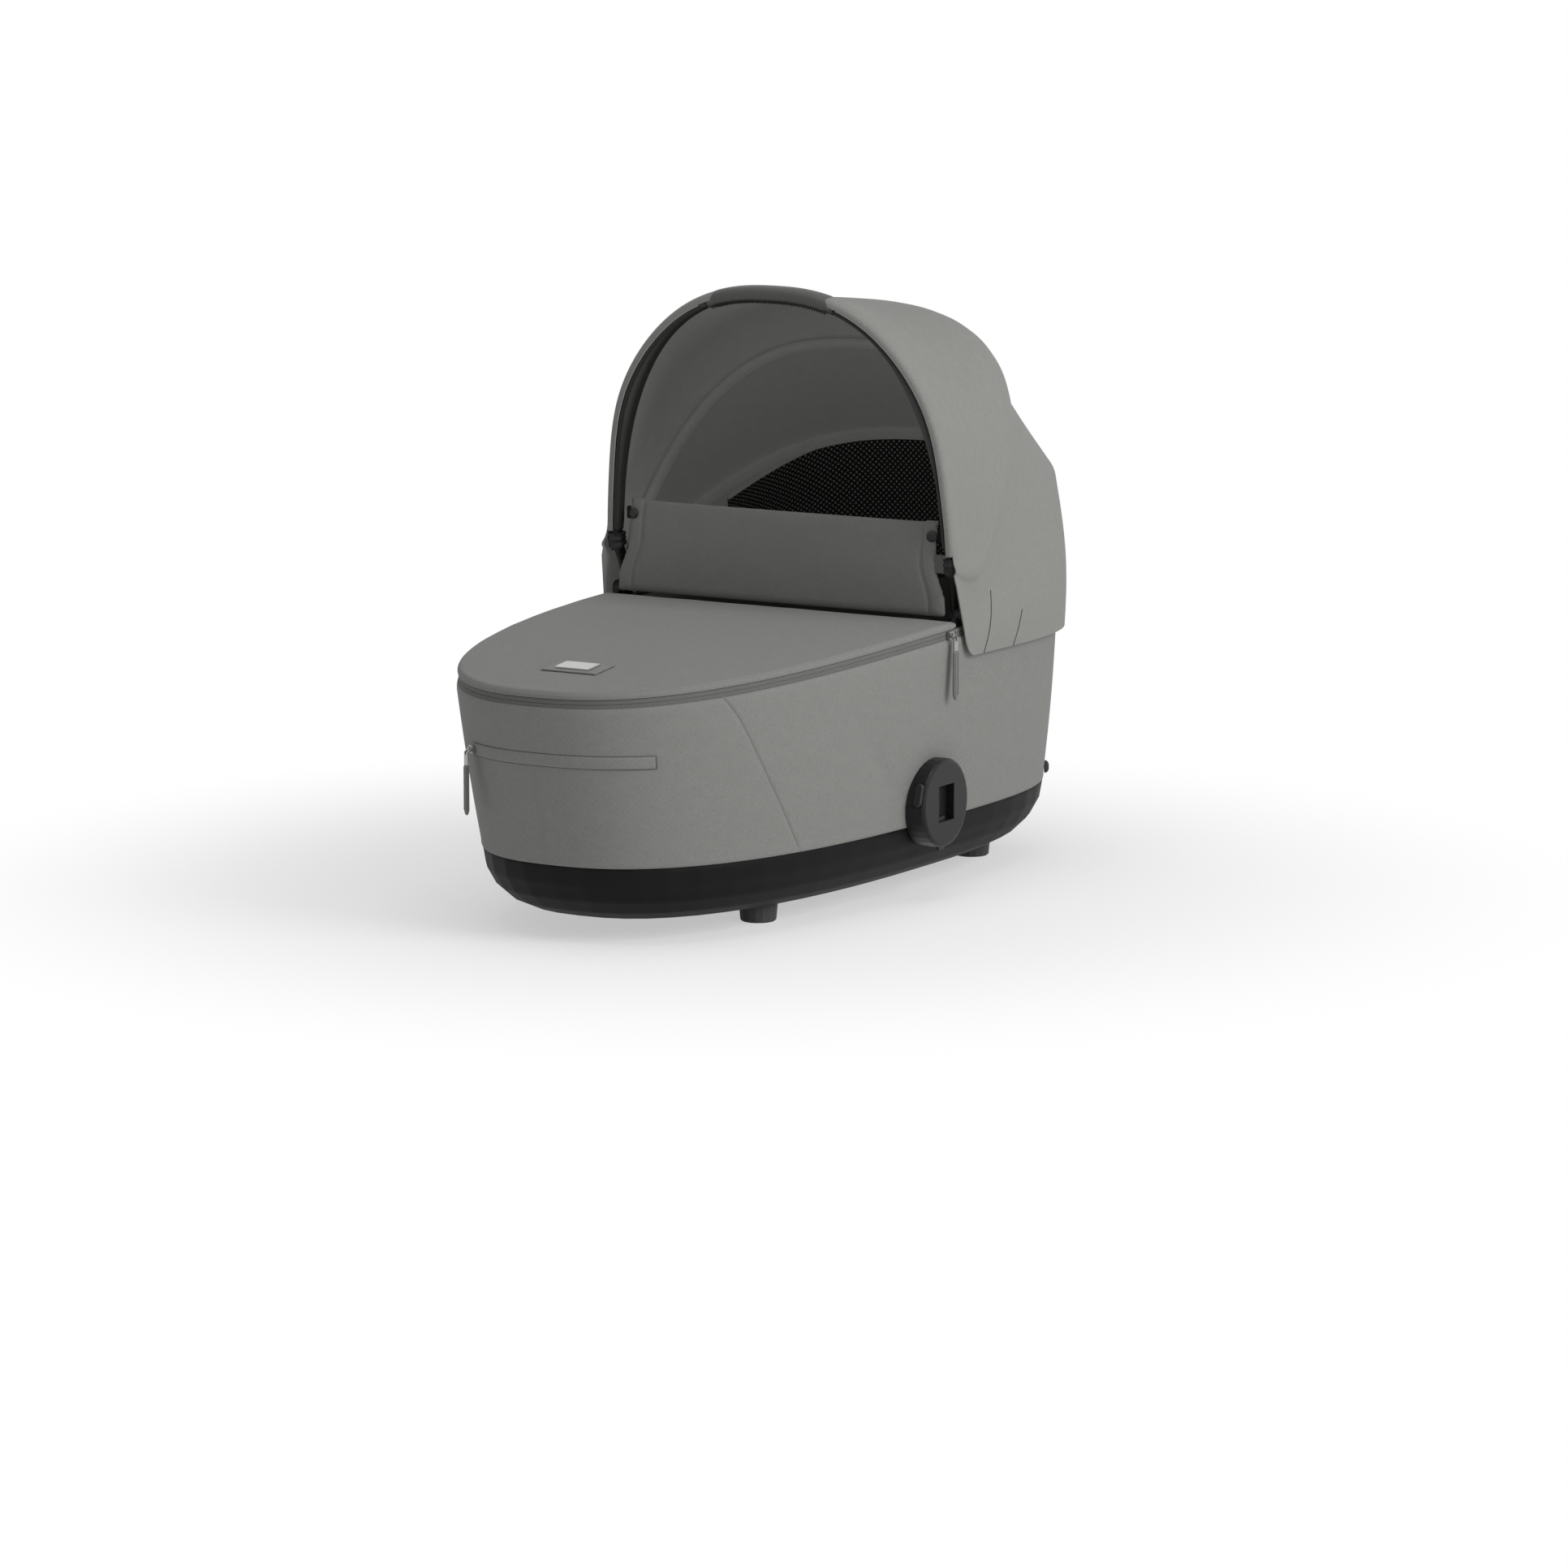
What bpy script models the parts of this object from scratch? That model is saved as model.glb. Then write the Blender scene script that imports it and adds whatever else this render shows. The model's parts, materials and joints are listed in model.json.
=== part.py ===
"""A carrycot: hard hull on four feet, fabric-covered sides, zipped apron and a folding hood.

X runs across the cot, Y runs from the foot end (minus) to the head end (plus), Z is up.
The floor is z = 0, and x = 0 is the plane of symmetry.
"""
import math

import bpy
import bmesh
from mathutils import Matrix, Vector

# Fits between touching pieces
GAP = 0.0003
CLOSE_GAP = 0.0006
SLIDE_GAP = 0.0004

# Plan of the body at its top edge
TOP_HALF_WIDTH = 0.2055
TOP_FOOT_Y = -0.4655
TOP_HEAD_Y = 0.3225
WIDEST_Y = 0.020
FOOT_POWER = 2.5
HEAD_POWER = 3.2
PLAN_COUNT = 52
TURN_WEIGHT = 0.080
DENSE_STEPS = 1440

# Plan of the body at the band where hull and fabric meet, drawn in from the top edge
BAND_Z = 0.0775
BAND_SIDE_TAPER = 0.0155
BAND_FOOT_TAPER = 0.0335
BAND_HEAD_TAPER = 0.0060
BAND_HALF_WIDTH = TOP_HALF_WIDTH - BAND_SIDE_TAPER
BAND_FOOT_Y = TOP_FOOT_Y + BAND_FOOT_TAPER
BAND_HEAD_Y = TOP_HEAD_Y - BAND_HEAD_TAPER

# Line of the rim, which climbs from the foot end to the hinges
RIM_FOOT_Z = 0.2428
RIM_RISE = 0.0247
RIM_LEVEL_Y = 0.0
RIM_EASE = 1.34

# Fabric side wall
COVER_THICKNESS = 0.0035
COVER_TOP_DROP = 0.0090
COVER_BULGE = 0.0015
COVER_ROLL = 0.0012
COVER_LEVEL_SHARES = (0.0, 0.16, 0.32, 0.50, 0.72, 0.97)
BOARD_LEVEL_SHARES = (0.0, 0.32, 0.66)
WAIST_DEPTH = 0.0022
WAIST_SPREAD = 0.046
WAIST_LOW_Y = -0.085
WAIST_HIGH_Y = -0.215
WAIST_START_SHARE = 0.06
WAIST_FULL_SHARE = 0.34
WAIST_END_SHARE = 0.95

# Hard side board and inner lining
BOARD_THICKNESS = 0.0020
LINER_THICKNESS = 0.0035
LINER_TOP_INSET = 0.0126
LINER_MID_INSET = 0.0150
LINER_FOOT_INSET = 0.0190
LINER_TOP_DROP = 0.0020
LINER_MID_Z = 0.1045

# Hull
HULL_BOTTOM_Z = 0.018
HULL_THICKNESS = 0.0040
HULL_ROUND = 0.055
HULL_END_FACTOR = 1.3
HULL_UPSTAND_THICKNESS = 0.0030
HULL_UPSTAND_HEIGHT = 0.0225
HULL_OUTER_ANGLES = (90.0, 72.0, 54.0, 36.0, 18.0, 0.0)
HULL_INNER_ANGLES = (0.0, 26.0, 52.0, 80.0)
BOSS_RADIUS = 0.0090
BOSS_SINK = 0.0010

# Feet
FOOT_X = 0.1024
FOOT_FRONT_Y = -0.220
FOOT_BACK_Y = 0.2013
FOOT_TOP_RADIUS = 0.0192
FOOT_BASE_RADIUS = 0.0178
FOOT_EDGE = 0.0016
FOOT_RECESS_RADIUS = 0.0062
FOOT_RECESS_DEPTH = 0.0080
FOOT_BORE_RADIUS = 0.0026
FOOT_SIDES = 16
SCREW_RADIUS = 0.0022
SCREW_HEAD_RADIUS = 0.0052
SCREW_HEAD_HEIGHT = 0.0030
SCREW_LENGTH = 0.0300
SCREW_HOLE_RADIUS = 0.0025
SCREW_SOCKET_RADIUS = 0.0022
SCREW_SOCKET_DEPTH = 0.0015
SCREW_SIDES = 8

# Floor board and mattress
FLOOR_Z = 0.0460
FLOOR_THICKNESS = 0.0040
FLOOR_INSET = 0.0195
MATTRESS_INSET = 0.0240
MATTRESS_HEIGHT = 0.0400
MATTRESS_EDGE = 0.0140
MATTRESS_CROWN = 0.0070
MATTRESS_CHANNEL = 0.0030
MATTRESS_LOW_SHARE = 0.90
MATTRESS_ROUND_SHARE = 0.975
MATTRESS_CHANNEL_SHARE = 0.72
MATTRESS_RING_SHARES = (0.96, 0.80, MATTRESS_CHANNEL_SHARE, 0.64, 0.36)

# Rim frame and the zip band round it
FRAME_INSET = 0.0038
FRAME_WIDTH = 0.0082
FRAME_TOP_LIFT = 0.0010
FRAME_BOTTOM_SHARE = 0.95
ZIP_INSET = 0.0025
ZIP_BOTTOM_DROP = 0.0087
ZIP_END_Y = 0.004
ZIP_COIL = 0.0006
ZIP_COIL_SHARES = (0.40, 0.50, 0.60)

# Apron
APRON_INSET = 0.0020
APRON_BAND_THICKNESS = 0.0015
APRON_THICKNESS = 0.0020
APRON_SEAM_LIFT = 0.0068
APRON_END_Y = -0.0125
APRON_CENTRE_Y = -0.200
APRON_CROWN = 0.0095
APRON_EDGE_SHARE = 0.92
APRON_FLAT_START_Y = -0.150
APRON_EDGE_ROUND = 0.0015
APRON_END_COUNT = 10
APRON_TAPER_SHARE = 0.12
APRON_RING_SHARES = (1.0, 0.985, 0.92, 0.72, 0.40)

# Label patch with a bare plate on the apron
PATCH_Y = -0.3823
PATCH_WIDTH = 0.061
PATCH_LENGTH = 0.035
PATCH_THICKNESS = 0.0012
PLATE_WIDTH = 0.038
PLATE_LENGTH = 0.021
PLATE_THICKNESS = 0.0016
PLATE_EDGE = 0.0006

# Hood hinges
PIVOT_Y = 0.0080
PIVOT_Z = 0.2770
PIN_RADIUS = 0.0030
PIN_CAP_RADIUS = 0.0078
PIN_CAP_THICKNESS = 0.0022
PIN_INNER_THICKNESS = 0.0014
HUB_RADIUS = 0.0078
BRACKET_SET_IN = 0.0117
BRACKET_X = TOP_HALF_WIDTH - BRACKET_SET_IN
BRACKET_THICKNESS = 0.0050
BRACKET_FOOT_LENGTH = 0.034
BRACKET_FOOT_HEIGHT = 0.0022
FRONT_ARM_SET_IN = 0.0165
FRONT_ARM_X = TOP_HALF_WIDTH - FRONT_ARM_SET_IN
FRONT_ARM_THICKNESS = 0.0042
MID_ARM_THICKNESS = 0.0026

# Hood arches, measured on the outside of the cloth
FAN_Y = 0.0
FAN_Z = 0.278
FRONT_ANGLE = 94.0
FRONT_SET_IN = 0.0020
FRONT_WIDTH = TOP_HALF_WIDTH - FRONT_SET_IN
FRONT_REACH = 0.3175
FRONT_POWER = 2.53
MID_ANGLE = 51.9
MID_SET_OUT = 0.0020
MID_WIDTH = TOP_HALF_WIDTH + MID_SET_OUT
MID_REACH = 0.3115
MID_POWER = 3.125
REAR_ANGLE = 23.04
REAR_SET_OUT = 0.0035
REAR_WIDTH = TOP_HALF_WIDTH + REAR_SET_OUT
REAR_REACH = 0.3508
REAR_POWER = 3.08
ARCH_STEPS = 600

# Bows inside the hood
FRONT_BOW_RADIAL = 0.0080
FRONT_BOW_DEPTH = 0.0130
FRONT_BOW_COUNT = 28
SLEEVE_THICKNESS = 0.0034
SLEEVE_END_Z = 0.3376
GRIP_THICKNESS = 0.0046
GRIP_HALF_WIDTH = 0.0740
BOOT_LENGTH = 0.0150
BOOT_THICKNESS = 0.0030
BOOT_RIB = 0.0009
ARM_BLEND_HEIGHT = 0.050
PATH_DENSITY = 6
MID_BOW_RADIAL = 0.0042
MID_BOW_DEPTH = 0.0085
MID_BOW_COUNT = 26
BOW_CLEARANCE = 0.0024
REAR_BOW_FOOT_Y = 0.052
REAR_BOW_BLEND = 0.090

# Hood cloth
CLOTH_THICKNESS = 0.0020
CLOTH_COLUMNS = 28
DOME_ROWS = 8
CLOTH_ROWS = 5
FRONT_BACKSET = 0.0125
FRONT_TUCK = 0.0035
DOME_LIFT_SHARE = 0.132
DOME_PEAK_POWER = 2.6
DOME_SIDE_SHARE = 0.8
REAR_SAG = 0.0008
CLOTH_SEAM = 0.0008
HEM_Z = 0.2355
HEM_RISE = 0.0030
HEM_SIDE_CLEARANCE = 0.0057
HEM_HEAD_CLEARANCE = 0.0098
HEM_HALF_WIDTH = TOP_HALF_WIDTH + HEM_SIDE_CLEARANCE
HEM_HEAD_Y = TOP_HEAD_Y + HEM_HEAD_CLEARANCE
HEM_CORNER_Y = 0.0100
SKIRT_BULGE = 0.0060
SKIRT_ROWS = 5
EDGE_Y = -0.0160
EDGE_LOW_Y = -0.0060
EDGE_LOW_Z = 0.2520
EDGE_SKIRT_Z = 0.3120
EDGE_MID_Z = 0.3200
EDGE_FRONT_Z = 0.3300
EDGE_BLEND = 0.090
EDGE_MID_SHARE = 0.3
EDGE_SKIRT_SHARE = 0.5
WRAP_HEIGHT = 0.055
WRAP_OUT = 0.0032

# Ventilation window inside the head end
MESH_TOP_SHARE = 0.06
MESH_SIDE_SHARE = 0.30
MESH_LOW_SHARE = 0.72
MESH_SIDE_MARGIN = 0.0140
MESH_HALF_WIDTH = REAR_WIDTH - MESH_SIDE_MARGIN
MESH_THICKNESS = 0.0012
MESH_BACKSET = 0.0014
MESH_ROWS = 4

# Wind flap
FLAP_Y = -0.0097
FLAP_LEAN = 0.0077
FLAP_BOTTOM_Z = 0.2756
FLAP_TOP_Z = 0.3732
FLAP_SIDE_CLEARANCE = 0.0140
FLAP_TOP_NARROWING = 0.0122
FLAP_HALF_WIDTH = TOP_HALF_WIDTH - FLAP_SIDE_CLEARANCE
FLAP_TOP_HALF_WIDTH = FLAP_HALF_WIDTH - FLAP_TOP_NARROWING
FLAP_THICKNESS = 0.0024
FLAP_WIDE_SHARE = 0.14
FLAP_NARROW_SHARE = 0.58
FLAP_COLUMNS = 16
FLAP_ROWS = 5
FLAP_BOW = 0.0030
FLAP_BOTTOM_SAG = 0.0015
SNAP_EDGE_MARGIN = 0.0065
SNAP_X = FLAP_TOP_HALF_WIDTH - SNAP_EDGE_MARGIN
SNAP_Z = 0.3560
SNAP_RADIUS = 0.0058
SNAP_HEIGHT = 0.0028
STRAP_WIDTH = 0.0130
STRAP_THICKNESS = 0.0014

# Chassis adapters
ADAPTER_Y = -0.0430
ADAPTER_Z = 0.0990
ADAPTER_RADIUS = 0.0440
ADAPTER_SET_OUT = 0.0060
ADAPTER_FACE_X = TOP_HALF_WIDTH + ADAPTER_SET_OUT
ADAPTER_EDGE = 0.0030
ADAPTER_SIDES = 32
ADAPTER_RING_SHARES = (0.86, 0.55)
SOCKET_WIDTH = 0.030
SOCKET_HEIGHT = 0.036
SOCKET_DEPTH = 0.0090
BUTTON_TURN = 17.0
BUTTON_HEIGHT = 0.0240
BUTTON_WIDTH = 0.0096
BUTTON_PROUD = 0.0020
BUTTON_LENGTH = 0.0160
BUTTON_TRAVEL = 0.0040
BUTTON_SIDES = 8
LATCH_WIDTH = 0.0110
LATCH_THICKNESS = 0.0036
LATCH_FACE_SETBACK = 0.0052
LATCH_PROUD = 0.0030
LATCH_BITE = 0.0040
LATCH_TRAVEL = 0.0045
SIDE_SCREW_SPACING = 0.0480
SIDE_SCREW_Z = 0.0930
SIDE_SCREW_LENGTH = 0.0190

# Zip sliders and their pulls
RIM_SLIDER_Y = -0.0260
SLIDER_LENGTH = 0.0076
SLIDER_WIDTH = 0.0080
SLIDER_HEIGHT = 0.0030
BRIDGE_HEIGHT = 0.0028
BRIDGE_WIDTH = 0.0024
PULL_WIDTH = 0.0072
PULL_LENGTH = 0.0150
PULL_THICKNESS = 0.0014
PULL_RING = 0.0016
TAB_WIDTH = 0.0085
TAB_LENGTH = 0.0480
TAB_THICKNESS = 0.0022
TAB_TIP = 0.0050
PULL_CLEARANCE = 0.0012

# Pocket round the foot end
WELT_Z = 0.1832
WELT_HEIGHT = 0.0124
WELT_THICKNESS = 0.0014
WELT_LEFT_REACH = 0.0925
WELT_RIGHT_REACH = 0.1216
WELT_SLIDER_MARGIN = 0.0052
WELT_SLOT = 0.0020

# Small stud on each rear corner
STUD_SIDE_MARGIN = 0.0495
STUD_X = TOP_HALF_WIDTH - STUD_SIDE_MARGIN
STUD_Z = 0.0880
STUD_RADIUS = 0.0065
STUD_HEIGHT = 0.0048
STUD_SIDES = 12

# The finished model is moved along Y so that its bounding box is centred on the origin
CENTRE_SHIFT_Y = 0.0650

SMOOTH_ANGLE = math.radians(38.0)


def clamp(value):
    return min(max(value, 0.0), 1.0)


def smooth(value):
    value = clamp(value)
    return value * value * (3.0 - 2.0 * value)


def mix(first, second, share):
    return first + (second - first) * share


def clear_scene():
    for old in list(bpy.data.objects):
        bpy.data.objects.remove(old, do_unlink=True)


def make_material(name, colour, roughness, metallic):
    made = bpy.data.materials.new(name)
    made.use_nodes = True
    surface = made.node_tree.nodes["Principled BSDF"]
    surface.inputs["Base Color"].default_value = (*colour, 1.0)
    surface.inputs["Roughness"].default_value = roughness
    surface.inputs["Metallic"].default_value = metallic
    made.diffuse_color = (*colour, 1.0)
    return made


def make_object(name, points, faces, finish, location=None):
    """A closed mesh with outward faces; its points are moved so that location is its origin."""
    origin = Vector(location) if location is not None else Vector((0.0, 0.0, 0.0))
    mesh = bpy.data.meshes.new(name)
    mesh.from_pydata([Vector(point) - origin for point in points], [], faces)
    body = bmesh.new()
    body.from_mesh(mesh)
    bmesh.ops.recalc_face_normals(body, faces=body.faces)
    body.to_mesh(mesh)
    body.free()
    mesh.shade_smooth()
    mesh.set_sharp_from_angle(angle=SMOOTH_ANGLE)
    mesh.materials.append(finish)
    made = bpy.data.objects.new(name, mesh)
    bpy.context.collection.objects.link(made)
    made.location = origin
    return made


def joined(first, others, operation, finish=None):
    """Unites or cuts first with the other objects, which are then removed."""
    for other in others:
        step = first.modifiers.new("shape", "BOOLEAN")
        step.operation = operation
        step.solver = "EXACT"
        step.object = other
    bpy.context.view_layer.update()
    graph = bpy.context.evaluated_depsgraph_get()
    shaped = bpy.data.meshes.new_from_object(first.evaluated_get(graph))
    first.modifiers.clear()
    shaped.name = first.name
    first.data = shaped
    for other in others:
        bpy.data.objects.remove(other, do_unlink=True)
    if finish is not None:
        shaped.materials.clear()
        shaped.materials.append(finish)
        for face in shaped.polygons:
            face.material_index = 0
    shaped.shade_smooth()
    shaped.set_sharp_from_angle(angle=SMOOTH_ANGLE)
    return first


def spaced(points, steps, turn_weight=0.0):
    """Points at equal distances along a line; a turn weight sets them closer in its bends."""
    lengths = [0.0]
    heading = points[1] - points[0]
    for first, second in zip(points[:-1], points[1:]):
        step = second - first
        turn = step.angle(heading, 0.0) if turn_weight else 0.0
        heading = step
        lengths.append(lengths[-1] + step.length + turn_weight * turn)
    found = []
    index = 0
    for step in range(steps + 1):
        target = lengths[-1] * step / steps
        while index < len(points) - 2 and lengths[index + 1] < target:
            index += 1
        span = lengths[index + 1] - lengths[index]
        share = (target - lengths[index]) / span if span > 0.0 else 0.0
        found.append(points[index].lerp(points[index + 1], clamp(share)))
    return found


def plan_half(half_width, foot_y, head_y, steps):
    """Right half of the plan outline, from the foot's middle to the head's middle."""
    dense = []
    for step in range(DENSE_STEPS + 1):
        angle = math.pi * step / DENSE_STEPS - math.pi / 2.0
        across = max(math.cos(angle), 0.0)
        along = math.sin(angle)
        power = FOOT_POWER if along < 0.0 else HEAD_POWER
        reach = WIDEST_Y - foot_y if along < 0.0 else head_y - WIDEST_Y
        x = half_width * across ** (2.0 / power)
        y = WIDEST_Y + reach * math.copysign(abs(along) ** (2.0 / power), along)
        dense.append(Vector((x, y, 0.0)))
    return spaced(dense, steps, TURN_WEIGHT)


def plan_loop(half_width, foot_y, head_y):
    """Whole plan outline: foot middle, right side, head middle, left side."""
    half = plan_half(half_width, foot_y, head_y, PLAN_COUNT // 2)
    half[0].x = 0.0
    half[-1].x = 0.0
    left = [Vector((-point.x, point.y, 0.0)) for point in half[-2:0:-1]]
    return half + left


def rim_height(y):
    share = clamp((y - TOP_FOOT_Y) / (RIM_LEVEL_Y - TOP_FOOT_Y))
    return RIM_FOOT_Z + RIM_RISE * (1.0 - (1.0 - share) ** RIM_EASE)


def waist(y, level):
    """How far the side is drawn in beside the adapter."""
    rise = smooth((level - WAIST_START_SHARE) / (WAIST_FULL_SHARE - WAIST_START_SHARE))
    fall = smooth((WAIST_END_SHARE - level) / (WAIST_END_SHARE - WAIST_FULL_SHARE))
    middle = mix(WAIST_LOW_Y, WAIST_HIGH_Y, level)
    return WAIST_DEPTH * rise * fall * math.exp(-((y - middle) / WAIST_SPREAD) ** 2)


def side_sizes(level, inset):
    """Half width, foot and head of the body at a share of its height."""
    bulge = COVER_BULGE * math.sin(math.pi * clamp(level)) - inset
    half_width = mix(BAND_HALF_WIDTH, TOP_HALF_WIDTH, level) + bulge
    foot_y = mix(BAND_FOOT_Y, TOP_FOOT_Y, level) - bulge
    head_y = mix(BAND_HEAD_Y, TOP_HEAD_Y, level) + bulge
    return half_width, foot_y, head_y


def side_height(y, level):
    return mix(BAND_Z, rim_height(y) - COVER_TOP_DROP, level)


def side_ring(level, inset, lift=0.0):
    """Loop round the body at a share of its height, moved in by inset."""
    loop = []
    for point in plan_loop(*side_sizes(level, inset)):
        z = side_height(point.y, level) + lift
        drawn_in = waist(point.y, level) if inset < COVER_THICKNESS and point.x else 0.0
        x = point.x - math.copysign(drawn_in, point.x)
        loop.append(Vector((x, point.y, z)))
    return loop


def rim_ring(inset, lift):
    """Loop round the top edge, lift above the rim line."""
    loop = []
    for point in plan_loop(*side_sizes(1.0, inset)):
        z = rim_height(point.y) + lift
        loop.append(Vector((point.x, point.y, z)))
    return loop


def side_x(y, z):
    """Outside of the body on the right at a height; covers hull and fabric."""
    if z >= BAND_Z:
        level = (z - BAND_Z) / (rim_height(y) - COVER_TOP_DROP - BAND_Z)
        half_width, foot_y, head_y = side_sizes(level, 0.0)
    else:
        level = 0.0
        turn = math.asin(clamp((BAND_Z - z) / (BAND_Z - HULL_BOTTOM_Z)))
        inset = HULL_ROUND * (1.0 - math.cos(turn))
        half_width = BAND_HALF_WIDTH - inset
        foot_y = BAND_FOOT_Y + inset * HULL_END_FACTOR
        head_y = BAND_HEAD_Y - inset * HULL_END_FACTOR
    if y < WIDEST_Y:
        share = (WIDEST_Y - y) / (WIDEST_Y - foot_y)
        power = FOOT_POWER
    else:
        share = (y - WIDEST_Y) / (head_y - WIDEST_Y)
        power = HEAD_POWER
    return half_width * max(1.0 - share ** power, 0.0) ** (1.0 / power) - waist(y, level)


def ring_faces(rows, count, closed_rows):
    """Faces between loops of count points; the last loop joins the first when closed."""
    faces = []
    pairs = rows if closed_rows else rows - 1
    for row in range(pairs):
        upper = (row + 1) % rows
        for step in range(count):
            after = (step + 1) % count
            faces.append((row * count + step, row * count + after,
                          upper * count + after, upper * count + step))
    return faces


def ring_body(name, loops, finish):
    """A ring whose section is the polygon through the given loops."""
    count = len(loops[0])
    points = [point for loop in loops for point in loop]
    return make_object(name, points, ring_faces(len(loops), count, True), finish)


def capped_body(name, loops, finish, location=None):
    """A stack of loops closed by a flat face at each end."""
    count = len(loops[0])
    points = [point for loop in loops for point in loop]
    faces = ring_faces(len(loops), count, False)
    faces.append(tuple(range(count)))
    last = (len(loops) - 1) * count
    faces.append(tuple(range(last, last + count)))
    return make_object(name, points, faces, finish, location)


def domed_body(name, loops, low_point, high_point, finish):
    """A stack of loops closed by a fan to a point at each end."""
    count = len(loops[0])
    points = [point for loop in loops for point in loop]
    faces = ring_faces(len(loops), count, False)
    low = len(points)
    points.append(low_point)
    high = len(points)
    points.append(high_point)
    last = (len(loops) - 1) * count
    for step in range(count):
        after = (step + 1) % count
        faces.append((step, after, low))
        faces.append((last + step, last + after, high))
    return make_object(name, points, faces, finish)


def circle(centre, side, up, radius, sides):
    """Points round a circle that starts along side and turns towards up."""
    loop = []
    for step in range(sides):
        angle = 2.0 * math.pi * step / sides
        loop.append(centre + side * (radius * math.cos(angle)) + up * (radius * math.sin(angle)))
    return loop


def rod(name, start, axis, stations, sides, finish, location=None):
    """A round body: stations are pairs of distance along the axis and radius."""
    axis = axis.normalized()
    side = axis.orthogonal().normalized()
    up = axis.cross(side)
    loops = [circle(start + axis * reach, side, up, radius, sides) for reach, radius in stations]
    return capped_body(name, loops, finish, location)


def block(name, low, high, finish, location=None):
    """A plain box between two corners."""
    loops = []
    for z in (low[2], high[2]):
        loops.append([Vector((low[0], low[1], z)), Vector((high[0], low[1], z)),
                      Vector((high[0], high[1], z)), Vector((low[0], high[1], z))])
    return capped_body(name, loops, finish, location)


def sheet_normals(grid):
    """Normal at each point of a grid of points."""
    rows = len(grid)
    columns = len(grid[0])
    normals = []
    for row in range(rows):
        line = []
        for column in range(columns):
            along = grid[min(row + 1, rows - 1)][column] - grid[max(row - 1, 0)][column]
            across = grid[row][min(column + 1, columns - 1)] - grid[row][max(column - 1, 0)]
            line.append(along.cross(across).normalized())
        normals.append(line)
    return normals


def thick_sheet(name, grid, thickness, finish, location=None, normals=None):
    """A sheet through a grid of points, thickened against its normals."""
    normals = normals or sheet_normals(grid)
    rows = len(grid)
    columns = len(grid[0])
    points = [point for line in grid for point in line]
    for line, directions in zip(grid, normals):
        points.extend(point - direction * thickness for point, direction in zip(line, directions))
    under = rows * columns
    faces = []
    for row in range(rows - 1):
        for column in range(columns - 1):
            first = row * columns + column
            quad = (first, first + 1, first + columns + 1, first + columns)
            faces.append(quad)
            faces.append(tuple(under + index for index in reversed(quad)))
    border = [column for column in range(columns)]
    border += [row * columns + columns - 1 for row in range(1, rows)]
    border += [(rows - 1) * columns + column for column in range(columns - 2, -1, -1)]
    border += [row * columns for row in range(rows - 2, 0, -1)]
    for index, first in enumerate(border):
        second = border[(index + 1) % len(border)]
        faces.append((first, under + first, under + second, second))
    return make_object(name, points, faces, finish, location)


def swept_frames(path):
    """A tangent for each point of a path."""
    tangents = []
    for index, point in enumerate(path):
        before = path[max(index - 1, 0)]
        after = path[min(index + 1, len(path) - 1)]
        tangents.append((after - before).normalized())
    return tangents


def swept_bar(name, path, depth_axes, sections, finish, location=None, tangents=None):
    """A bar along a path; each section is a list of (outward, depth) offsets."""
    tangents = tangents or swept_frames(path)
    loops = []
    for point, tangent, depth_axis, section in zip(path, tangents, depth_axes, sections):
        outward = depth_axis.cross(tangent).normalized()
        depth = tangent.cross(outward).normalized()
        loops.append([point + outward * out + depth * deep for out, deep in section])
    return capped_body(name, loops, finish, location)


def swept_tube(name, path, depth_axes, outer_sections, inner_sections, finish, location=None,
               tangents=None):
    """A hollow sleeve along a path, open at both ends."""
    tangents = tangents or swept_frames(path)
    outer = []
    inner = []
    for index, (point, tangent) in enumerate(zip(path, tangents)):
        outward = depth_axes[index].cross(tangent).normalized()
        depth = tangent.cross(outward).normalized()
        outer.append([point + outward * out + depth * deep for out, deep in outer_sections[index]])
        inner.append([point + outward * out + depth * deep for out, deep in inner_sections[index]])
    loops = outer + list(reversed(inner))
    count = len(loops[0])
    points = [point for loop in loops for point in loop]
    return make_object(name, points, ring_faces(len(loops), count, True), finish, location)


def rounded_section(radial, depth, corner_share=0.32):
    """An eight-sided section of a flat bar with its corners taken off."""
    half_out = radial / 2.0
    half_deep = depth / 2.0
    cut = radial * corner_share
    return [(half_out, half_deep - cut), (half_out, cut - half_deep),
            (half_out - cut, -half_deep), (cut - half_out, -half_deep),
            (-half_out, cut - half_deep), (-half_out, half_deep - cut),
            (cut - half_out, half_deep), (half_out - cut, half_deep)]


def mirrored(points):
    return [Vector((-point.x, point.y, point.z)) for point in points]


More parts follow.
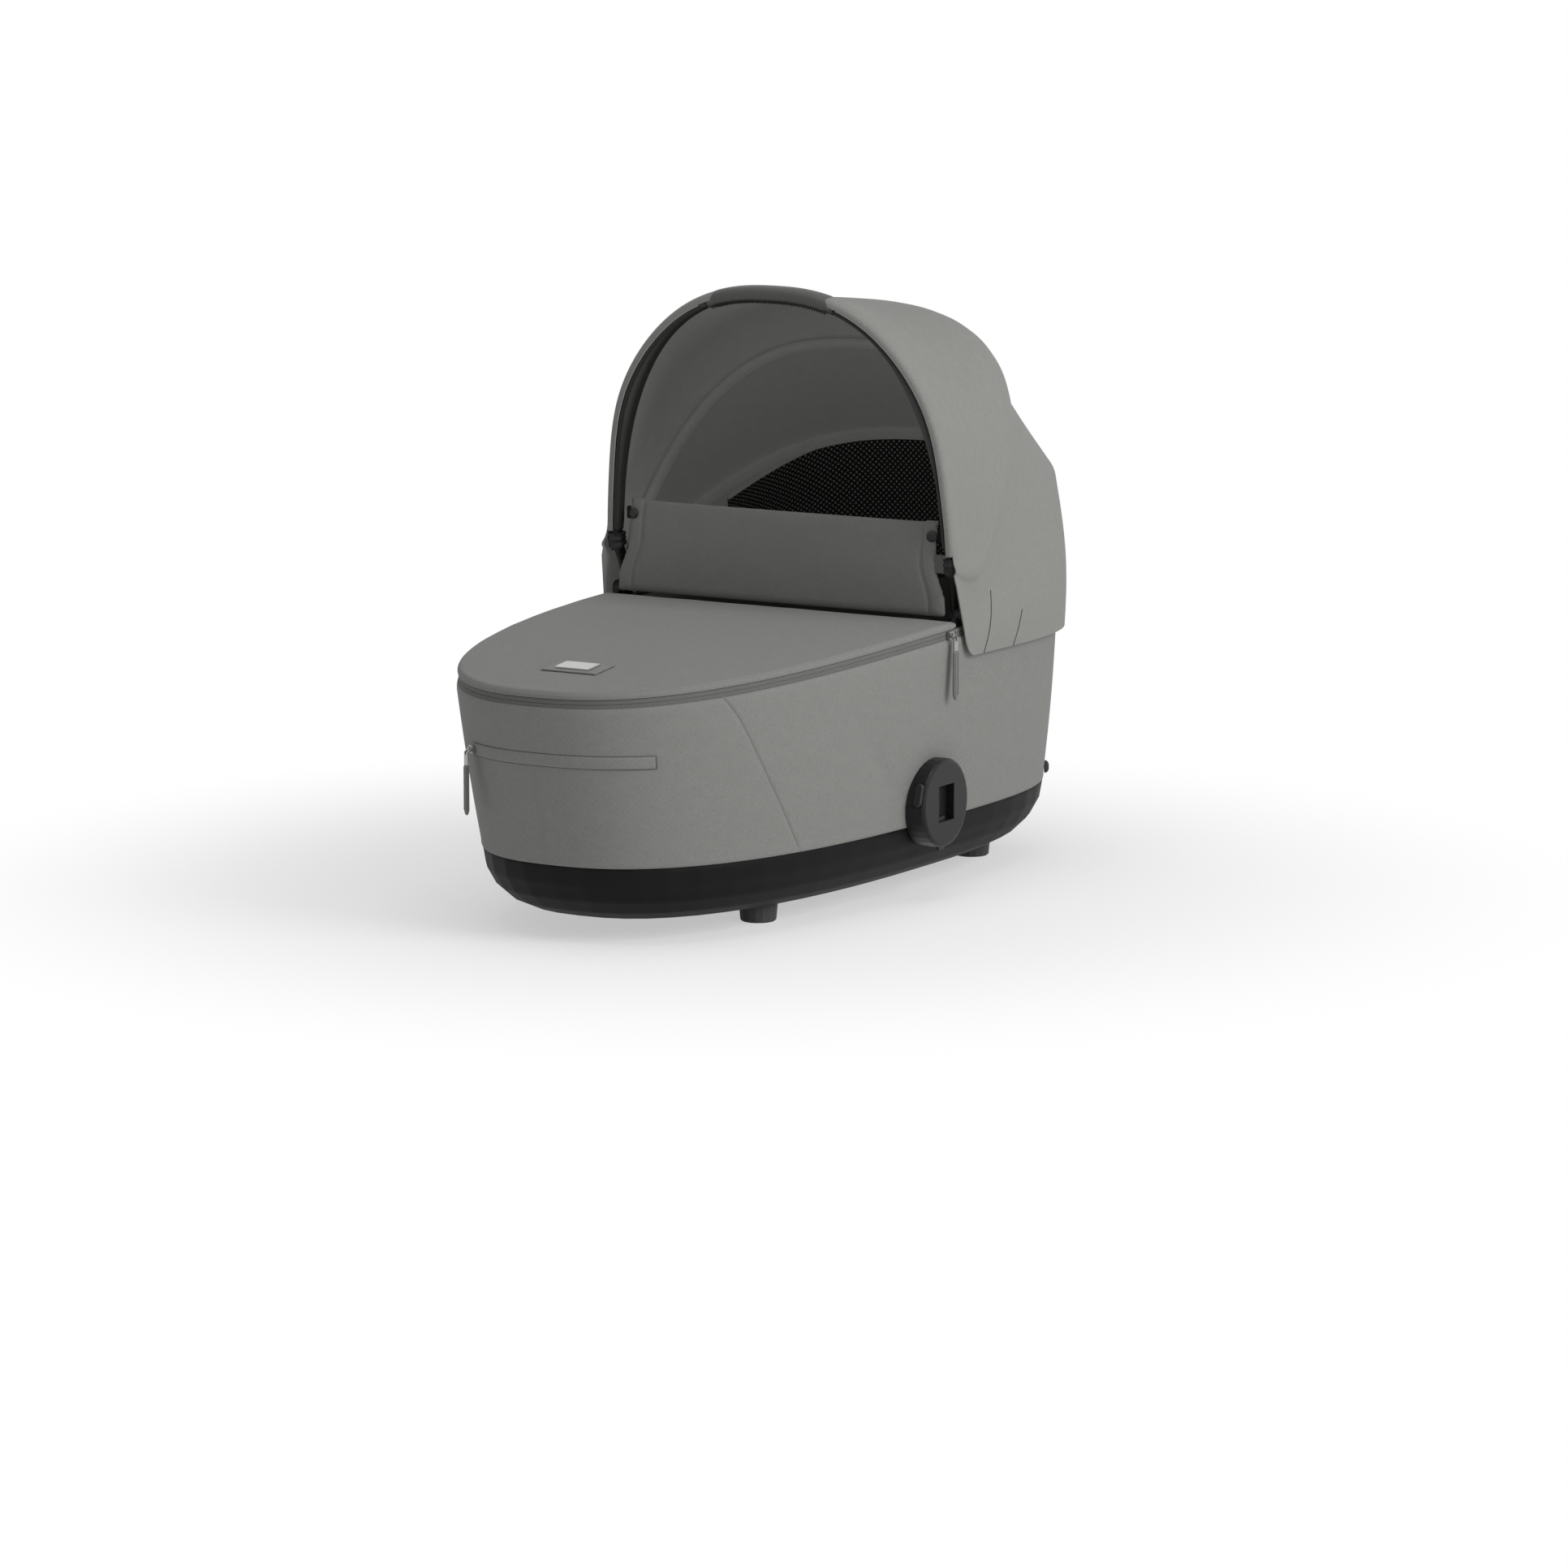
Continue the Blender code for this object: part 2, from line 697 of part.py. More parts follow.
def build_hull(finishes):
    """The hard lower hull with four hollow bosses for the foot screws."""
    loops = []
    for angle in HULL_OUTER_ANGLES:
        turn = math.radians(angle)
        inset = HULL_ROUND * (1.0 - math.cos(turn))
        z = BAND_Z - (BAND_Z - HULL_BOTTOM_Z) * math.sin(turn)
        plan = plan_loop(BAND_HALF_WIDTH - inset, BAND_FOOT_Y + inset * HULL_END_FACTOR,
                         BAND_HEAD_Y - inset * HULL_END_FACTOR)
        loops.append([Vector((point.x, point.y, z)) for point in plan])
    ledge = COVER_THICKNESS + BOARD_THICKNESS + GAP + GAP
    upstand = ledge + HULL_UPSTAND_THICKNESS
    top_z = BAND_Z + HULL_UPSTAND_HEIGHT
    for inset, z in ((ledge, BAND_Z), (ledge, top_z), (upstand, top_z)):
        plan = plan_loop(*side_sizes(0.0, inset))
        loops.append([Vector((point.x, point.y, z)) for point in plan])
    for angle in HULL_INNER_ANGLES:
        turn = math.radians(angle)
        inset = HULL_ROUND * (1.0 - math.cos(turn))
        inset = max(upstand, inset + HULL_THICKNESS)
        drop = (BAND_Z - HULL_BOTTOM_Z - HULL_THICKNESS) * math.sin(turn)
        if angle == HULL_INNER_ANGLES[-1]:
            drop = BAND_Z - HULL_BOTTOM_Z - HULL_THICKNESS
        plan = plan_loop(BAND_HALF_WIDTH - inset, BAND_FOOT_Y + inset * HULL_END_FACTOR,
                         BAND_HEAD_Y - inset * HULL_END_FACTOR)
        if angle == 0.0:
            plan = plan_loop(*side_sizes(0.0, upstand))
        loops.append([Vector((point.x, point.y, BAND_Z - drop)) for point in plan])
    hull = capped_body("hull", loops, finishes["hull"])
    bosses = []
    holes = []
    floor_z = HULL_BOTTOM_Z + HULL_THICKNESS
    boss_length = FLOOR_Z - GAP - floor_z + BOSS_SINK
    for index, (x, y) in enumerate(foot_places()):
        start = Vector((x, y, floor_z - BOSS_SINK))
        stations = ((0.0, BOSS_RADIUS), (boss_length, BOSS_RADIUS))
        bosses.append(rod(f"boss_{index}", start, Vector((0, 0, 1)), stations, SCREW_SIDES,
                          finishes["hull"]))
        start = Vector((x, y, HULL_BOTTOM_Z - BOSS_SINK))
        reach = SCREW_LENGTH - (HULL_BOTTOM_Z - FOOT_RECESS_DEPTH) + FOOT_RECESS_DEPTH
        reach = min(reach, FLOOR_Z - HULL_BOTTOM_Z - BOSS_SINK)
        stations = ((0.0, SCREW_HOLE_RADIUS), (reach, SCREW_HOLE_RADIUS))
        holes.append(rod(f"hole_{index}", start, Vector((0, 0, 1)), stations, SCREW_SIDES,
                         finishes["hull"]))
    joined(hull, bosses, "UNION")
    joined(hull, holes + side_screw_holes("hull_cut", finishes["hull"]), "DIFFERENCE",
           finishes["hull"])
    return hull


def foot_places():
    return ((-FOOT_X, FOOT_FRONT_Y), (FOOT_X, FOOT_FRONT_Y),
            (-FOOT_X, FOOT_BACK_Y), (FOOT_X, FOOT_BACK_Y))


def build_feet(finishes):
    """Four rubber feet, each held by one screw from below."""
    names = ("foot_front_left", "foot_front_right", "foot_back_left", "foot_back_right")
    top_z = HULL_BOTTOM_Z - GAP
    for name, (x, y) in zip(names, foot_places()):
        stations = [(FOOT_BASE_RADIUS - FOOT_EDGE, 0.0), (FOOT_BASE_RADIUS, FOOT_EDGE),
                    (FOOT_TOP_RADIUS, top_z), (FOOT_BORE_RADIUS, top_z),
                    (FOOT_BORE_RADIUS, FOOT_RECESS_DEPTH),
                    (FOOT_RECESS_RADIUS, FOOT_RECESS_DEPTH), (FOOT_RECESS_RADIUS, 0.0)]
        loops = []
        for radius, z in stations:
            centre = Vector((x, y, z))
            loops.append(circle(centre, Vector((1, 0, 0)), Vector((0, 1, 0)), radius, FOOT_SIDES))
        ring_body(name, loops, finishes["foot"])
        start = Vector((x, y, FOOT_RECESS_DEPTH - GAP - SCREW_HEAD_HEIGHT))
        build_screw(name.replace("foot", "foot_screw"), start, Vector((0, 0, 1)), SCREW_LENGTH,
                    finishes["screw"])


def build_screw(name, start, axis, length, finish):
    """A pan-head screw with a round drive socket, from its head to its tip."""
    stations = ((SCREW_SOCKET_DEPTH, SCREW_SOCKET_RADIUS), (0.0, SCREW_SOCKET_RADIUS),
                (0.0, SCREW_HEAD_RADIUS * 0.8),
                (SCREW_HEAD_HEIGHT * 0.4, SCREW_HEAD_RADIUS),
                (SCREW_HEAD_HEIGHT, SCREW_HEAD_RADIUS), (SCREW_HEAD_HEIGHT, SCREW_RADIUS),
                (SCREW_HEAD_HEIGHT + length - SCREW_RADIUS, SCREW_RADIUS),
                (SCREW_HEAD_HEIGHT + length, SCREW_RADIUS * 0.35))
    return rod(name, start, axis, stations, SCREW_SIDES, finish)


def side_screw_places():
    """Start and direction of each screw that holds an adapter."""
    places = []
    for sign in (-1.0, 1.0):
        for offset in (-SIDE_SCREW_SPACING / 2.0, SIDE_SCREW_SPACING / 2.0):
            y = ADAPTER_Y + offset
            outer = side_x(y, SIDE_SCREW_Z)
            inner = COVER_THICKNESS + BOARD_THICKNESS + GAP * 3.0 + HULL_UPSTAND_THICKNESS
            level_shift = side_x(y, SIDE_SCREW_Z) - side_x(y, BAND_Z)
            start_x = outer - inner - level_shift - SCREW_HEAD_HEIGHT - GAP
            places.append((Vector((sign * start_x, y, SIDE_SCREW_Z)), Vector((sign, 0.0, 0.0))))
    return places


def side_screw_holes(name, finish):
    """Cutters for the adapter screws through the walls they cross."""
    holes = []
    for index, (start, axis) in enumerate(side_screw_places()):
        stations = ((SCREW_HEAD_HEIGHT / 2.0, SCREW_HOLE_RADIUS),
                    (SCREW_HEAD_HEIGHT + SIDE_SCREW_LENGTH + SCREW_RADIUS, SCREW_HOLE_RADIUS))
        holes.append(rod(f"{name}_{index}", start, axis, stations, SCREW_SIDES, finish))
    return holes


def build_walls(finishes):
    """Fabric cover, hard board, rim frame, zip band and inner lining."""
    levels = BOARD_LEVEL_SHARES + (FRAME_BOTTOM_SHARE,)
    loops = [side_ring(level, 0.0, GAP if level == 0.0 else 0.0) for level in COVER_LEVEL_SHARES]
    loops.append(side_ring(1.0, COVER_ROLL))
    loops.append(side_ring(1.0, COVER_THICKNESS))
    for level in reversed(levels):
        loops.append(side_ring(level, COVER_THICKNESS, GAP if level == 0.0 else 0.0))
    cover = ring_body("body_cover", loops, finishes["body_fabric"])
    joined(cover, side_screw_holes("cover_cut", finishes["body_fabric"]), "DIFFERENCE",
           finishes["body_fabric"])

    outside = COVER_THICKNESS + GAP
    inside = outside + BOARD_THICKNESS
    loops = [side_ring(level, outside, GAP if level == 0.0 else 0.0) for level in levels]
    loops += [side_ring(level, inside, GAP if level == 0.0 else 0.0)
              for level in reversed(levels)]
    board = ring_body("side_board", loops, finishes["board"])
    joined(board, side_screw_holes("board_cut", finishes["board"]), "DIFFERENCE",
           finishes["board"])

    inner = FRAME_INSET + FRAME_WIDTH
    loops = [side_ring(FRAME_BOTTOM_SHARE, FRAME_INSET, GAP), side_ring(1.0, FRAME_INSET),
             rim_ring(FRAME_INSET, FRAME_TOP_LIFT), rim_ring(inner, FRAME_TOP_LIFT),
             side_ring(FRAME_BOTTOM_SHARE, inner, GAP)]
    ring_body("rim_frame", loops, finishes["frame"])

    loops = [liner_ring(stage, 0.0) for stage in (0, 1, 2)]
    loops += [liner_ring(stage, LINER_THICKNESS) for stage in (2, 1, 0)]
    ring_body("inner_lining", loops, finishes["lining"])
    build_zip_band(finishes)


def liner_ring(stage, extra):
    """Loop of the lining at its foot, above the hull's upstand, or at its top."""
    if stage == 2:
        loop = rim_ring(LINER_TOP_INSET + extra, -LINER_TOP_DROP)
    else:
        inset = (LINER_FOOT_INSET, LINER_MID_INSET)[stage] + extra
        z = (FLOOR_Z + FLOOR_THICKNESS + GAP, LINER_MID_Z)[stage]
        loop = [Vector((point.x, point.y, z)) for point in plan_loop(*side_sizes(0.0, inset))]
    return loop


def open_run(loop, limit_y):
    """Points of a loop from its right crossing of limit_y, round the foot, to the left one."""
    count = len(loop)
    half = count // 2
    right = []
    for index in range(half + 1):
        if loop[index].y >= limit_y:
            before = loop[index - 1]
            share = (limit_y - before.y) / (loop[index].y - before.y)
            right.append(before.lerp(loop[index], share))
            break
        right.append(loop[index])
    left = mirrored(right[1:])
    return list(reversed(right)) + left


def build_zip_band(finishes):
    """The recessed zip band round the rim, open towards the hood."""
    low = -ZIP_BOTTOM_DROP
    thick = FRAME_INSET - GAP
    heights = (low,) + tuple(mix(low, -GAP, share) for share in ZIP_COIL_SHARES) + (-GAP,)
    outs = (ZIP_INSET, ZIP_INSET, ZIP_INSET - ZIP_COIL, ZIP_INSET, ZIP_INSET)
    lines = [open_run(rim_ring(out, height), ZIP_END_Y) for out, height in zip(outs, heights)]
    lines.append(open_run(rim_ring(thick, -GAP), ZIP_END_Y))
    lines.append(open_run(rim_ring(thick, low), ZIP_END_Y))
    loops = [[line[index] for line in lines] for index in range(len(lines[0]))]
    capped_body("rim_zip_band", loops, finishes["zip_band"])


def build_floor(finishes):
    """The floor board and the mattress with its sewn channel."""
    low = FLOOR_Z
    high = FLOOR_Z + FLOOR_THICKNESS
    loops = []
    for z in (low, high):
        end_inset = FLOOR_INSET * HULL_END_FACTOR
        plan = plan_loop(BAND_HALF_WIDTH - FLOOR_INSET, BAND_FOOT_Y + end_inset,
                         BAND_HEAD_Y - end_inset)
        loops.append([Vector((point.x, point.y, z)) for point in plan])
    capped_body("floor_board", loops, finishes["board"])

    base_z = high + GAP
    plan_sizes = side_sizes(0.0, MATTRESS_INSET)
    outline = plan_loop(*plan_sizes)[::2]
    middle = Vector((0.0, (plan_sizes[1] + plan_sizes[2]) / 2.0, 0.0))
    top_z = base_z + MATTRESS_HEIGHT

    def scaled(share, z):
        loop = []
        for point in outline:
            place = middle.lerp(point, share)
            loop.append(Vector((place.x, place.y, z)))
        return loop

    loops = [scaled(MATTRESS_LOW_SHARE, base_z),
             scaled(MATTRESS_ROUND_SHARE, base_z + MATTRESS_EDGE * 0.35),
             scaled(1.0, base_z + MATTRESS_EDGE), scaled(1.0, top_z - MATTRESS_EDGE)]
    for share in MATTRESS_RING_SHARES:
        crown = MATTRESS_CROWN * (1.0 - share * share)
        z = top_z - MATTRESS_EDGE * 0.30 * smooth((share - 0.80) / 0.20) + crown
        if share == MATTRESS_CHANNEL_SHARE:
            z -= MATTRESS_CHANNEL
        loops.append(scaled(share, z))
    low_point = Vector((0.0, middle.y, base_z))
    high_point = Vector((0.0, middle.y, top_z + MATTRESS_CROWN))
    domed_body("mattress", loops, low_point, high_point, finishes["mattress"])


def apron_rise(y, share):
    """Height of the apron's top over the rim line; share is 1 at its outline."""
    flat = smooth((y - APRON_FLAT_START_Y) / (APRON_END_Y - APRON_FLAT_START_Y))
    return APRON_SEAM_LIFT + APRON_CROWN * (1.0 - share * share) * (1.0 - flat)


def apron_outline(inset):
    """Outline of the apron: round the foot, then straight across at its head edge."""
    side = open_run(rim_ring(inset, 0.0), APRON_END_Y)
    side.insert(1, side[0].lerp(side[1], APRON_TAPER_SHARE))
    side.insert(-1, side[-1].lerp(side[-2], APRON_TAPER_SHARE))
    end = [side[-1].lerp(side[0], step / APRON_END_COUNT) for step in range(1, APRON_END_COUNT)]
    return side + end


def apron_level(outline, share, drop):
    """One ring of the apron at a share of its outline."""
    centre = Vector((0.0, APRON_CENTRE_Y, 0.0))
    loop = []
    for point in outline:
        place = centre.lerp(Vector((point.x, point.y, 0.0)), share)
        z = rim_height(place.y) + apron_rise(place.y, share) - drop
        loop.append(Vector((place.x, place.y, z)))
    return loop


def build_apron(finishes):
    """The fabric apron with a short band turned down round the rim."""
    outer = apron_outline(APRON_INSET)
    inner = apron_outline(APRON_INSET + APRON_BAND_THICKNESS)
    side_points = len(outer) - APRON_END_COUNT + 1
    edge_depth = APRON_SEAM_LIFT - FRAME_TOP_LIFT - GAP

    def band(outline, lift):
        loop = []
        for index, point in enumerate(outline):
            low = rim_height(point.y) + lift
            if index == 0 or index >= side_points - 1:
                top = rim_height(point.y) + apron_rise(point.y, 1.0)
                low = top - edge_depth
            loop.append(Vector((point.x, point.y, low)))
        return loop

    shares = APRON_RING_SHARES
    loops = [band(outer, GAP), apron_level(outer, shares[0], APRON_EDGE_ROUND)]
    loops += [apron_level(outer, share, 0.0) for share in shares[1:]]
    count = len(loops[0])
    points = [point for loop in loops for point in loop]
    faces = ring_faces(len(loops), count, False)
    top = len(points)
    centre_z = rim_height(APRON_CENTRE_Y) + apron_rise(APRON_CENTRE_Y, 0.0)
    points.append(Vector((0.0, APRON_CENTRE_Y, centre_z)))
    last = (len(loops) - 1) * count
    faces += [(last + step, last + (step + 1) % count, top) for step in range(count)]
    base = len(points)
    low_loops = [band(inner, GAP), apron_level(inner, shares[0], edge_depth),
                 apron_level(inner, APRON_EDGE_SHARE, edge_depth)]
    low_loops += [apron_level(inner, share, APRON_THICKNESS) for share in shares[3:]]
    for loop in low_loops:
        points.extend(loop)
    faces += [tuple(base + index for index in face)
              for face in ring_faces(len(low_loops), count, False)]
    bottom = len(points)
    points.append(Vector((0.0, APRON_CENTRE_Y, centre_z - APRON_THICKNESS)))
    last = base + (len(low_loops) - 1) * count
    faces += [(last + step, last + (step + 1) % count, bottom) for step in range(count)]
    for step in range(count):
        after = (step + 1) % count
        faces.append((step, after, base + after, base + step))
    make_object("apron", points, faces, finishes["apron_fabric"])


def apron_surface(x, y):
    """Point on top of the apron."""
    outline = apron_outline(APRON_INSET)
    centre = Vector((0.0, APRON_CENTRE_Y, 0.0))
    place = Vector((x, y, 0.0))
    reach = max((place - centre).length, GAP)
    heading = (place - centre).normalized()

    def facing(point):
        return (Vector((point.x, point.y, 0.0)) - centre).normalized().dot(heading)

    best = max(outline, key=facing)
    edge = (Vector((best.x, best.y, 0.0)) - centre).length
    share = min(reach / edge, 1.0)
    return Vector((x, y, rim_height(y) + apron_rise(y, share)))


def build_badge(finishes):
    """A sewn patch near the foot end of the apron with a bare plate on it."""
    middle = apron_surface(0.0, PATCH_Y)
    front = apron_surface(0.0, PATCH_Y - PATCH_LENGTH / 2.0)
    back = apron_surface(0.0, PATCH_Y + PATCH_LENGTH / 2.0)
    side = Vector((1.0, 0.0, 0.0))
    along = (back - front).normalized()
    up = side.cross(along).normalized()
    base = middle + up * (GAP + GAP)

    def slab(name, width, length, thickness, start, edge, finish):
        loops = []
        half = (width / 2.0, length / 2.0)
        for height, cut in ((0.0, 0.0), (thickness - edge, 0.0), (thickness, edge)):
            centre = base + up * (start + height)
            corners = []
            for across, along_share in ((-1, -1), (1, -1), (1, 1), (-1, 1)):
                reach = side * (across * (half[0] - cut)) + along * (along_share * (half[1] - cut))
                corners.append(centre + reach)
            loops.append(corners)
        return capped_body(name, loops, finish)

    slab("badge_patch", PATCH_WIDTH, PATCH_LENGTH, PATCH_THICKNESS, 0.0, PLATE_EDGE / 2.0,
         finishes["patch"])
    slab("badge_plate", PLATE_WIDTH, PLATE_LENGTH, PLATE_THICKNESS, PATCH_THICKNESS + GAP,
         PLATE_EDGE, finishes["metal"])


def arch_points(angle, half_width, reach, power, start_reach=0.0, y_shift=0.0):
    """Dense points of a hood arch from right to left; its plane leans by angle."""
    turn = math.radians(angle)
    points = []
    for step in range(ARCH_STEPS + 1):
        around = math.pi * step / ARCH_STEPS
        across = math.cos(around)
        height = max(math.sin(around), 0.0)
        radius = reach * height ** (2.0 / power)
        if radius < start_reach:
            continue
        x = half_width * math.copysign(abs(across) ** (2.0 / power), across)
        points.append(Vector((x, FAN_Y + y_shift + radius * math.cos(turn),
                              FAN_Z + radius * math.sin(turn))))
    return points


def edged_row(arch, edge, columns):
    """A row of cloth points that leaves the side edge and joins an arch."""
    half = arch[:len(arch) // 2]
    nearest = min(range(len(half)), key=lambda index: (half[index] - edge).length)
    right = [point for point in half[nearest:] if (point - edge).length > EDGE_BLEND * 0.5]
    middle = Vector((0.0, arch[len(arch) // 2].y, arch[len(arch) // 2].z))
    return symmetric_row(corner_curve(edge, right) + [middle], columns)


def corner_curve(edge, side):
    """Joins an edge point to a side line by a gentle curve."""
    first = side[0]
    second = side[min(12, len(side) - 1)]
    heading = (second - first).normalized()
    reach = (first - edge).length
    bend = first - heading * (reach * 0.45)
    points = []
    for step in range(16):
        share = step / 16.0
        points.append(edge.lerp(bend, share).lerp(bend.lerp(first, share), share))
    return points + side


def symmetric_row(right, columns):
    half = spaced(right, columns // 2)
    return half + mirrored(half[-2::-1])


def front_row(columns):
    """Front row of the dome: outside the bow's arm low down, behind the bow higher up."""
    arch = arch_points(FRONT_ANGLE, FRONT_WIDTH, FRONT_REACH, FRONT_POWER)
    half = arch[:len(arch) // 2 + 1]
    right = []
    for point in half:
        if point.z < EDGE_FRONT_Z:
            continue
        rise = point.z - EDGE_FRONT_Z
        back = smooth(rise / WRAP_HEIGHT)
        tuck = smooth((rise - WRAP_HEIGHT) / WRAP_HEIGHT)
        shrink = mix(-WRAP_OUT, FRONT_TUCK, tuck)
        away = Vector((point.x, 0.0, point.z - FAN_Z)).normalized()
        place = point - away * shrink
        place.y = mix(EDGE_Y + (point.y - half[0].y), point.y + FRONT_BACKSET, back)
        right.append(place)
    right[-1].x = 0.0
    return symmetric_row(right, columns)


def middle_row(columns):
    arch = arch_points(MID_ANGLE, MID_WIDTH, MID_REACH, MID_POWER)
    edge = Vector((mix(FRONT_WIDTH + WRAP_OUT, HEM_HALF_WIDTH, EDGE_MID_SHARE), EDGE_Y, EDGE_MID_Z))
    return edged_row(arch, edge, columns)


def rear_row(columns):
    arch = arch_points(REAR_ANGLE, REAR_WIDTH, REAR_REACH, REAR_POWER)
    edge = Vector((mix(FRONT_WIDTH + WRAP_OUT, HEM_HALF_WIDTH, EDGE_SKIRT_SHARE), EDGE_Y, EDGE_SKIRT_Z))
    return edged_row(arch, edge, columns)


def hem_row(columns):
    """The lower edge of the hood, level with the top of the fabric side."""
    half = plan_half(HEM_HALF_WIDTH, TOP_FOOT_Y, HEM_HEAD_Y, PLAN_COUNT * 4)
    side = []
    for point in half:
        if point.y < HEM_CORNER_Y:
            continue
        share = smooth((point.y - HEM_CORNER_Y) / (HEM_HEAD_Y - HEM_CORNER_Y))
        side.append(Vector((point.x, point.y, HEM_Z + HEM_RISE * (1.0 - share))))
    edge = Vector((HEM_HALF_WIDTH - GAP, EDGE_LOW_Y, EDGE_LOW_Z))
    rounded = corner_curve(edge, side)
    return symmetric_row(rounded, columns)


def build_cloth(finishes):
    """Hood cloth in three panels: dome, back slope and skirt."""
    columns = CLOTH_COLUMNS
    first = front_row(columns)
    second = middle_row(columns)
    third = rear_row(columns)
    centre = Vector((0.0, FAN_Y, FAN_Z))

    def outward(point):
        away = point - centre
        away.x *= DOME_SIDE_SHARE
        return away.normalized()

    dome = []
    for step in range(DOME_ROWS + 1):
        share = step / DOME_ROWS
        line = []
        for start, end in zip(first, second):
            place = start.lerp(end, share)
            chord = (end - start).length
            lift = math.sin(math.pi * share ** DOME_PEAK_POWER) * chord * DOME_LIFT_SHARE
            place = place + outward(place) * lift
            line.append(place)
        dome.append(line)
    slope = []
    for step in range(CLOTH_ROWS + 1):
        share = step / CLOTH_ROWS
        line = []
        for start, end in zip(second, third):
            place = start.lerp(end, share)
            chord = (end - start).length
            lift = math.sin(math.pi * share) * (REAR_SAG * smooth(chord / EDGE_BLEND))
            place = place - outward(place) * lift
            line.append(place)
        slope.append(line)
    skirt = skirt_grid(columns)
    trimmed_dome = trim(dome, CLOTH_SEAM, at_start=False)
    trimmed_slope = trim(slope, CLOTH_SEAM, at_start=False)
    normals = [sheet_normals(grid) for grid in (dome, slope, skirt)]
    for upper, lower in zip(normals[:-1], normals[1:]):
        mitred = [(first + second) / (1.0 + first.dot(second))
                  for first, second in zip(upper[-1], lower[0])]
        upper[-1] = mitred
        lower[0] = mitred
    names = ("hood_dome", "hood_slope", "hood_skirt")
    for name, grid, directions in zip(names, (trimmed_dome, trimmed_slope, skirt), normals):
        thick_sheet(name, grid, CLOTH_THICKNESS, finishes["hood_fabric"], None, directions)


def skirt_point(start, end, share):
    """Point of the skirt between the rear row and the hem."""
    place = start.lerp(end, share)
    flat = Vector((place.x, place.y - WIDEST_Y, 0.0)).normalized()
    lift = math.sin(math.pi * share) * SKIRT_BULGE * smooth((place.y - EDGE_Y) / EDGE_BLEND)
    return place + flat * lift


def skirt_grid(columns):
    """Rows of the skirt from the rear bow down to the hem."""
    pairs = list(zip(rear_row(columns), hem_row(columns)))
    grid = []
    for step in range(SKIRT_ROWS + 1):
        grid.append([skirt_point(start, end, step / SKIRT_ROWS) for start, end in pairs])
    return grid


def trim(grid, amount, at_start):
    """Shortens a grid at its first or last row to leave room for a seam."""
    lines = [list(line) for line in grid]
    index = 0 if at_start else len(lines) - 1
    inner = 1 if at_start else len(lines) - 2
    for column, point in enumerate(lines[index]):
        back = lines[inner][column] - point
        if back.length > amount * 2.0:
            lines[index][column] = point + back.normalized() * amount
        else:
            lines[index][column] = point + back * 0.4
    return lines


def bow_path(angle, half_width, reach, power, inset, count, hub_x):
    """Centre line of a bow from the right hub over the top to the left hub."""
    arch = arch_points(angle, half_width - inset, reach - inset, power)
    hub = Vector((hub_x, PIVOT_Y, PIVOT_Z))
    half = len(arch) // 2
    right = [point for point in arch[:half] if (point - hub).length > ARM_BLEND_HEIGHT]
    turn = math.radians(angle)
    bend = hub + Vector((0.0, math.cos(turn), math.sin(turn))) * ((right[0] - hub).length * 0.55)
    start = []
    for step in range(12):
        share = step / 12.0
        start.append(hub.lerp(bend, share).lerp(bend.lerp(right[0], share), share))
    top = Vector((0.0, arch[half].y, arch[half].z))
    line = start + right + [top]
    half_line = spaced(line, count // 2)
    return half_line + mirrored(half_line[-2::-1])


def plane_axis(angle):
    """Unit vector square to the plane of an arch, pointing to the head end."""
    turn = math.radians(angle)
    return Vector((0.0, math.sin(turn), -math.cos(turn)))


def clear_of_hub(path, index):
    """A path point; the two ends stop inside their hubs, short of the pin."""
    if index == 0:
        return path[0] + (path[1] - path[0]).normalized() * (HUB_RADIUS * 0.6)
    if index == len(path) - 1:
        return path[-1] + (path[-2] - path[-1]).normalized() * (HUB_RADIUS * 0.6)
    return path[index]


def nearest_index(path, limit, distance):
    """Index below limit whose point has the least distance."""
    return min(range(limit), key=lambda index: distance(path[index]))


def front_bow_inset():
    return SLEEVE_THICKNESS + GAP + FRONT_BOW_RADIAL / 2.0


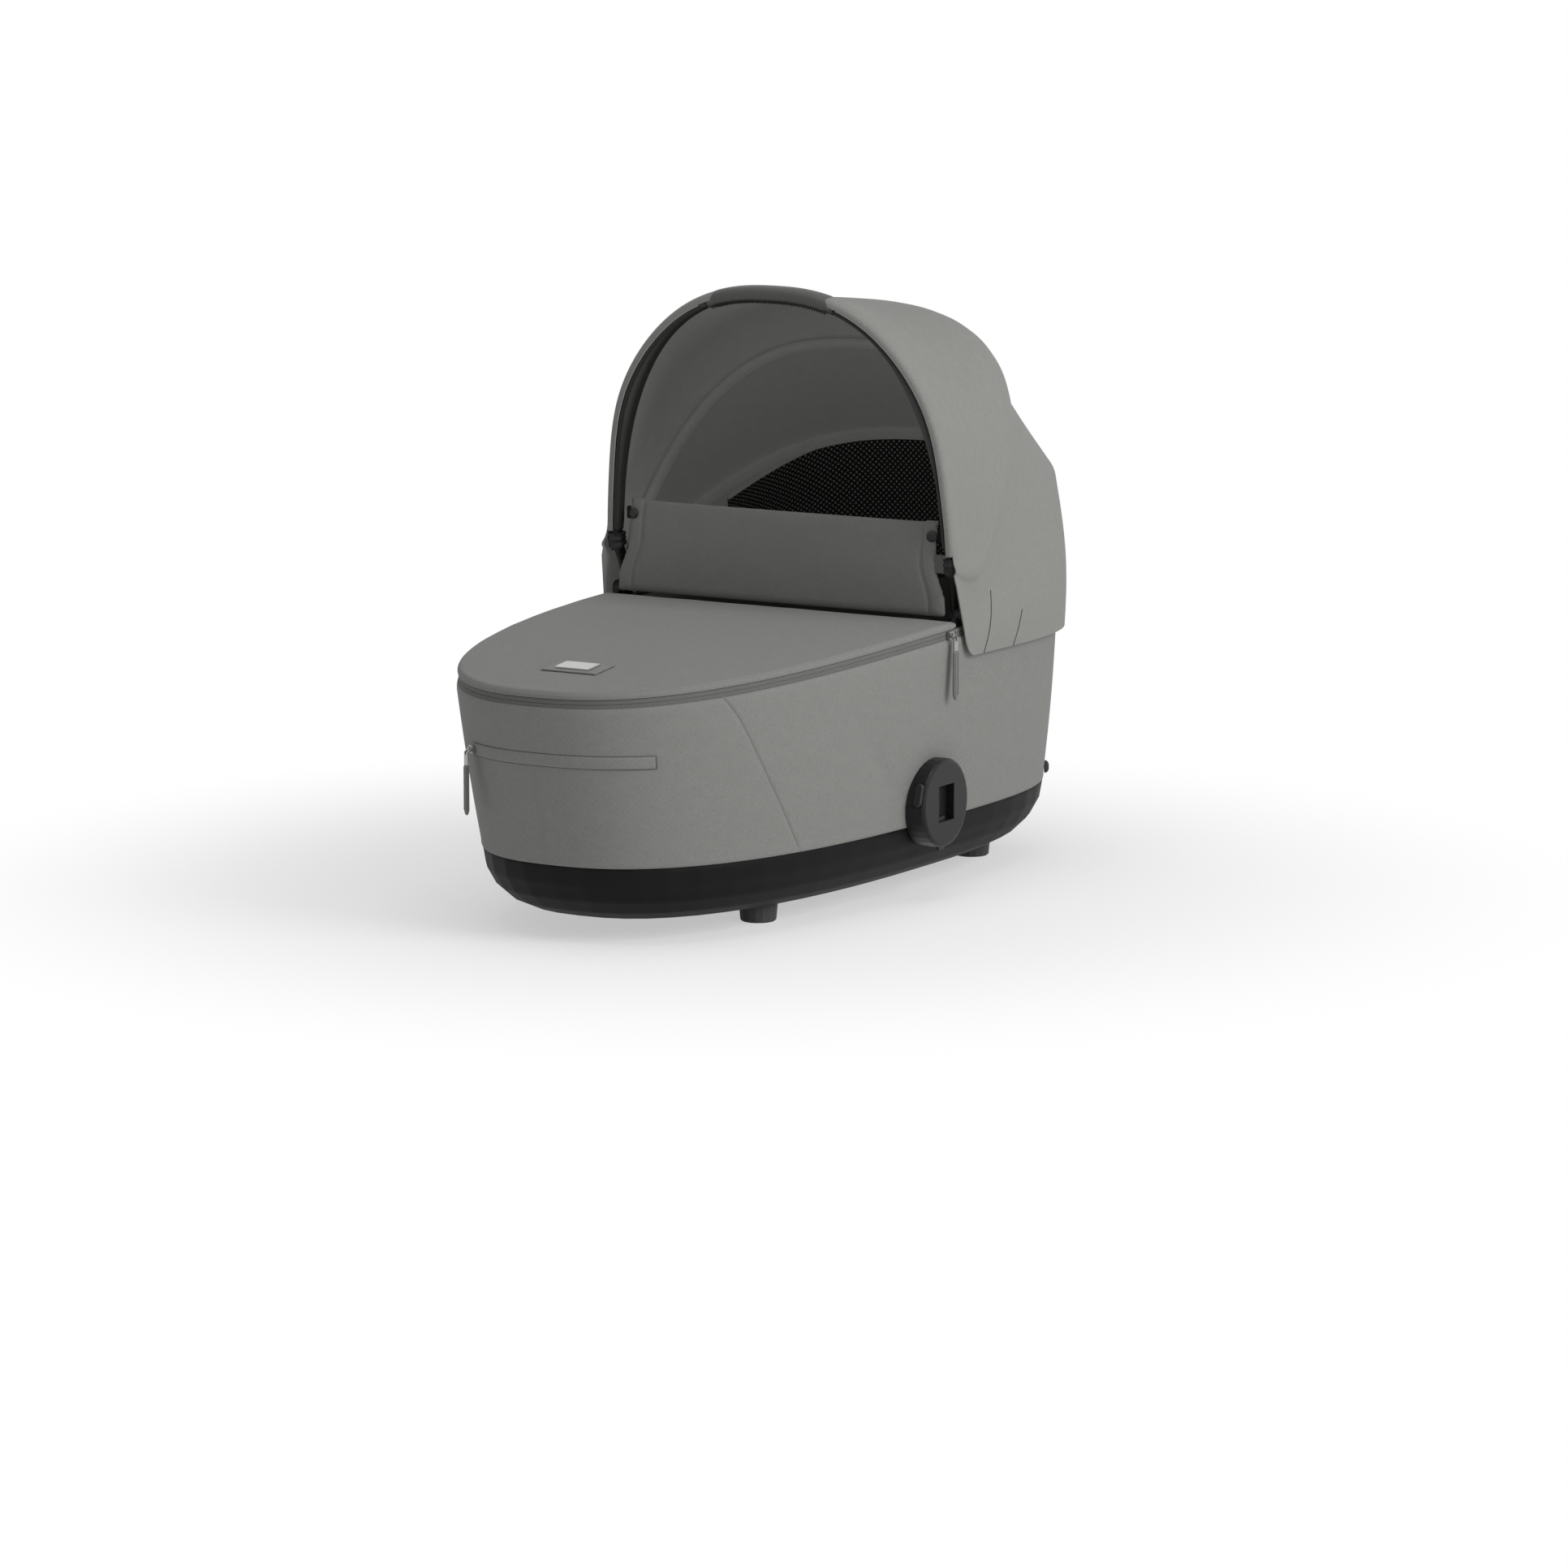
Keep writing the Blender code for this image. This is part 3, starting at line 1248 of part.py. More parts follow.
def build_front_bow(finishes):
    """Front bow with its arms, fabric sleeves, ribbed boots and padded grip."""
    hub_x = FRONT_ARM_X + FRONT_ARM_THICKNESS / 2.0
    path = bow_path(FRONT_ANGLE, FRONT_WIDTH, FRONT_REACH, FRONT_POWER, front_bow_inset(),
                    FRONT_BOW_COUNT * PATH_DENSITY, hub_x)
    axis = plane_axis(FRONT_ANGLE)
    origin = Vector((0.0, PIVOT_Y, PIVOT_Z))
    tangents = swept_frames(path)
    middle = len(path) // 2
    half_grip = nearest_index(path, middle, lambda point: abs(point.x - GRIP_HALF_WIDTH)
                              if point.z > PIVOT_Z + ARM_BLEND_HEIGHT else FRONT_REACH)
    low_end = nearest_index(path, middle, lambda point: abs(point.z - SLEEVE_END_Z))
    right = [index for index in range(0, middle + 1)
             if index % PATH_DENSITY == 0 or index < low_end]
    right = [index for index in right if index < low_end
             or min(abs(index - low_end), abs(index - half_grip)) > PATH_DENSITY // 3]
    right = sorted(right + [low_end, half_grip])
    kept = right + [2 * middle - index for index in reversed(right) if index != middle]
    sections = []
    for index in kept:
        point = path[index]
        height = (point - Vector((math.copysign(hub_x, point.x), PIVOT_Y, PIVOT_Z))).length
        share = smooth((height - HUB_RADIUS) / (ARM_BLEND_HEIGHT - HUB_RADIUS))
        radial = mix(FRONT_ARM_THICKNESS, FRONT_BOW_RADIAL, share)
        depth = mix(HUB_RADIUS * 1.5, FRONT_BOW_DEPTH, share)
        sections.append(rounded_section(radial, depth))
    bow = swept_bar("front_bow", [clear_of_hub(path, index) for index in kept],
                    [axis] * len(kept), sections, finishes["bow"], origin,
                    [tangents[index] for index in kept])
    hubs = []
    for sign in (-1.0, 1.0):
        start = Vector((sign * FRONT_ARM_X, PIVOT_Y, PIVOT_Z))
        stations = ((0.0, HUB_RADIUS), (FRONT_ARM_THICKNESS, HUB_RADIUS))
        hubs.append(rod("hub", start, Vector((sign, 0, 0)), stations, STUD_SIDES, finishes["bow"]))
    joined(bow, hubs, "UNION")
    holes = [pin_hole(sign, finishes["bow"]) for sign in (-1.0, 1.0)]
    joined(bow, holes, "DIFFERENCE", finishes["bow"])

    inner = rounded_section(FRONT_BOW_RADIAL + GAP * 2.0, FRONT_BOW_DEPTH + GAP * 2.0)
    outer = rounded_section(FRONT_BOW_RADIAL + (SLEEVE_THICKNESS + GAP) * 2.0,
                            FRONT_BOW_DEPTH + (SLEEVE_THICKNESS + GAP) * 2.0)
    grip_outer = rounded_section(FRONT_BOW_RADIAL + (GRIP_THICKNESS + GAP) * 2.0,
                                 FRONT_BOW_DEPTH + (GRIP_THICKNESS + GAP) * 2.0, 0.36)

    def sleeve(name, first, last, wrap, finish, trim_ends):
        indices = [index for index in kept if first <= index <= last]
        line = [path[index].copy() for index in indices]
        line[0] += tangents[first] * trim_ends[0]
        line[-1] -= tangents[last] * trim_ends[1]
        return swept_tube(name, line, [axis] * len(line), [wrap] * len(line), [inner] * len(line),
                          finish, origin, [tangents[index] for index in indices])

    sleeve("bow_sleeve_right", low_end, half_grip, outer, finishes["hood_fabric"], (0.0, GAP))
    sleeve("bow_sleeve_left", 2 * middle - half_grip, 2 * middle - low_end, outer,
           finishes["hood_fabric"], (GAP, 0.0))
    sleeve("handle_grip", half_grip, 2 * middle - half_grip, grip_outer, finishes["grip"],
           (GAP, GAP))
    for name, sign in (("bow_boot_right", 1.0), ("bow_boot_left", -1.0)):
        build_boot(name, sign, path, low_end, axis, finishes["boot"], origin)


def build_boot(name, sign, path, top_index, axis, finish, origin):
    """A short ribbed boot under the lower end of a fabric sleeve."""
    below = list(reversed(path[:top_index + 1]))
    dense = spaced(below, DENSE_STEPS)
    step_length = (dense[1] - dense[0]).length
    line = []
    wraps = []
    cores = []
    ribs = 5
    for step in range(ribs + 1):
        reach = GAP + BOOT_LENGTH * step / ribs
        place = dense[round(reach / step_length)]
        line.append(Vector((place.x * sign, place.y, place.z)))
        extra = BOOT_RIB if step % 2 == 0 else 0.0
        wraps.append(rounded_section(FRONT_BOW_RADIAL + (BOOT_THICKNESS + extra) * 2.0,
                                     FRONT_BOW_DEPTH + (BOOT_THICKNESS + extra) * 2.0))
        cores.append(rounded_section(FRONT_BOW_RADIAL + CLOSE_GAP * 2.0,
                                     FRONT_BOW_DEPTH + CLOSE_GAP * 2.0))
    swept_tube(name, line, [axis] * len(line), wraps, cores, finish, origin)


def pin_hole(sign, finish):
    start = Vector((sign * (FRONT_ARM_X - FRONT_ARM_THICKNESS), PIVOT_Y, PIVOT_Z))
    length = BRACKET_THICKNESS + FRONT_ARM_THICKNESS * 4.0
    stations = ((0.0, PIN_RADIUS + GAP), (length, PIN_RADIUS + GAP))
    return rod("pin_hole", start, Vector((sign, 0, 0)), stations, STUD_SIDES, finish)


def build_mid_bow(finishes):
    """Middle bow that carries the crease of the hood."""
    hub_x = BRACKET_X + BRACKET_THICKNESS + GAP + MID_ARM_THICKNESS / 2.0
    inset = CLOTH_THICKNESS + BOW_CLEARANCE + MID_BOW_RADIAL / 2.0
    path = bow_path(MID_ANGLE, MID_WIDTH, MID_REACH, MID_POWER, inset,
                    MID_BOW_COUNT * PATH_DENSITY, hub_x)
    axis = plane_axis(MID_ANGLE)
    origin = Vector((0.0, PIVOT_Y, PIVOT_Z))
    bar_path = []
    sections = []
    for index, point in enumerate(path):
        height = (point - Vector((math.copysign(hub_x, point.x), PIVOT_Y, PIVOT_Z))).length
        share = smooth((height - HUB_RADIUS) / (ARM_BLEND_HEIGHT - HUB_RADIUS))
        radial = mix(MID_ARM_THICKNESS, MID_BOW_RADIAL, share)
        if index % PATH_DENSITY == 0 or height < ARM_BLEND_HEIGHT and index % 2 == 0:
            bar_path.append(clear_of_hub(path, index))
            sections.append(rounded_section(radial, MID_BOW_DEPTH))
    bow = swept_bar("mid_bow", bar_path, [axis] * len(bar_path), sections, finishes["bow"], origin)
    hubs = []
    for sign in (-1.0, 1.0):
        start = Vector((sign * (hub_x - MID_ARM_THICKNESS / 2.0), PIVOT_Y, PIVOT_Z))
        stations = ((0.0, HUB_RADIUS), (MID_ARM_THICKNESS, HUB_RADIUS))
        hubs.append(rod("hub", start, Vector((sign, 0, 0)), stations, STUD_SIDES, finishes["bow"]))
    joined(bow, hubs, "UNION")
    holes = [pin_hole(sign, finishes["bow"]) for sign in (-1.0, 1.0)]
    joined(bow, holes, "DIFFERENCE", finishes["bow"])


def build_rear_bow(finishes):
    """Fixed rear bow whose ends stand on the rim frame."""
    inset = CLOTH_THICKNESS + BOW_CLEARANCE + MID_BOW_RADIAL / 2.0
    arch = arch_points(REAR_ANGLE, REAR_WIDTH - inset, REAR_REACH - inset, REAR_POWER)
    frame_x = TOP_HALF_WIDTH - FRAME_INSET - FRAME_WIDTH / 2.0
    base_z = rim_height(REAR_BOW_FOOT_Y) + FRAME_TOP_LIFT + GAP
    foot = Vector((frame_x, REAR_BOW_FOOT_Y, base_z))
    half = len(arch) // 2
    right = [point for point in arch[:half] if (point - foot).length > REAR_BOW_BLEND
             and point.y > REAR_BOW_FOOT_Y]
    heading = (right[12] - right[0]).normalized()
    bend = right[0] - heading * ((right[0] - foot).length * 0.45)
    bend = bend.lerp(foot, 0.35)
    start = []
    for step in range(12):
        share = step / 12.0
        start.append(foot.lerp(bend, share).lerp(bend.lerp(right[0], share), share))
    top = Vector((0.0, arch[half].y, arch[half].z))
    half_line = spaced(start + right + [top], MID_BOW_COUNT // 2)
    path = half_line + mirrored(half_line[-2::-1])
    axis = plane_axis(REAR_ANGLE)
    sections = [rounded_section(MID_BOW_RADIAL, MID_BOW_DEPTH)] * len(path)
    bow = swept_bar("rear_bow", path, [axis] * len(path), sections, finishes["bow"])
    pads = []
    for sign in (-1.0, 1.0):
        low = (sign * foot.x - FRAME_WIDTH / 2.0, foot.y - MID_BOW_DEPTH, base_z)
        high = (sign * foot.x + FRAME_WIDTH / 2.0, foot.y + MID_BOW_DEPTH,
                base_z + MID_BOW_DEPTH / 2.0)
        pads.append(block("pad", low, high, finishes["bow"]))
    joined(bow, pads, "UNION")
    cutters = []
    for sign in (-1.0, 1.0):
        low = (sign * foot.x - MID_BOW_DEPTH, foot.y - MID_BOW_DEPTH * 2.0, base_z - MID_BOW_DEPTH)
        high = (sign * foot.x + MID_BOW_DEPTH, foot.y + MID_BOW_DEPTH * 2.0, base_z)
        cutters.append(block("trim", low, high, finishes["bow"]))
    joined(bow, cutters, "DIFFERENCE", finishes["bow"])


def build_hinges(finishes):
    """Brackets on the rim frame and the pins that carry the bows."""
    for name, sign in (("hinge_bracket_right", 1.0), ("hinge_bracket_left", -1.0)):
        base_z = rim_height(PIVOT_Y) + FRAME_TOP_LIFT + GAP
        half = BRACKET_FOOT_LENGTH / 2.0
        near = BRACKET_X
        far = BRACKET_X + BRACKET_THICKNESS
        outline = [(-half, base_z), (half, base_z), (half, base_z + BRACKET_FOOT_HEIGHT)]
        turns = 9
        for step in range(turns):
            angle = math.pi * step / (turns - 1)
            outline.append((HUB_RADIUS * math.cos(angle), PIVOT_Z + HUB_RADIUS * math.sin(angle)))
        outline.append((-half, base_z + BRACKET_FOOT_HEIGHT))
        loops = []
        for x in (near, far):
            loops.append([Vector((sign * x, PIVOT_Y + y, z)) for y, z in outline])
        bracket = capped_body(name, loops, finishes["bow"])
        joined(bracket, [pin_hole(sign, finishes["bow"])], "DIFFERENCE", finishes["bow"])
    for name, sign in (("hinge_pin_right", 1.0), ("hinge_pin_left", -1.0)):
        inner = FRONT_ARM_X - GAP - PIN_INNER_THICKNESS
        outer = BRACKET_X + BRACKET_THICKNESS + GAP + MID_ARM_THICKNESS + GAP
        start = Vector((sign * inner, PIVOT_Y, PIVOT_Z))
        stations = ((0.0, PIN_RADIUS * 1.5), (PIN_INNER_THICKNESS, PIN_RADIUS * 1.5),
                    (PIN_INNER_THICKNESS, PIN_RADIUS), (outer - inner, PIN_RADIUS),
                    (outer - inner, PIN_CAP_RADIUS),
                    (outer - inner + PIN_CAP_THICKNESS * 0.5, PIN_CAP_RADIUS),
                    (outer - inner + PIN_CAP_THICKNESS, PIN_CAP_RADIUS * 0.75))
        rod(name, start, Vector((sign, 0, 0)), stations, STUD_SIDES, finishes["bow"])


def flap_half_width(share):
    """Half width of the wind flap; share is 0 at its hinge and 1 at its top."""
    narrow = smooth((share - FLAP_WIDE_SHARE) / (FLAP_NARROW_SHARE - FLAP_WIDE_SHARE))
    return mix(FLAP_HALF_WIDTH, FLAP_TOP_HALF_WIDTH, narrow)


def build_flap(finishes):
    """The wind flap with its two snaps, hinged along its lower edge."""
    origin = Vector((0.0, FLAP_Y, FLAP_BOTTOM_Z))
    grid = []
    for row in range(FLAP_ROWS + 1):
        share = row / FLAP_ROWS
        line = []
        for column in range(FLAP_COLUMNS + 1):
            across = 2.0 * column / FLAP_COLUMNS - 1.0
            x = across * flap_half_width(share)
            y = FLAP_Y + FLAP_LEAN * share - FLAP_BOW * math.sin(math.pi * share)
            top = FLAP_TOP_Z - FLAP_BOTTOM_SAG * (1.0 - across * across)
            line.append(Vector((x, y, mix(FLAP_BOTTOM_Z, top, share))))
        grid.append(line)
    thick_sheet("wind_flap", grid, -FLAP_THICKNESS, finishes["flap_fabric"], origin)
    share = (SNAP_Z - FLAP_BOTTOM_Z) / (FLAP_TOP_Z - FLAP_BOTTOM_Z)
    surface_y = FLAP_Y + FLAP_LEAN * share - FLAP_BOW * math.sin(math.pi * share)
    for side, sign in (("right", 1.0), ("left", -1.0)):
        start = Vector((sign * SNAP_X, surface_y - CLOSE_GAP - GAP, SNAP_Z))
        stations = ((0.0, SNAP_RADIUS), (SNAP_HEIGHT * 0.5, SNAP_RADIUS),
                    (SNAP_HEIGHT, SNAP_RADIUS * 0.6))
        rod(f"flap_snap_{side}", start, Vector((0, -1, 0)), stations, STUD_SIDES,
            finishes["snap"], origin)


def build_straps(finishes):
    """Short straps on the front bow that the flap's snaps close onto."""
    share = (SNAP_Z - FLAP_BOTTOM_Z) / (FLAP_TOP_Z - FLAP_BOTTOM_Z)
    surface_y = FLAP_Y + FLAP_LEAN * share - FLAP_BOW * math.sin(math.pi * share)
    near_y = surface_y + FLAP_THICKNESS + CLOSE_GAP + CLOSE_GAP + CLOSE_GAP
    inner_x = SNAP_X - STRAP_WIDTH / 2.0
    arch = arch_points(FRONT_ANGLE, FRONT_WIDTH, FRONT_REACH, FRONT_POWER)
    bow_x = min(arch[:ARCH_STEPS // 2], key=lambda point: abs(point.z - SNAP_Z)).x
    outer_x = bow_x - front_bow_inset() - FRONT_BOW_RADIAL / 2.0 - SLEEVE_THICKNESS - GAP * 4.0
    origin = Vector((0.0, PIVOT_Y, PIVOT_Z))
    for side, sign in (("right", 1.0), ("left", -1.0)):
        low = (min(sign * inner_x, sign * outer_x), near_y, SNAP_Z - STRAP_WIDTH / 2.0)
        high = (max(sign * inner_x, sign * outer_x), near_y + STRAP_THICKNESS,
                SNAP_Z + STRAP_WIDTH / 2.0)
        block(f"snap_strap_{side}", low, high, finishes["strap"], origin)


def build_mesh_window(finishes):
    """The black ventilation mesh inside the head end of the hood."""
    pairs = [pair for pair in zip(rear_row(CLOTH_COLUMNS), hem_row(CLOTH_COLUMNS))
             if abs(pair[1].x) < MESH_HALF_WIDTH and pair[1].y > WIDEST_Y]
    grid = []
    for step in range(MESH_ROWS + 1):
        line = []
        for start, end in pairs:
            corner = (abs(end.x) / MESH_HALF_WIDTH) ** 4
            top = mix(MESH_TOP_SHARE, MESH_SIDE_SHARE, corner)
            line.append(skirt_point(start, end, mix(top, MESH_LOW_SHARE, step / MESH_ROWS)))
        grid.append(line)
    inset = CLOTH_THICKNESS + MESH_BACKSET
    inside = []
    for line, directions in zip(grid, sheet_normals(grid)):
        inside.append([point - direction * inset for point, direction in zip(line, directions)])
    thick_sheet("mesh_window", inside, MESH_THICKNESS, finishes["mesh"])


def build_adapters(finishes):
    """Round chassis adapters, each with a release button and a latch bar."""
    for side, sign in (("right", 1.0), ("left", -1.0)):
        centre_y = ADAPTER_Y
        centre_z = ADAPTER_Z

        def ring(radius, x=None):
            loop = []
            for step in range(ADAPTER_SIDES):
                angle = 2.0 * math.pi * step / ADAPTER_SIDES
                y = centre_y + radius * math.cos(angle)
                z = centre_z + radius * math.sin(angle)
                place = side_x(y, z) + CLOSE_GAP if x is None else x
                loop.append(Vector((sign * place, y, z)))
            return loop

        loops = [ring(ADAPTER_RADIUS * share) for share in reversed(ADAPTER_RING_SHARES)]
        loops.append(ring(ADAPTER_RADIUS))
        loops.append(ring(ADAPTER_RADIUS, ADAPTER_FACE_X - ADAPTER_EDGE))
        loops.append(ring(ADAPTER_RADIUS - ADAPTER_EDGE * 0.3, ADAPTER_FACE_X - ADAPTER_EDGE * 0.3))
        loops.append(ring(ADAPTER_RADIUS - ADAPTER_EDGE, ADAPTER_FACE_X))
        face = Vector((sign * ADAPTER_FACE_X, centre_y, centre_z))
        back = Vector((sign * (side_x(centre_y, centre_z) + CLOSE_GAP), centre_y, centre_z))
        housing = domed_body(f"adapter_{side}", loops, back, face, finishes["adapter"])
        cuts = [adapter_socket(sign, finishes), button_body("cut", sign, True, finishes),
                latch_body("cut", sign, True, finishes)]
        for start, axis in side_screw_places():
            if start.x * sign > 0.0:
                stations = ((0.0, SCREW_HOLE_RADIUS),
                            (SCREW_HEAD_HEIGHT + SIDE_SCREW_LENGTH + SCREW_RADIUS,
                             SCREW_HOLE_RADIUS))
                cuts.append(rod("cut", start, axis, stations, SCREW_SIDES, finishes["adapter"]))
        joined(housing, cuts, "DIFFERENCE", finishes["adapter"])
        button_body(f"release_button_{side}", sign, False, finishes)
        latch_body(f"latch_bar_{side}", sign, False, finishes)
    names = ("left_front", "left_back", "right_front", "right_back")
    for name, (start, axis) in zip(names, side_screw_places()):
        build_screw(f"adapter_screw_{name}", start, axis, SIDE_SCREW_LENGTH, finishes["screw"])


def adapter_socket(sign, finishes):
    """Cutter for the pocket that takes the chassis tongue."""
    half = SOCKET_WIDTH / 2.0
    near = ADAPTER_FACE_X - SOCKET_DEPTH
    far = ADAPTER_FACE_X + SOCKET_DEPTH
    low = (min(sign * near, sign * far), ADAPTER_Y - half, ADAPTER_Z - SOCKET_HEIGHT / 2.0)
    high = (max(sign * near, sign * far), ADAPTER_Y + half, ADAPTER_Z + SOCKET_HEIGHT / 2.0)
    return block("cut", low, high, finishes["adapter"])


def button_axis():
    """Direction in which a release button is pressed."""
    turn = math.radians(BUTTON_TURN)
    return Vector((0.0, math.cos(turn), -math.sin(turn)))


def button_body(name, sign, is_cutter, finishes):
    """An upright oval button in the front edge of an adapter, or the cutter for its bore."""
    axis = button_axis()
    up = Vector((0.0, math.sin(math.radians(BUTTON_TURN)), math.cos(math.radians(BUTTON_TURN))))
    side = Vector((sign, 0.0, 0.0))
    extra = SLIDE_GAP if is_cutter else 0.0
    x = ADAPTER_FACE_X - SOCKET_DEPTH * 0.85
    centre = Vector((sign * x, ADAPTER_Y, ADAPTER_Z))
    start_reach = ADAPTER_RADIUS + (BUTTON_LENGTH if is_cutter else BUTTON_PROUD)
    depth = BUTTON_LENGTH + (BUTTON_TRAVEL + GAP if is_cutter else 0.0)
    end_reach = ADAPTER_RADIUS + BUTTON_PROUD - depth
    radius = BUTTON_WIDTH / 2.0 + extra
    straight = (BUTTON_HEIGHT - BUTTON_WIDTH) / 2.0

    def oval(reach, shrink):
        loop = []
        for step in range(BUTTON_SIDES * 2):
            angle = math.pi * (step + 0.5) / BUTTON_SIDES - math.pi / 2.0
            along = math.cos(angle) * (radius - shrink)
            rise = math.sin(angle) * (radius - shrink)
            shift = straight if step < BUTTON_SIDES else -straight
            loop.append(centre - axis * reach + side * rise + up * (along + shift))
        return loop

    crown = 0.0 if is_cutter else BUTTON_PROUD
    loops = [oval(end_reach, 0.0), oval(start_reach - crown, 0.0)]
    if not is_cutter:
        loops.append(oval(start_reach, BUTTON_PROUD * 0.6))
    return capped_body(name, loops, finishes["button"])


def latch_body(name, sign, is_cutter, finishes):
    """A latch bar that slides down out of the socket, or the cutter for its channel."""
    extra = SLIDE_GAP if is_cutter else 0.0
    near = ADAPTER_FACE_X - LATCH_FACE_SETBACK - LATCH_THICKNESS - extra
    far = ADAPTER_FACE_X - LATCH_FACE_SETBACK + extra
    near = max(near, ADAPTER_FACE_X - SOCKET_DEPTH)
    half = LATCH_WIDTH / 2.0 + extra
    top_z = ADAPTER_Z - SOCKET_HEIGHT / 2.0 + (0.0 if is_cutter else LATCH_BITE)
    low_z = ADAPTER_Z - ADAPTER_RADIUS - (ADAPTER_EDGE if is_cutter else LATCH_PROUD)
    if is_cutter:
        top_z += LATCH_BITE
        low_z -= LATCH_TRAVEL
    low = (min(sign * near, sign * far), ADAPTER_Y - half, low_z)
    high = (max(sign * near, sign * far), ADAPTER_Y + half, top_z)
    return block(name, low, high, finishes["latch"])


def build_pull(name, anchor, outward, finishes):
    """A zip slider with a metal pull and a cloth-backed tab hanging from it."""
    up = Vector((0.0, 0.0, 1.0))
    outward = Vector((outward.x, outward.y, 0.0)).normalized()
    side = up.cross(outward).normalized()

    def local_block(node, out_range, side_half, up_range, finish, origin=None, tip=0.0):
        loops = []
        for height in up_range:
            half = side_half
            if tip and height == up_range[0]:
                half = side_half * 0.25
            loop = []
            for out, across in ((0, -1), (1, -1), (1, 1), (0, 1)):
                loop.append(anchor + outward * out_range[out] + side * (across * half)
                            + up * height)
            loops.append(loop)
        if tip:
            middle = []
            for out, across in ((0, -1), (1, -1), (1, 1), (0, 1)):
                middle.append(anchor + outward * out_range[out] + side * (across * side_half)
                              + up * (up_range[0] + tip))
            loops.insert(1, middle)
        return capped_body(node, loops, finish, origin)

    half_length = SLIDER_LENGTH / 2.0
    body = local_block(f"{name}_slider", (0.0, SLIDER_HEIGHT), SLIDER_WIDTH / 2.0,
                       (-half_length, half_length), finishes["metal"])
    bridge = local_block("bridge", (SLIDER_HEIGHT - GAP, SLIDER_HEIGHT + BRIDGE_HEIGHT),
                         BRIDGE_WIDTH / 2.0, (-half_length * 0.7, half_length * 0.7),
                         finishes["metal"])
    joined(body, [bridge], "UNION")
    slot_out = (SLIDER_HEIGHT, SLIDER_HEIGHT + BRIDGE_HEIGHT * 0.55)
    slot = local_block("slot", slot_out, SLIDER_WIDTH, (-half_length * 0.45, half_length * 0.45),
                       finishes["metal"])
    joined(body, [slot], "DIFFERENCE", finishes["metal"])

    bar_out = mix(slot_out[0], slot_out[1], 0.5)
    ring = BRIDGE_HEIGHT * 0.55 / 2.0 - GAP
    pivot = anchor + outward * bar_out
    bar = rod(f"{name}_pull", pivot - side * (PULL_WIDTH / 2.0), side,
              ((0.0, ring), (PULL_WIDTH, ring)), 10, finishes["metal"], pivot)
    arms = []
    plate_out = (SLIDER_HEIGHT + BRIDGE_HEIGHT + PULL_CLEARANCE,
                 SLIDER_HEIGHT + BRIDGE_HEIGHT + PULL_CLEARANCE + PULL_THICKNESS)
    inner_half = BRIDGE_WIDTH / 2.0 + GAP * 2.0
    for across in (-1.0, 1.0):
        loops = []
        near = side * (across * inner_half)
        far = side * (across * PULL_WIDTH / 2.0)
        profile = ((bar_out - ring, ring), (bar_out - ring, -ring),
                   (plate_out[0], -half_length), (plate_out[0], -half_length - PULL_RING),
                   (plate_out[1], -half_length - PULL_RING), (plate_out[1], -half_length + PULL_RING),
                   (bar_out + ring, ring))
        for shift in (near, far):
            loops.append([anchor + shift + outward * out + up * rise for out, rise in profile])
        arms.append(capped_body("arm", loops, finishes["metal"]))
    plate = local_block("plate", plate_out, PULL_WIDTH / 2.0,
                        (-PULL_LENGTH, -half_length - PULL_RING + GAP), finishes["metal"])
    joined(bar, arms + [plate], "UNION", finishes["metal"])
    tab_top = -PULL_LENGTH - GAP
    tab_out = (plate_out[0] - (TAB_THICKNESS - PULL_THICKNESS) / 2.0,
               plate_out[1] + (TAB_THICKNESS - PULL_THICKNESS) / 2.0)
    tab = local_block(f"{name}_tab", tab_out, TAB_WIDTH / 2.0, (tab_top - TAB_LENGTH, tab_top),
                      finishes["tab"], pivot, TAB_TIP)
    return tab


def rim_slider_anchor():
    """Where the rim slider sits, and the way out of the wall there."""
    ring = rim_ring(ZIP_INSET - ZIP_COIL, -ZIP_BOTTOM_DROP / 2.0)
    half = len(ring) // 2
    for first, second in zip(ring[:half], ring[1:half + 1]):
        if second.y >= RIM_SLIDER_Y:
            share = (RIM_SLIDER_Y - first.y) / (second.y - first.y)
            place = first.lerp(second, share)
            along = (second - first).normalized()
            outward = Vector((along.y, -along.x, 0.0)).normalized()
            return place + outward * CLOSE_GAP, outward
    return ring[half], Vector((0.0, 1.0, 0.0))


def welt_ring(height, inset):
    """Points round the body at a given height, from the middle of the foot end."""
    foot_top = rim_height(TOP_FOOT_Y) - COVER_TOP_DROP
    level = (height - BAND_Z) / (foot_top - BAND_Z)
    return [Vector((point.x, point.y, height)) for point in side_ring(level, inset)]


def welt_cut(reach):
    """The step of the pocket's middle line, and the share of it, that ends at a reach."""
    ring = welt_ring(WELT_Z, 0.0)
    left_over = reach
    index = 0
    while left_over > (ring[index + 1] - ring[index]).length:
        left_over -= (ring[index + 1] - ring[index]).length
        index += 1
    return index, left_over / (ring[index + 1] - ring[index]).length


def welt_line(height, inset):
    """Line round the foot end from the left end of the pocket to its right end."""
    ring = welt_ring(height, inset)
    halves = []
    for reach in (WELT_LEFT_REACH, WELT_RIGHT_REACH):
        index, share = welt_cut(reach)
        halves.append(ring[:index + 1] + [ring[index].lerp(ring[index + 1], share)])
    left, right = halves
    return mirrored(left[:0:-1]) + right


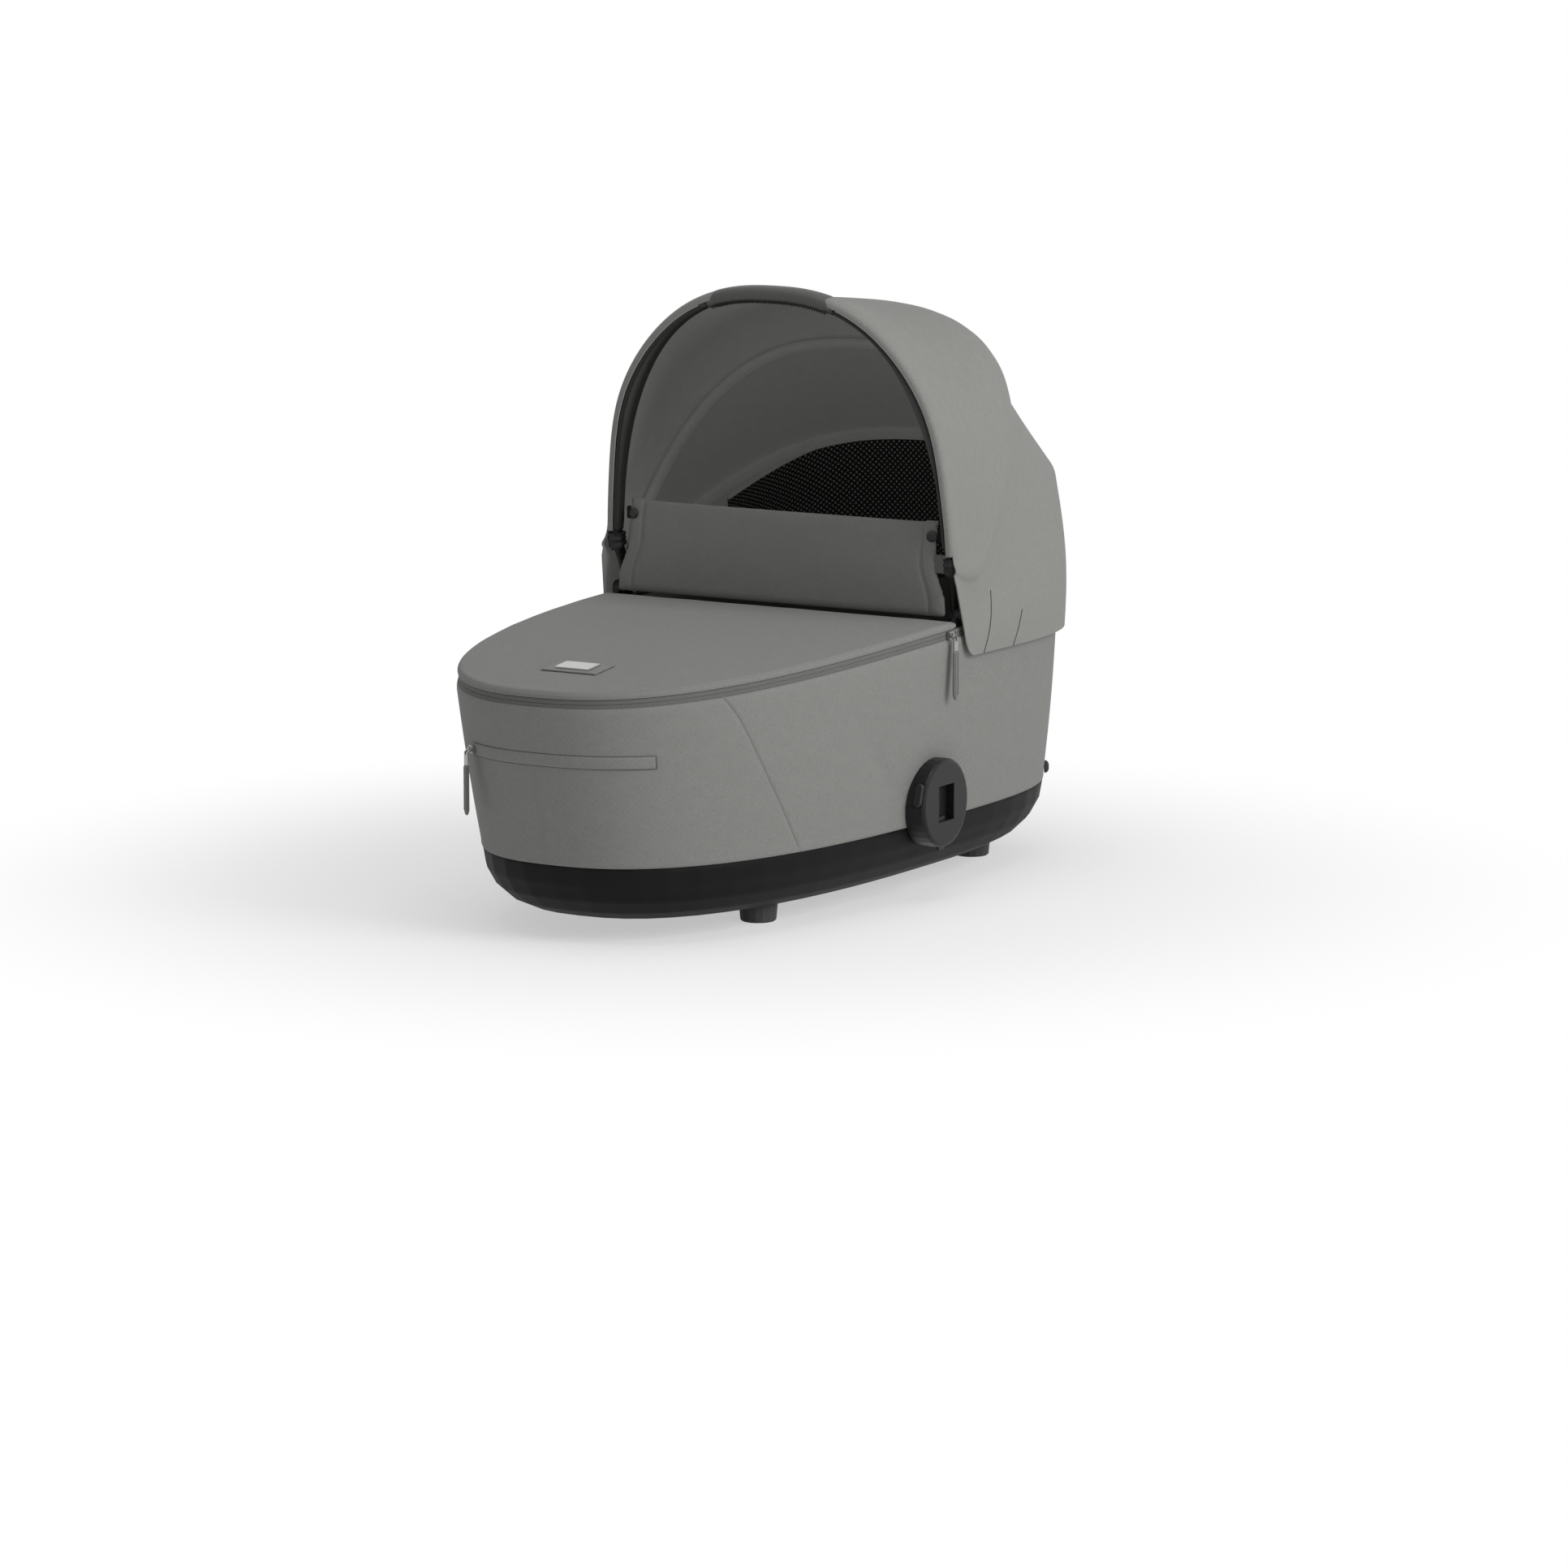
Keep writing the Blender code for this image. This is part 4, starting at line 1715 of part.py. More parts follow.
def build_pocket(finishes):
    """The zipped pocket opening round the foot end."""
    low = WELT_Z - WELT_HEIGHT / 2.0
    high = WELT_Z + WELT_HEIGHT / 2.0
    slot = WELT_SLOT / 2.0
    outs = ((-GAP, low), (-WELT_THICKNESS, low), (-WELT_THICKNESS, WELT_Z - slot),
            (-WELT_THICKNESS / 2.0, WELT_Z), (-WELT_THICKNESS, WELT_Z + slot),
            (-WELT_THICKNESS, high), (-GAP, high))
    lines = [welt_line(height, inset) for inset, height in outs]
    loops = [[line[index] for line in lines] for index in range(len(lines[0]))]
    capped_body("pocket_welt", loops, finishes["welt"])
    line = welt_line(WELT_Z, -WELT_THICKNESS)
    along = (line[1] - line[0]).normalized()
    place = line[0] + along * WELT_SLIDER_MARGIN
    outward = Vector((along.y, -along.x, 0.0)).normalized()
    build_pull("pocket", place + outward * (CLOSE_GAP + CLOSE_GAP), outward, finishes)


def build_studs(finishes):
    """A small rounded stud low on each rear corner."""
    level = (STUD_Z - BAND_Z) / (rim_height(0.0) - COVER_TOP_DROP - BAND_Z)
    ring = side_ring(level, 0.0)
    half = len(ring) // 2
    for side, sign in (("right", 1.0), ("left", -1.0)):
        for index in range(half, 0, -1):
            if ring[index - 1].x >= STUD_X:
                first = ring[index]
                second = ring[index - 1]
                break
        share = (STUD_X - first.x) / (second.x - first.x)
        place = first.lerp(second, share)
        along = (first - second).normalized()
        outward = Vector((along.y, -along.x, 0.0)).normalized()
        place = place + outward * (CLOSE_GAP + CLOSE_GAP)
        place = Vector((sign * place.x, place.y, STUD_Z))
        outward = Vector((sign * outward.x, outward.y, 0.0))
        stations = ((0.0, STUD_RADIUS), (STUD_HEIGHT * 0.45, STUD_RADIUS),
                    (STUD_HEIGHT * 0.8, STUD_RADIUS * 0.8), (STUD_HEIGHT, STUD_RADIUS * 0.45))
        rod(f"rear_stud_{side}", place, outward, stations, STUD_SIDES, finishes["stud"])


def make_finishes():
    """Colours, roughness and metal of every kind of piece."""
    table = {
        "hull": ((0.014, 0.014, 0.014), 0.45, 0.0),
        "foot": ((0.035, 0.035, 0.036), 0.70, 0.0),
        "screw": ((0.42, 0.42, 0.42), 0.35, 1.0),
        "body_fabric": ((0.235, 0.235, 0.225), 0.90, 0.0),
        "board": ((0.05, 0.05, 0.05), 0.60, 0.0),
        "frame": ((0.02, 0.02, 0.02), 0.50, 0.0),
        "lining": ((0.10, 0.10, 0.095), 0.95, 0.0),
        "zip_band": ((0.20, 0.20, 0.19), 0.85, 0.0),
        "mattress": ((0.60, 0.60, 0.58), 0.95, 0.0),
        "apron_fabric": ((0.225, 0.225, 0.215), 0.90, 0.0),
        "patch": ((0.17, 0.17, 0.165), 0.60, 0.0),
        "metal": ((0.55, 0.55, 0.55), 0.30, 1.0),
        "hood_fabric": ((0.28, 0.28, 0.265), 0.90, 0.0),
        "bow": ((0.012, 0.012, 0.012), 0.45, 0.0),
        "boot": ((0.02, 0.02, 0.02), 0.65, 0.0),
        "grip": ((0.085, 0.085, 0.082), 0.50, 0.0),
        "mesh": ((0.015, 0.015, 0.015), 0.85, 0.0),
        "flap_fabric": ((0.13, 0.13, 0.125), 0.90, 0.0),
        "snap": ((0.02, 0.02, 0.02), 0.35, 0.0),
        "strap": ((0.02, 0.02, 0.02), 0.80, 0.0),
        "adapter": ((0.010, 0.010, 0.010), 0.40, 0.0),
        "button": ((0.016, 0.016, 0.016), 0.30, 0.0),
        "latch": ((0.05, 0.05, 0.05), 0.40, 0.0),
        "welt": ((0.20, 0.20, 0.19), 0.85, 0.0),
        "tab": ((0.24, 0.24, 0.23), 0.60, 0.0),
        "stud": ((0.012, 0.012, 0.012), 0.50, 0.0),
    }
    return {name: make_material(name, *values) for name, values in table.items()}


def build_all():
    clear_scene()
    finishes = make_finishes()
    build_hull(finishes)
    build_feet(finishes)
    build_walls(finishes)
    build_floor(finishes)
    build_apron(finishes)
    build_badge(finishes)
    build_cloth(finishes)
    build_front_bow(finishes)
    build_mid_bow(finishes)
    build_rear_bow(finishes)
    build_hinges(finishes)
    build_flap(finishes)
    build_straps(finishes)
    build_mesh_window(finishes)
    build_adapters(finishes)
    anchor, outward = rim_slider_anchor()
    build_pull("rim_zip", anchor, outward, finishes)
    build_pocket(finishes)
    build_studs(finishes)
    for made in bpy.data.objects:
        made.location.y += CENTRE_SHIFT_Y


build_all()
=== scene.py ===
# %% [markdown]
# # A carrycot in fabric, leather and moulded plastic
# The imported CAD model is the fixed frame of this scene. Every hard piece of it stays where it is
# and only gets a finish. Every soft piece is built again here as sewn cloth, padding or leather,
# at the place that the CAD solid holds, and rides on the same body.

# %% Load the frame
import json
import math

import bmesh
import bpy
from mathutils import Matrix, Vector, noise
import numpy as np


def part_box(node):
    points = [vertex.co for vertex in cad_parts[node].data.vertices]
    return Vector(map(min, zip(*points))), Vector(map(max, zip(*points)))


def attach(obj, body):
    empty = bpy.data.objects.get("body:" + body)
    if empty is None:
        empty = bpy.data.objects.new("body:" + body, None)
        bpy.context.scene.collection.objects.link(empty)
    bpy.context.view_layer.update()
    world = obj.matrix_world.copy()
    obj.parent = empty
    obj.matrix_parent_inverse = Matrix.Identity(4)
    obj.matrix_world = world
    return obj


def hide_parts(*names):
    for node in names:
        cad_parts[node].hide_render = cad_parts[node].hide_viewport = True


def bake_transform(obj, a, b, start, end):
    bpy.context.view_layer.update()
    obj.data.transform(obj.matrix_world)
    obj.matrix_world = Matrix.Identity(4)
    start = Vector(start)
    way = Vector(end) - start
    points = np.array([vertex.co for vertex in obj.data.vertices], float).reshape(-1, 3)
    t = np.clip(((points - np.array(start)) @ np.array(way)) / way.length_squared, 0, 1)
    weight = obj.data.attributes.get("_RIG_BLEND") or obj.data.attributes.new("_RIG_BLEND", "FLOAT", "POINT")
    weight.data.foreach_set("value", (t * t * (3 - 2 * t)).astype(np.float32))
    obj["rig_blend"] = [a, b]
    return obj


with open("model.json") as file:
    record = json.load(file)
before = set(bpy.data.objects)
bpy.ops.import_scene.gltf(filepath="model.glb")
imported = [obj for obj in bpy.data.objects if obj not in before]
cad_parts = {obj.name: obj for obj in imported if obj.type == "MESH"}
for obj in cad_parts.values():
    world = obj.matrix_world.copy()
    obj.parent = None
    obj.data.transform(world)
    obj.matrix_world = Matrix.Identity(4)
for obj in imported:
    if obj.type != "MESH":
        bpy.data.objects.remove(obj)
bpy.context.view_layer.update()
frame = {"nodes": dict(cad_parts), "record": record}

# %% [markdown]
# ## Camera
# The photograph was taken from the foot end, a little to the right and just above the rim, with
# a long lens from about seven metres. The camera stands there with no tilt to the side. A long
# lens keeps the near and the far side of the hood almost the same size, as the photograph does.

# %% Camera
VIEW_TURN = math.radians(30.9157)
VIEW_RISE = math.radians(9.615)
CAMERA_PLACE = (3.5286, -5.8276, 1.2567)
LENS = 159.48

backwards = Vector((math.sin(VIEW_TURN) * math.cos(VIEW_RISE),
                    -math.cos(VIEW_TURN) * math.cos(VIEW_RISE), math.sin(VIEW_RISE)))
camera = bpy.data.objects.new("camera", bpy.data.cameras.new("camera"))
bpy.context.collection.objects.link(camera)
camera.location = CAMERA_PLACE
camera.rotation_euler = (-backwards).to_track_quat("-Z", "Y").to_euler()
camera.data.lens = LENS
camera.data.sensor_width = 36.0
bpy.context.scene.camera = camera
bpy.context.scene.view_settings.view_transform = "Standard"
print("camera is", round(camera.location.length, 2), "m from the origin")

# %% [markdown]
# ## Shader maths
# A procedural finish is a net of small nodes. Adding them one by one hides the formula, so one
# class wraps a socket and lets Python's operators add the Math nodes. All other nodes come from
# one method of the net, which takes the node's type, its settings and its sockets. The finishes
# and the sky are such nets.


# %% Signals and finishes
class Signal:
    """A number on its way through a finish; operators on it add Math nodes."""

    def __init__(self, finish, socket):
        self.finish = finish
        self.socket = socket

    def maths(self, operation, *values):
        sockets = dict(enumerate(values))
        made = self.finish.node("ShaderNodeMath", {"operation": operation}, sockets)
        return Signal(self.finish, made.outputs[0])

    def __add__(self, other):
        return self.maths("ADD", self, other)

    def __radd__(self, other):
        return self.maths("ADD", other, self)

    def __sub__(self, other):
        return self.maths("SUBTRACT", self, other)

    def __rsub__(self, other):
        return self.maths("SUBTRACT", other, self)

    def __mul__(self, other):
        return self.maths("MULTIPLY", self, other)

    def __rmul__(self, other):
        return self.maths("MULTIPLY", other, self)

    def __pow__(self, other):
        return self.maths("POWER", self, other)

    def wave(self, length):
        """A sine wave between 0 and 1 that repeats after a length."""
        turned = self * (2.0 * math.pi / length)
        return turned.maths("SINE", turned) * 0.5 + 0.5

    def size(self):
        return self.maths("ABSOLUTE", self)

    def most(self, other):
        return self.maths("MAXIMUM", self, other)

    def ramp(self, low, high):
        """0 below low, 1 above high, and a smooth climb between them."""
        settings = {"interpolation_type": "SMOOTHSTEP"}
        sockets = {"Value": self, "From Min": low, "From Max": high}
        made = self.finish.node("ShaderNodeMapRange", settings, sockets)
        return Signal(self.finish, made.outputs["Result"])


class Net:
    """A net of nodes, to which one call adds a node with its settings and sockets."""

    def __init__(self, tree):
        self.tree = tree

    def node(self, kind, settings=None, sockets=None):
        """Adds a node: its settings first, then the values or links of its sockets."""
        made = self.tree.nodes.new(kind)
        for setting, value in (settings or {}).items():
            setattr(made, setting, value)
        for socket, value in (sockets or {}).items():
            value = value.socket if isinstance(value, Signal) else value
            if isinstance(value, bpy.types.NodeSocket):
                self.tree.links.new(value, made.inputs[socket])
            else:
                made.inputs[socket].default_value = value
        return made

    def seen(self):
        """1 for what the camera sees, straight or by way of gloss or glass, and 0 for light."""
        rays = self.node("ShaderNodeLightPath")
        found = Signal(self, rays.outputs["Is Camera Ray"])
        for other_ray in ("Is Glossy Ray", "Is Transmission Ray"):
            found = found.most(Signal(self, rays.outputs[other_ray]))
        return found


class Finish(Net):
    """A material with one Principled shader and the nodes that feed it."""

    def __init__(self, name, roughness=0.6, metallic=0.0, fixed=None):
        self.material = bpy.data.materials.new(name)
        self.material.use_nodes = True
        super().__init__(self.material.node_tree)
        self.surface = self.tree.nodes["Principled BSDF"]
        values = {"Roughness": roughness, "Metallic": metallic, **(fixed or {})}
        for socket, value in values.items():
            self.surface.inputs[socket].default_value = value

    def place(self, kind="Object"):
        """Coordinates in metres: Object follows the piece, UV follows the cloth."""
        return self.node("ShaderNodeTexCoord").outputs[kind]

    def parts(self, vector):
        split = self.node("ShaderNodeSeparateXYZ", None, {"Vector": vector})
        return [Signal(self, split.outputs[axis]) for axis in ("X", "Y", "Z")]

    def grain(self, vector, size, detail=2.0, rough=0.5):
        """Soft noise whose blobs are about as large as size, in metres."""
        sockets = {"Vector": vector, "Scale": 1.0 / size, "Detail": detail, "Roughness": rough}
        made = self.node("ShaderNodeTexNoise", None, sockets)
        return Signal(self, made.outputs["Fac"])

    def cells(self, vector, size):
        made = self.node("ShaderNodeTexVoronoi", None, {"Vector": vector, "Scale": 1.0 / size})
        return Signal(self, made.outputs["Distance"])

    def blend_colour(self, share, first, second):
        """A colour between two others, through a Mix node."""
        ends = {index: end if isinstance(end, bpy.types.NodeSocket) else (*end, 1.0)
                for index, end in ((6, first), (7, second))}
        return self.node("ShaderNodeMix", {"data_type": "RGBA"}, {0: share, **ends}).outputs[2]

    def feed(self, name, source):
        """Links a signal or a node's output to an input of the surface."""
        self.tree.links.new(getattr(source, "socket", source), self.surface.inputs[name])

    def relief(self, height, depth, strength, rounding=0.0):
        """Bump of the given depth in metres; rounding softens the facets of a hard piece."""
        sockets = {"Strength": strength, "Distance": depth, "Height": height}
        if rounding:
            round_edges = self.node("ShaderNodeBevel", {"samples": 6}, {"Radius": rounding})
            sockets["Normal"] = round_edges.outputs["Normal"]
        self.feed("Normal", self.node("ShaderNodeBump", None, sockets).outputs["Normal"])


def shade(tone, factor):
    """A colour made lighter or darker by a factor."""
    return tuple(min(value * factor, 1.0) for value in tone)


# %% [markdown]
# ## Floor, background and lamps
# The photograph is a studio cut-out on white. The floor is a pale sheet that keeps the soft
# shadow of the object. Away from the object it turns into plain white for the camera, so that
# no horizon shows. The lamps are large and soft, the strongest of them on the right, because
# the foot end of the body is the darker side in the photograph.

# %% Floor
FLOOR_SIZE = 9.0
SHADOW_REACH = 0.50
WHITE = (1.0, 1.0, 1.0, 1.0)

floor_mesh = bpy.data.meshes.new("floor")
corners = [(x * FLOOR_SIZE, y * FLOOR_SIZE, 0.0) for x, y in ((-1, -1), (1, -1), (1, 1), (-1, 1))]
floor_mesh.from_pydata(corners, [], [(0, 1, 2, 3)])
floor = bpy.data.objects.new("floor", floor_mesh)
bpy.context.collection.objects.link(floor)
pale = Finish("pale_floor", 0.9, 0.0, {"Base Color": (0.93, 0.93, 0.93, 1.0),
                                       "Specular IOR Level": 0.1})
glow = pale.node("ShaderNodeEmission", None, {"Color": WHITE, "Strength": 1.0})
east, north, _ = pale.parts(pale.place())
away = (east * east + north * north) ** 0.5
far_share = away.ramp(SHADOW_REACH * 0.6, SHADOW_REACH * 1.8) * 0.50 + 0.50
floor_mix = pale.node("ShaderNodeMixShader", None,
                      {0: pale.seen() * far_share, 1: pale.surface.outputs["BSDF"],
                       2: glow.outputs["Emission"]})
sheet_out = pale.tree.nodes["Material Output"]
pale.tree.links.new(floor_mix.outputs[0], sheet_out.inputs["Surface"])
floor_mesh.materials.append(pale.material)
print("floor", FLOOR_SIZE * 2.0, "m wide")

# %% World and lamps
SKY_LEVEL = 0.32

world = bpy.data.worlds.new("studio")
bpy.context.scene.world = world
world.use_nodes = True
sky = Net(world.node_tree)
background = sky.tree.nodes["Background"]
background.inputs["Color"].default_value = WHITE
background.inputs["Strength"].default_value = SKY_LEVEL
white = sky.node("ShaderNodeBackground", None, {"Color": WHITE, "Strength": 1.0})
sky_mix = sky.node("ShaderNodeMixShader", None,
                   {0: sky.seen(), 1: background.outputs["Background"],
                    2: white.outputs["Background"]})
sky.tree.links.new(sky_mix.outputs[0], sky.tree.nodes["World Output"].inputs["Surface"])


def soft_lamp(name, place, size, power):
    """A square lamp that faces the middle of the object."""
    lamp = bpy.data.objects.new(name, bpy.data.lights.new(name, "AREA"))
    bpy.context.collection.objects.link(lamp)
    lamp.location = place
    aim = Vector((0.0, 0.0, 0.25)) - lamp.location
    lamp.rotation_euler = aim.to_track_quat("-Z", "Y").to_euler()
    lamp.data.size = size
    lamp.data.energy = power
    return lamp


soft_lamp("side_lamp", (3.3, -0.2, 1.8), 1.8, 66.0)
soft_lamp("top_lamp", (0.3, -0.6, 3.4), 2.2, 26.0)
print("sky level", SKY_LEVEL)

# %% [markdown]
# ## Shape of the body
# The body is a long oval, fuller at the head than at the foot, that widens from the hull's band
# up to the rim. Each loop round it is a superellipse, and the rim climbs towards the hinges.
# The same formulas made the CAD solids; here they are only sampled far more finely, so that
# the cloth bends without facets. Places are in the maker's frame and are moved to the CAD's
# frame when a mesh is made.

# %% Sizes of the body
SHIFT = 0.065
GAP = 0.0003
BAND_Z = 0.0775
BAND_SIZES = (0.190, -0.432, 0.3165)
TOP_SIZES = (0.2055, -0.4655, 0.3225)
WIDEST_Y = 0.020
FOOT_POWER = 2.5
HEAD_POWER = 3.2
RIM_FOOT_Z = 0.2428
RIM_RISE = 0.0247
RIM_EASE = 1.34
COVER_TOP_DROP = 0.0090
COVER_BULGE = 0.0015
PLAN_STEPS = 150
TURN_WEIGHT = 0.080


def clamp(value):
    return min(max(value, 0.0), 1.0)


def smooth(value):
    value = clamp(value)
    return value * value * (3.0 - 2.0 * value)


def mix(first, second, share):
    return first + (second - first) * share


def bell(distance, width):
    """1 at the middle of a line and 0 well away from it."""
    return math.exp(-(distance / width) ** 2)


def eased(value, exponent):
    """A sine or cosine raised to an exponent, with its sign kept, as a superellipse needs."""
    return math.copysign(abs(value) ** exponent, value)


def half_shape(is_foot, sizes):
    """Reach and power of the oval's foot half or head half."""
    _, foot_y, head_y = sizes
    return (WIDEST_Y - foot_y, FOOT_POWER) if is_foot else (head_y - WIDEST_Y, HEAD_POWER)


def plan_place(turn, sizes):
    """Point of an oval at a turn from -90 degrees, the foot, to 90 degrees, the head."""
    along = math.sin(turn)
    reach, power = half_shape(along < 0.0, sizes)
    return (sizes[0] * eased(max(math.cos(turn), 0.0), 2.0 / power),
            WIDEST_Y + reach * eased(along, 2.0 / power))


def running(points, turn_weight=0.0):
    """Lengths up to each point of a line; a turn weight lets its bends count for more."""
    lengths = [0.0]
    heading = points[1] - points[0]
    for first, second in zip(points[:-1], points[1:]):
        step = second - first
        turn = step.angle(heading, 0.0) if turn_weight else 0.0
        heading = step
        lengths.append(lengths[-1] + step.length + turn_weight * turn)
    return lengths


def stations(lengths, steps):
    """Equal steps along running lengths, each as an index and a share of the way to the next."""
    found = []
    index = 0
    for step in range(steps + 1):
        target = lengths[-1] * step / steps
        while index < len(lengths) - 2 and lengths[index + 1] < target:
            index += 1
        span = lengths[index + 1] - lengths[index]
        found.append((index, clamp((target - lengths[index]) / span) if span > 0.0 else 0.0))
    return found


def spaced(points, steps):
    """Points at equal distances along a line."""
    return [points[index].lerp(points[index + 1], share)
            for index, share in stations(running(points), steps)]


def oval_turns(steps):
    """Turns from foot to head whose points are well spaced on the rim."""
    dense = []
    for step in range(steps * 12 + 1):
        turn = math.pi * step / (steps * 12) - math.pi / 2.0
        dense.append(Vector((*plan_place(turn, TOP_SIZES), turn)))
    flat = [Vector((point.x, point.y, 0.0)) for point in dense]
    return [mix(dense[index].z, dense[index + 1].z, share)
            for index, share in stations(running(flat, TURN_WEIGHT), steps)]


HALF_TURNS = oval_turns(PLAN_STEPS)


def mirrored(points):
    return [Vector((-point.x, point.y, point.z)) for point in points]


def rim_height(y):
    share = clamp((y - TOP_SIZES[1]) / -TOP_SIZES[1])
    return RIM_FOOT_Z + RIM_RISE * (1.0 - (1.0 - share) ** RIM_EASE)


def side_sizes(level, inset):
    """Half width, foot and head of the body at a share of its height."""
    bulge = COVER_BULGE * math.sin(math.pi * clamp(level)) - inset
    width, foot_y, head_y = (mix(low, high, level) for low, high in zip(BAND_SIZES, TOP_SIZES))
    return width + bulge, foot_y - bulge, head_y + bulge


def oval(sizes, z=0.0):
    """A whole loop at a height: foot middle, right side, head middle, left side."""
    right = [Vector((*plan_place(turn, sizes), z)) for turn in HALF_TURNS]
    return right + mirrored(right[-2:0:-1])


def side_height(y, level):
    return mix(BAND_Z, rim_height(y) - COVER_TOP_DROP, level)


def rim_loop(inset, lift):
    """Loop round the top edge, lift above the rim line."""
    return [Vector((point.x, point.y, rim_height(point.y) + lift))
            for point in oval(side_sizes(1.0, inset))]


print("oval of", 2 * PLAN_STEPS, "points")

# %% [markdown]
# ## Meshes
# Cloth is a surface with a thickness. A grid of points gives its outside, the same grid moved
# against its normals gives its inside, and the border closes it, so that every piece is one
# closed body. The grid also gives the cloth its own flat coordinates in metres, which the
# weave follows wherever the cloth bends.


# %% Mesh helpers
def finish_mesh(name, points, faces, finish, flat=None, second_finish=None, second_faces=()):
    """An object from points, faces and, for each face corner, a place on the flat cloth."""
    mesh = bpy.data.meshes.new(name)
    mesh.from_pydata([(point[0], point[1] + SHIFT, point[2]) for point in points], [], faces)
    if flat is not None:
        layer = mesh.uv_layers.new(name="cloth")
        places = [flat[corner.vertex_index] for corner in mesh.loops]
        for item, place in zip(layer.data, places):
            item.uv = place
    mesh.materials.append(finish.material)
    if second_finish is not None:
        mesh.materials.append(second_finish.material)
        for index in second_faces:
            mesh.polygons[index].material_index = 1
    body = bmesh.new()
    body.from_mesh(mesh)
    bmesh.ops.recalc_face_normals(body, faces=body.faces)
    body.to_mesh(mesh)
    body.free()
    mesh.shade_smooth()
    piece = bpy.data.objects.new(name, mesh)
    bpy.context.collection.objects.link(piece)
    return piece


def grid_normals(grid, closed=False):
    """Normal at each point of a grid; closed grids wrap round along their rows."""
    rows = len(grid)
    columns = len(grid[0])
    normals = []
    for row in range(rows):
        line = []
        for column in range(columns):
            along = grid[min(row + 1, rows - 1)][column] - grid[max(row - 1, 0)][column]
            if closed:
                ahead = grid[row][(column + 1) % columns]
                behind = grid[row][column - 1]
            else:
                ahead = grid[row][min(column + 1, columns - 1)]
                behind = grid[row][max(column - 1, 0)]
            line.append(along.cross(ahead - behind).normalized())
        normals.append(line)
    return normals


def grid_measures(grid, closed=False):
    """Flat place of each point, and the width, length and area of the cloth."""
    columns = len(grid[0])
    middle = grid[len(grid) // 2]
    across = running(middle)
    down = running([row[columns // 2] for row in grid])
    flat = [(u, v) for v in down for u in across]
    widest = max(running(row)[-1] for row in grid)
    longest = max(running(column)[-1] for column in zip(*grid))
    if closed:
        widest += (middle[0] - middle[-1]).length
    area = 0.0
    for upper, lower in zip(grid[:-1], grid[1:]):
        for column in range(columns if closed else columns - 1):
            after = (column + 1) % columns
            first = lower[after] - upper[column]
            second = lower[column] - upper[after]
            area += first.cross(second).length / 2.0
    return flat, widest, longest, area


def band_faces(rows, count, start=0, closed=True):
    """Quads between neighbouring rows of count points."""
    faces = []
    for low in range(start, start + (rows - 1) * count, count):
        for step in range(count if closed else count - 1):
            after = (step + 1) % count
            faces.append((low + step, low + after, low + count + after, low + count + step))
    return faces


def tube_faces(rows, count, start=0):
    """Quads between loops, and a face over each end."""
    last = start + (rows - 1) * count
    return band_faces(rows, count, start) + [tuple(range(start + count - 1, start - 1, -1)),
                                             tuple(range(last, last + count))]


def fan_faces(start, count, peak):
    """Triangles between a loop and a peak."""
    return [(start + step, start + (step + 1) % count, peak) for step in range(count)]


def grid_border(rows, columns):
    """Indexes round the border of an open grid."""
    last = (rows - 1) * columns
    return (list(range(columns)) + [row * columns + columns - 1 for row in range(1, rows)]
            + [last + column for column in range(columns - 2, -1, -1)]
            + [row * columns for row in range(rows - 2, 0, -1)])


GRID_ROWS = {}


def set_normals(piece, directions, quads):
    """Gives the two faces of a sheet the normals of its grid, so that seams don't show."""
    count = len(directions)
    wanted = []
    for polygon in piece.data.polygons:
        for index in polygon.vertices:
            if polygon.index >= 2 * quads or index >= 2 * count:
                wanted.append((0.0, 0.0, 0.0))
            elif polygon.index % 2 == 0:
                wanted.append(tuple(directions[index]))
            else:
                wanted.append(tuple(-directions[index - count]))
    piece.data.normals_split_custom_set(wanted)


def cloth_piece(name, grid, thickness, outside, inside=None, closed=False, normals=None,
                edge_round=0.25, keep_normals=False):
    """A closed thick sheet through a grid, thickened against its normals."""
    normals = normals or grid_normals(grid, closed)
    rows = len(grid)
    columns = len(grid[0])
    flat, width, length, area = grid_measures(grid, closed)
    outer = [point.copy() for line in grid for point in line]
    directions = [direction for line in normals for direction in line]
    inner = [point - direction * thickness for point, direction in zip(outer, directions)]
    under = rows * columns
    faces = []
    for quad in band_faces(rows, columns, closed=closed):
        faces += [quad, tuple(under + index for index in reversed(quad))]
    quads = len(faces) // 2
    if closed:
        borders = [range(columns), range(under - 1, under - columns - 1, -1)]
    else:
        borders = [grid_border(rows, columns)]
    points = outer + inner
    flat = flat + flat
    grid_rows = [row for row in range(rows) for _ in range(columns)] * 2
    for border in borders:
        start = len(points)
        count = len(border)
        for step, index in enumerate(border):
            row, column = divmod(index, columns)
            inward = grid[1 if row == 0 else rows - 2 if row == rows - 1 else row][column]
            if not closed and column in (0, columns - 1) and row not in (0, rows - 1):
                inward = grid[row][1 if column == 0 else columns - 2]
            out = (grid[row][column] - inward).normalized() * (thickness * edge_round)
            points.append(outer[index].lerp(inner[index], 0.5) + out)
            flat.append(flat[index])
            grid_rows.append(row)
            second = border[(step + 1) % count]
            low = start + step
            high = start + (step + 1) % count
            faces += [(index, low, high, second), (low, under + index, under + second, high)]
    piece = finish_mesh(name, points, faces, outside, flat, inside, range(1, 2 * quads, 2))
    GRID_ROWS[name] = grid_rows
    if keep_normals:
        set_normals(piece, [direction.normalized() for direction in directions], quads)
    piece["cloth_width"] = width
    piece["cloth_length"] = length
    piece["cloth_area"] = area
    print(name, len(faces), "faces,", round(width, 3), "x", round(length, 3), "m of cloth")
    return piece


def declare_sheet(piece):
    width, length, area = (piece[f"cloth_{word}"] for word in ("width", "length", "area"))
    spare = max(area / (width * length), 1.0)
    width * spare


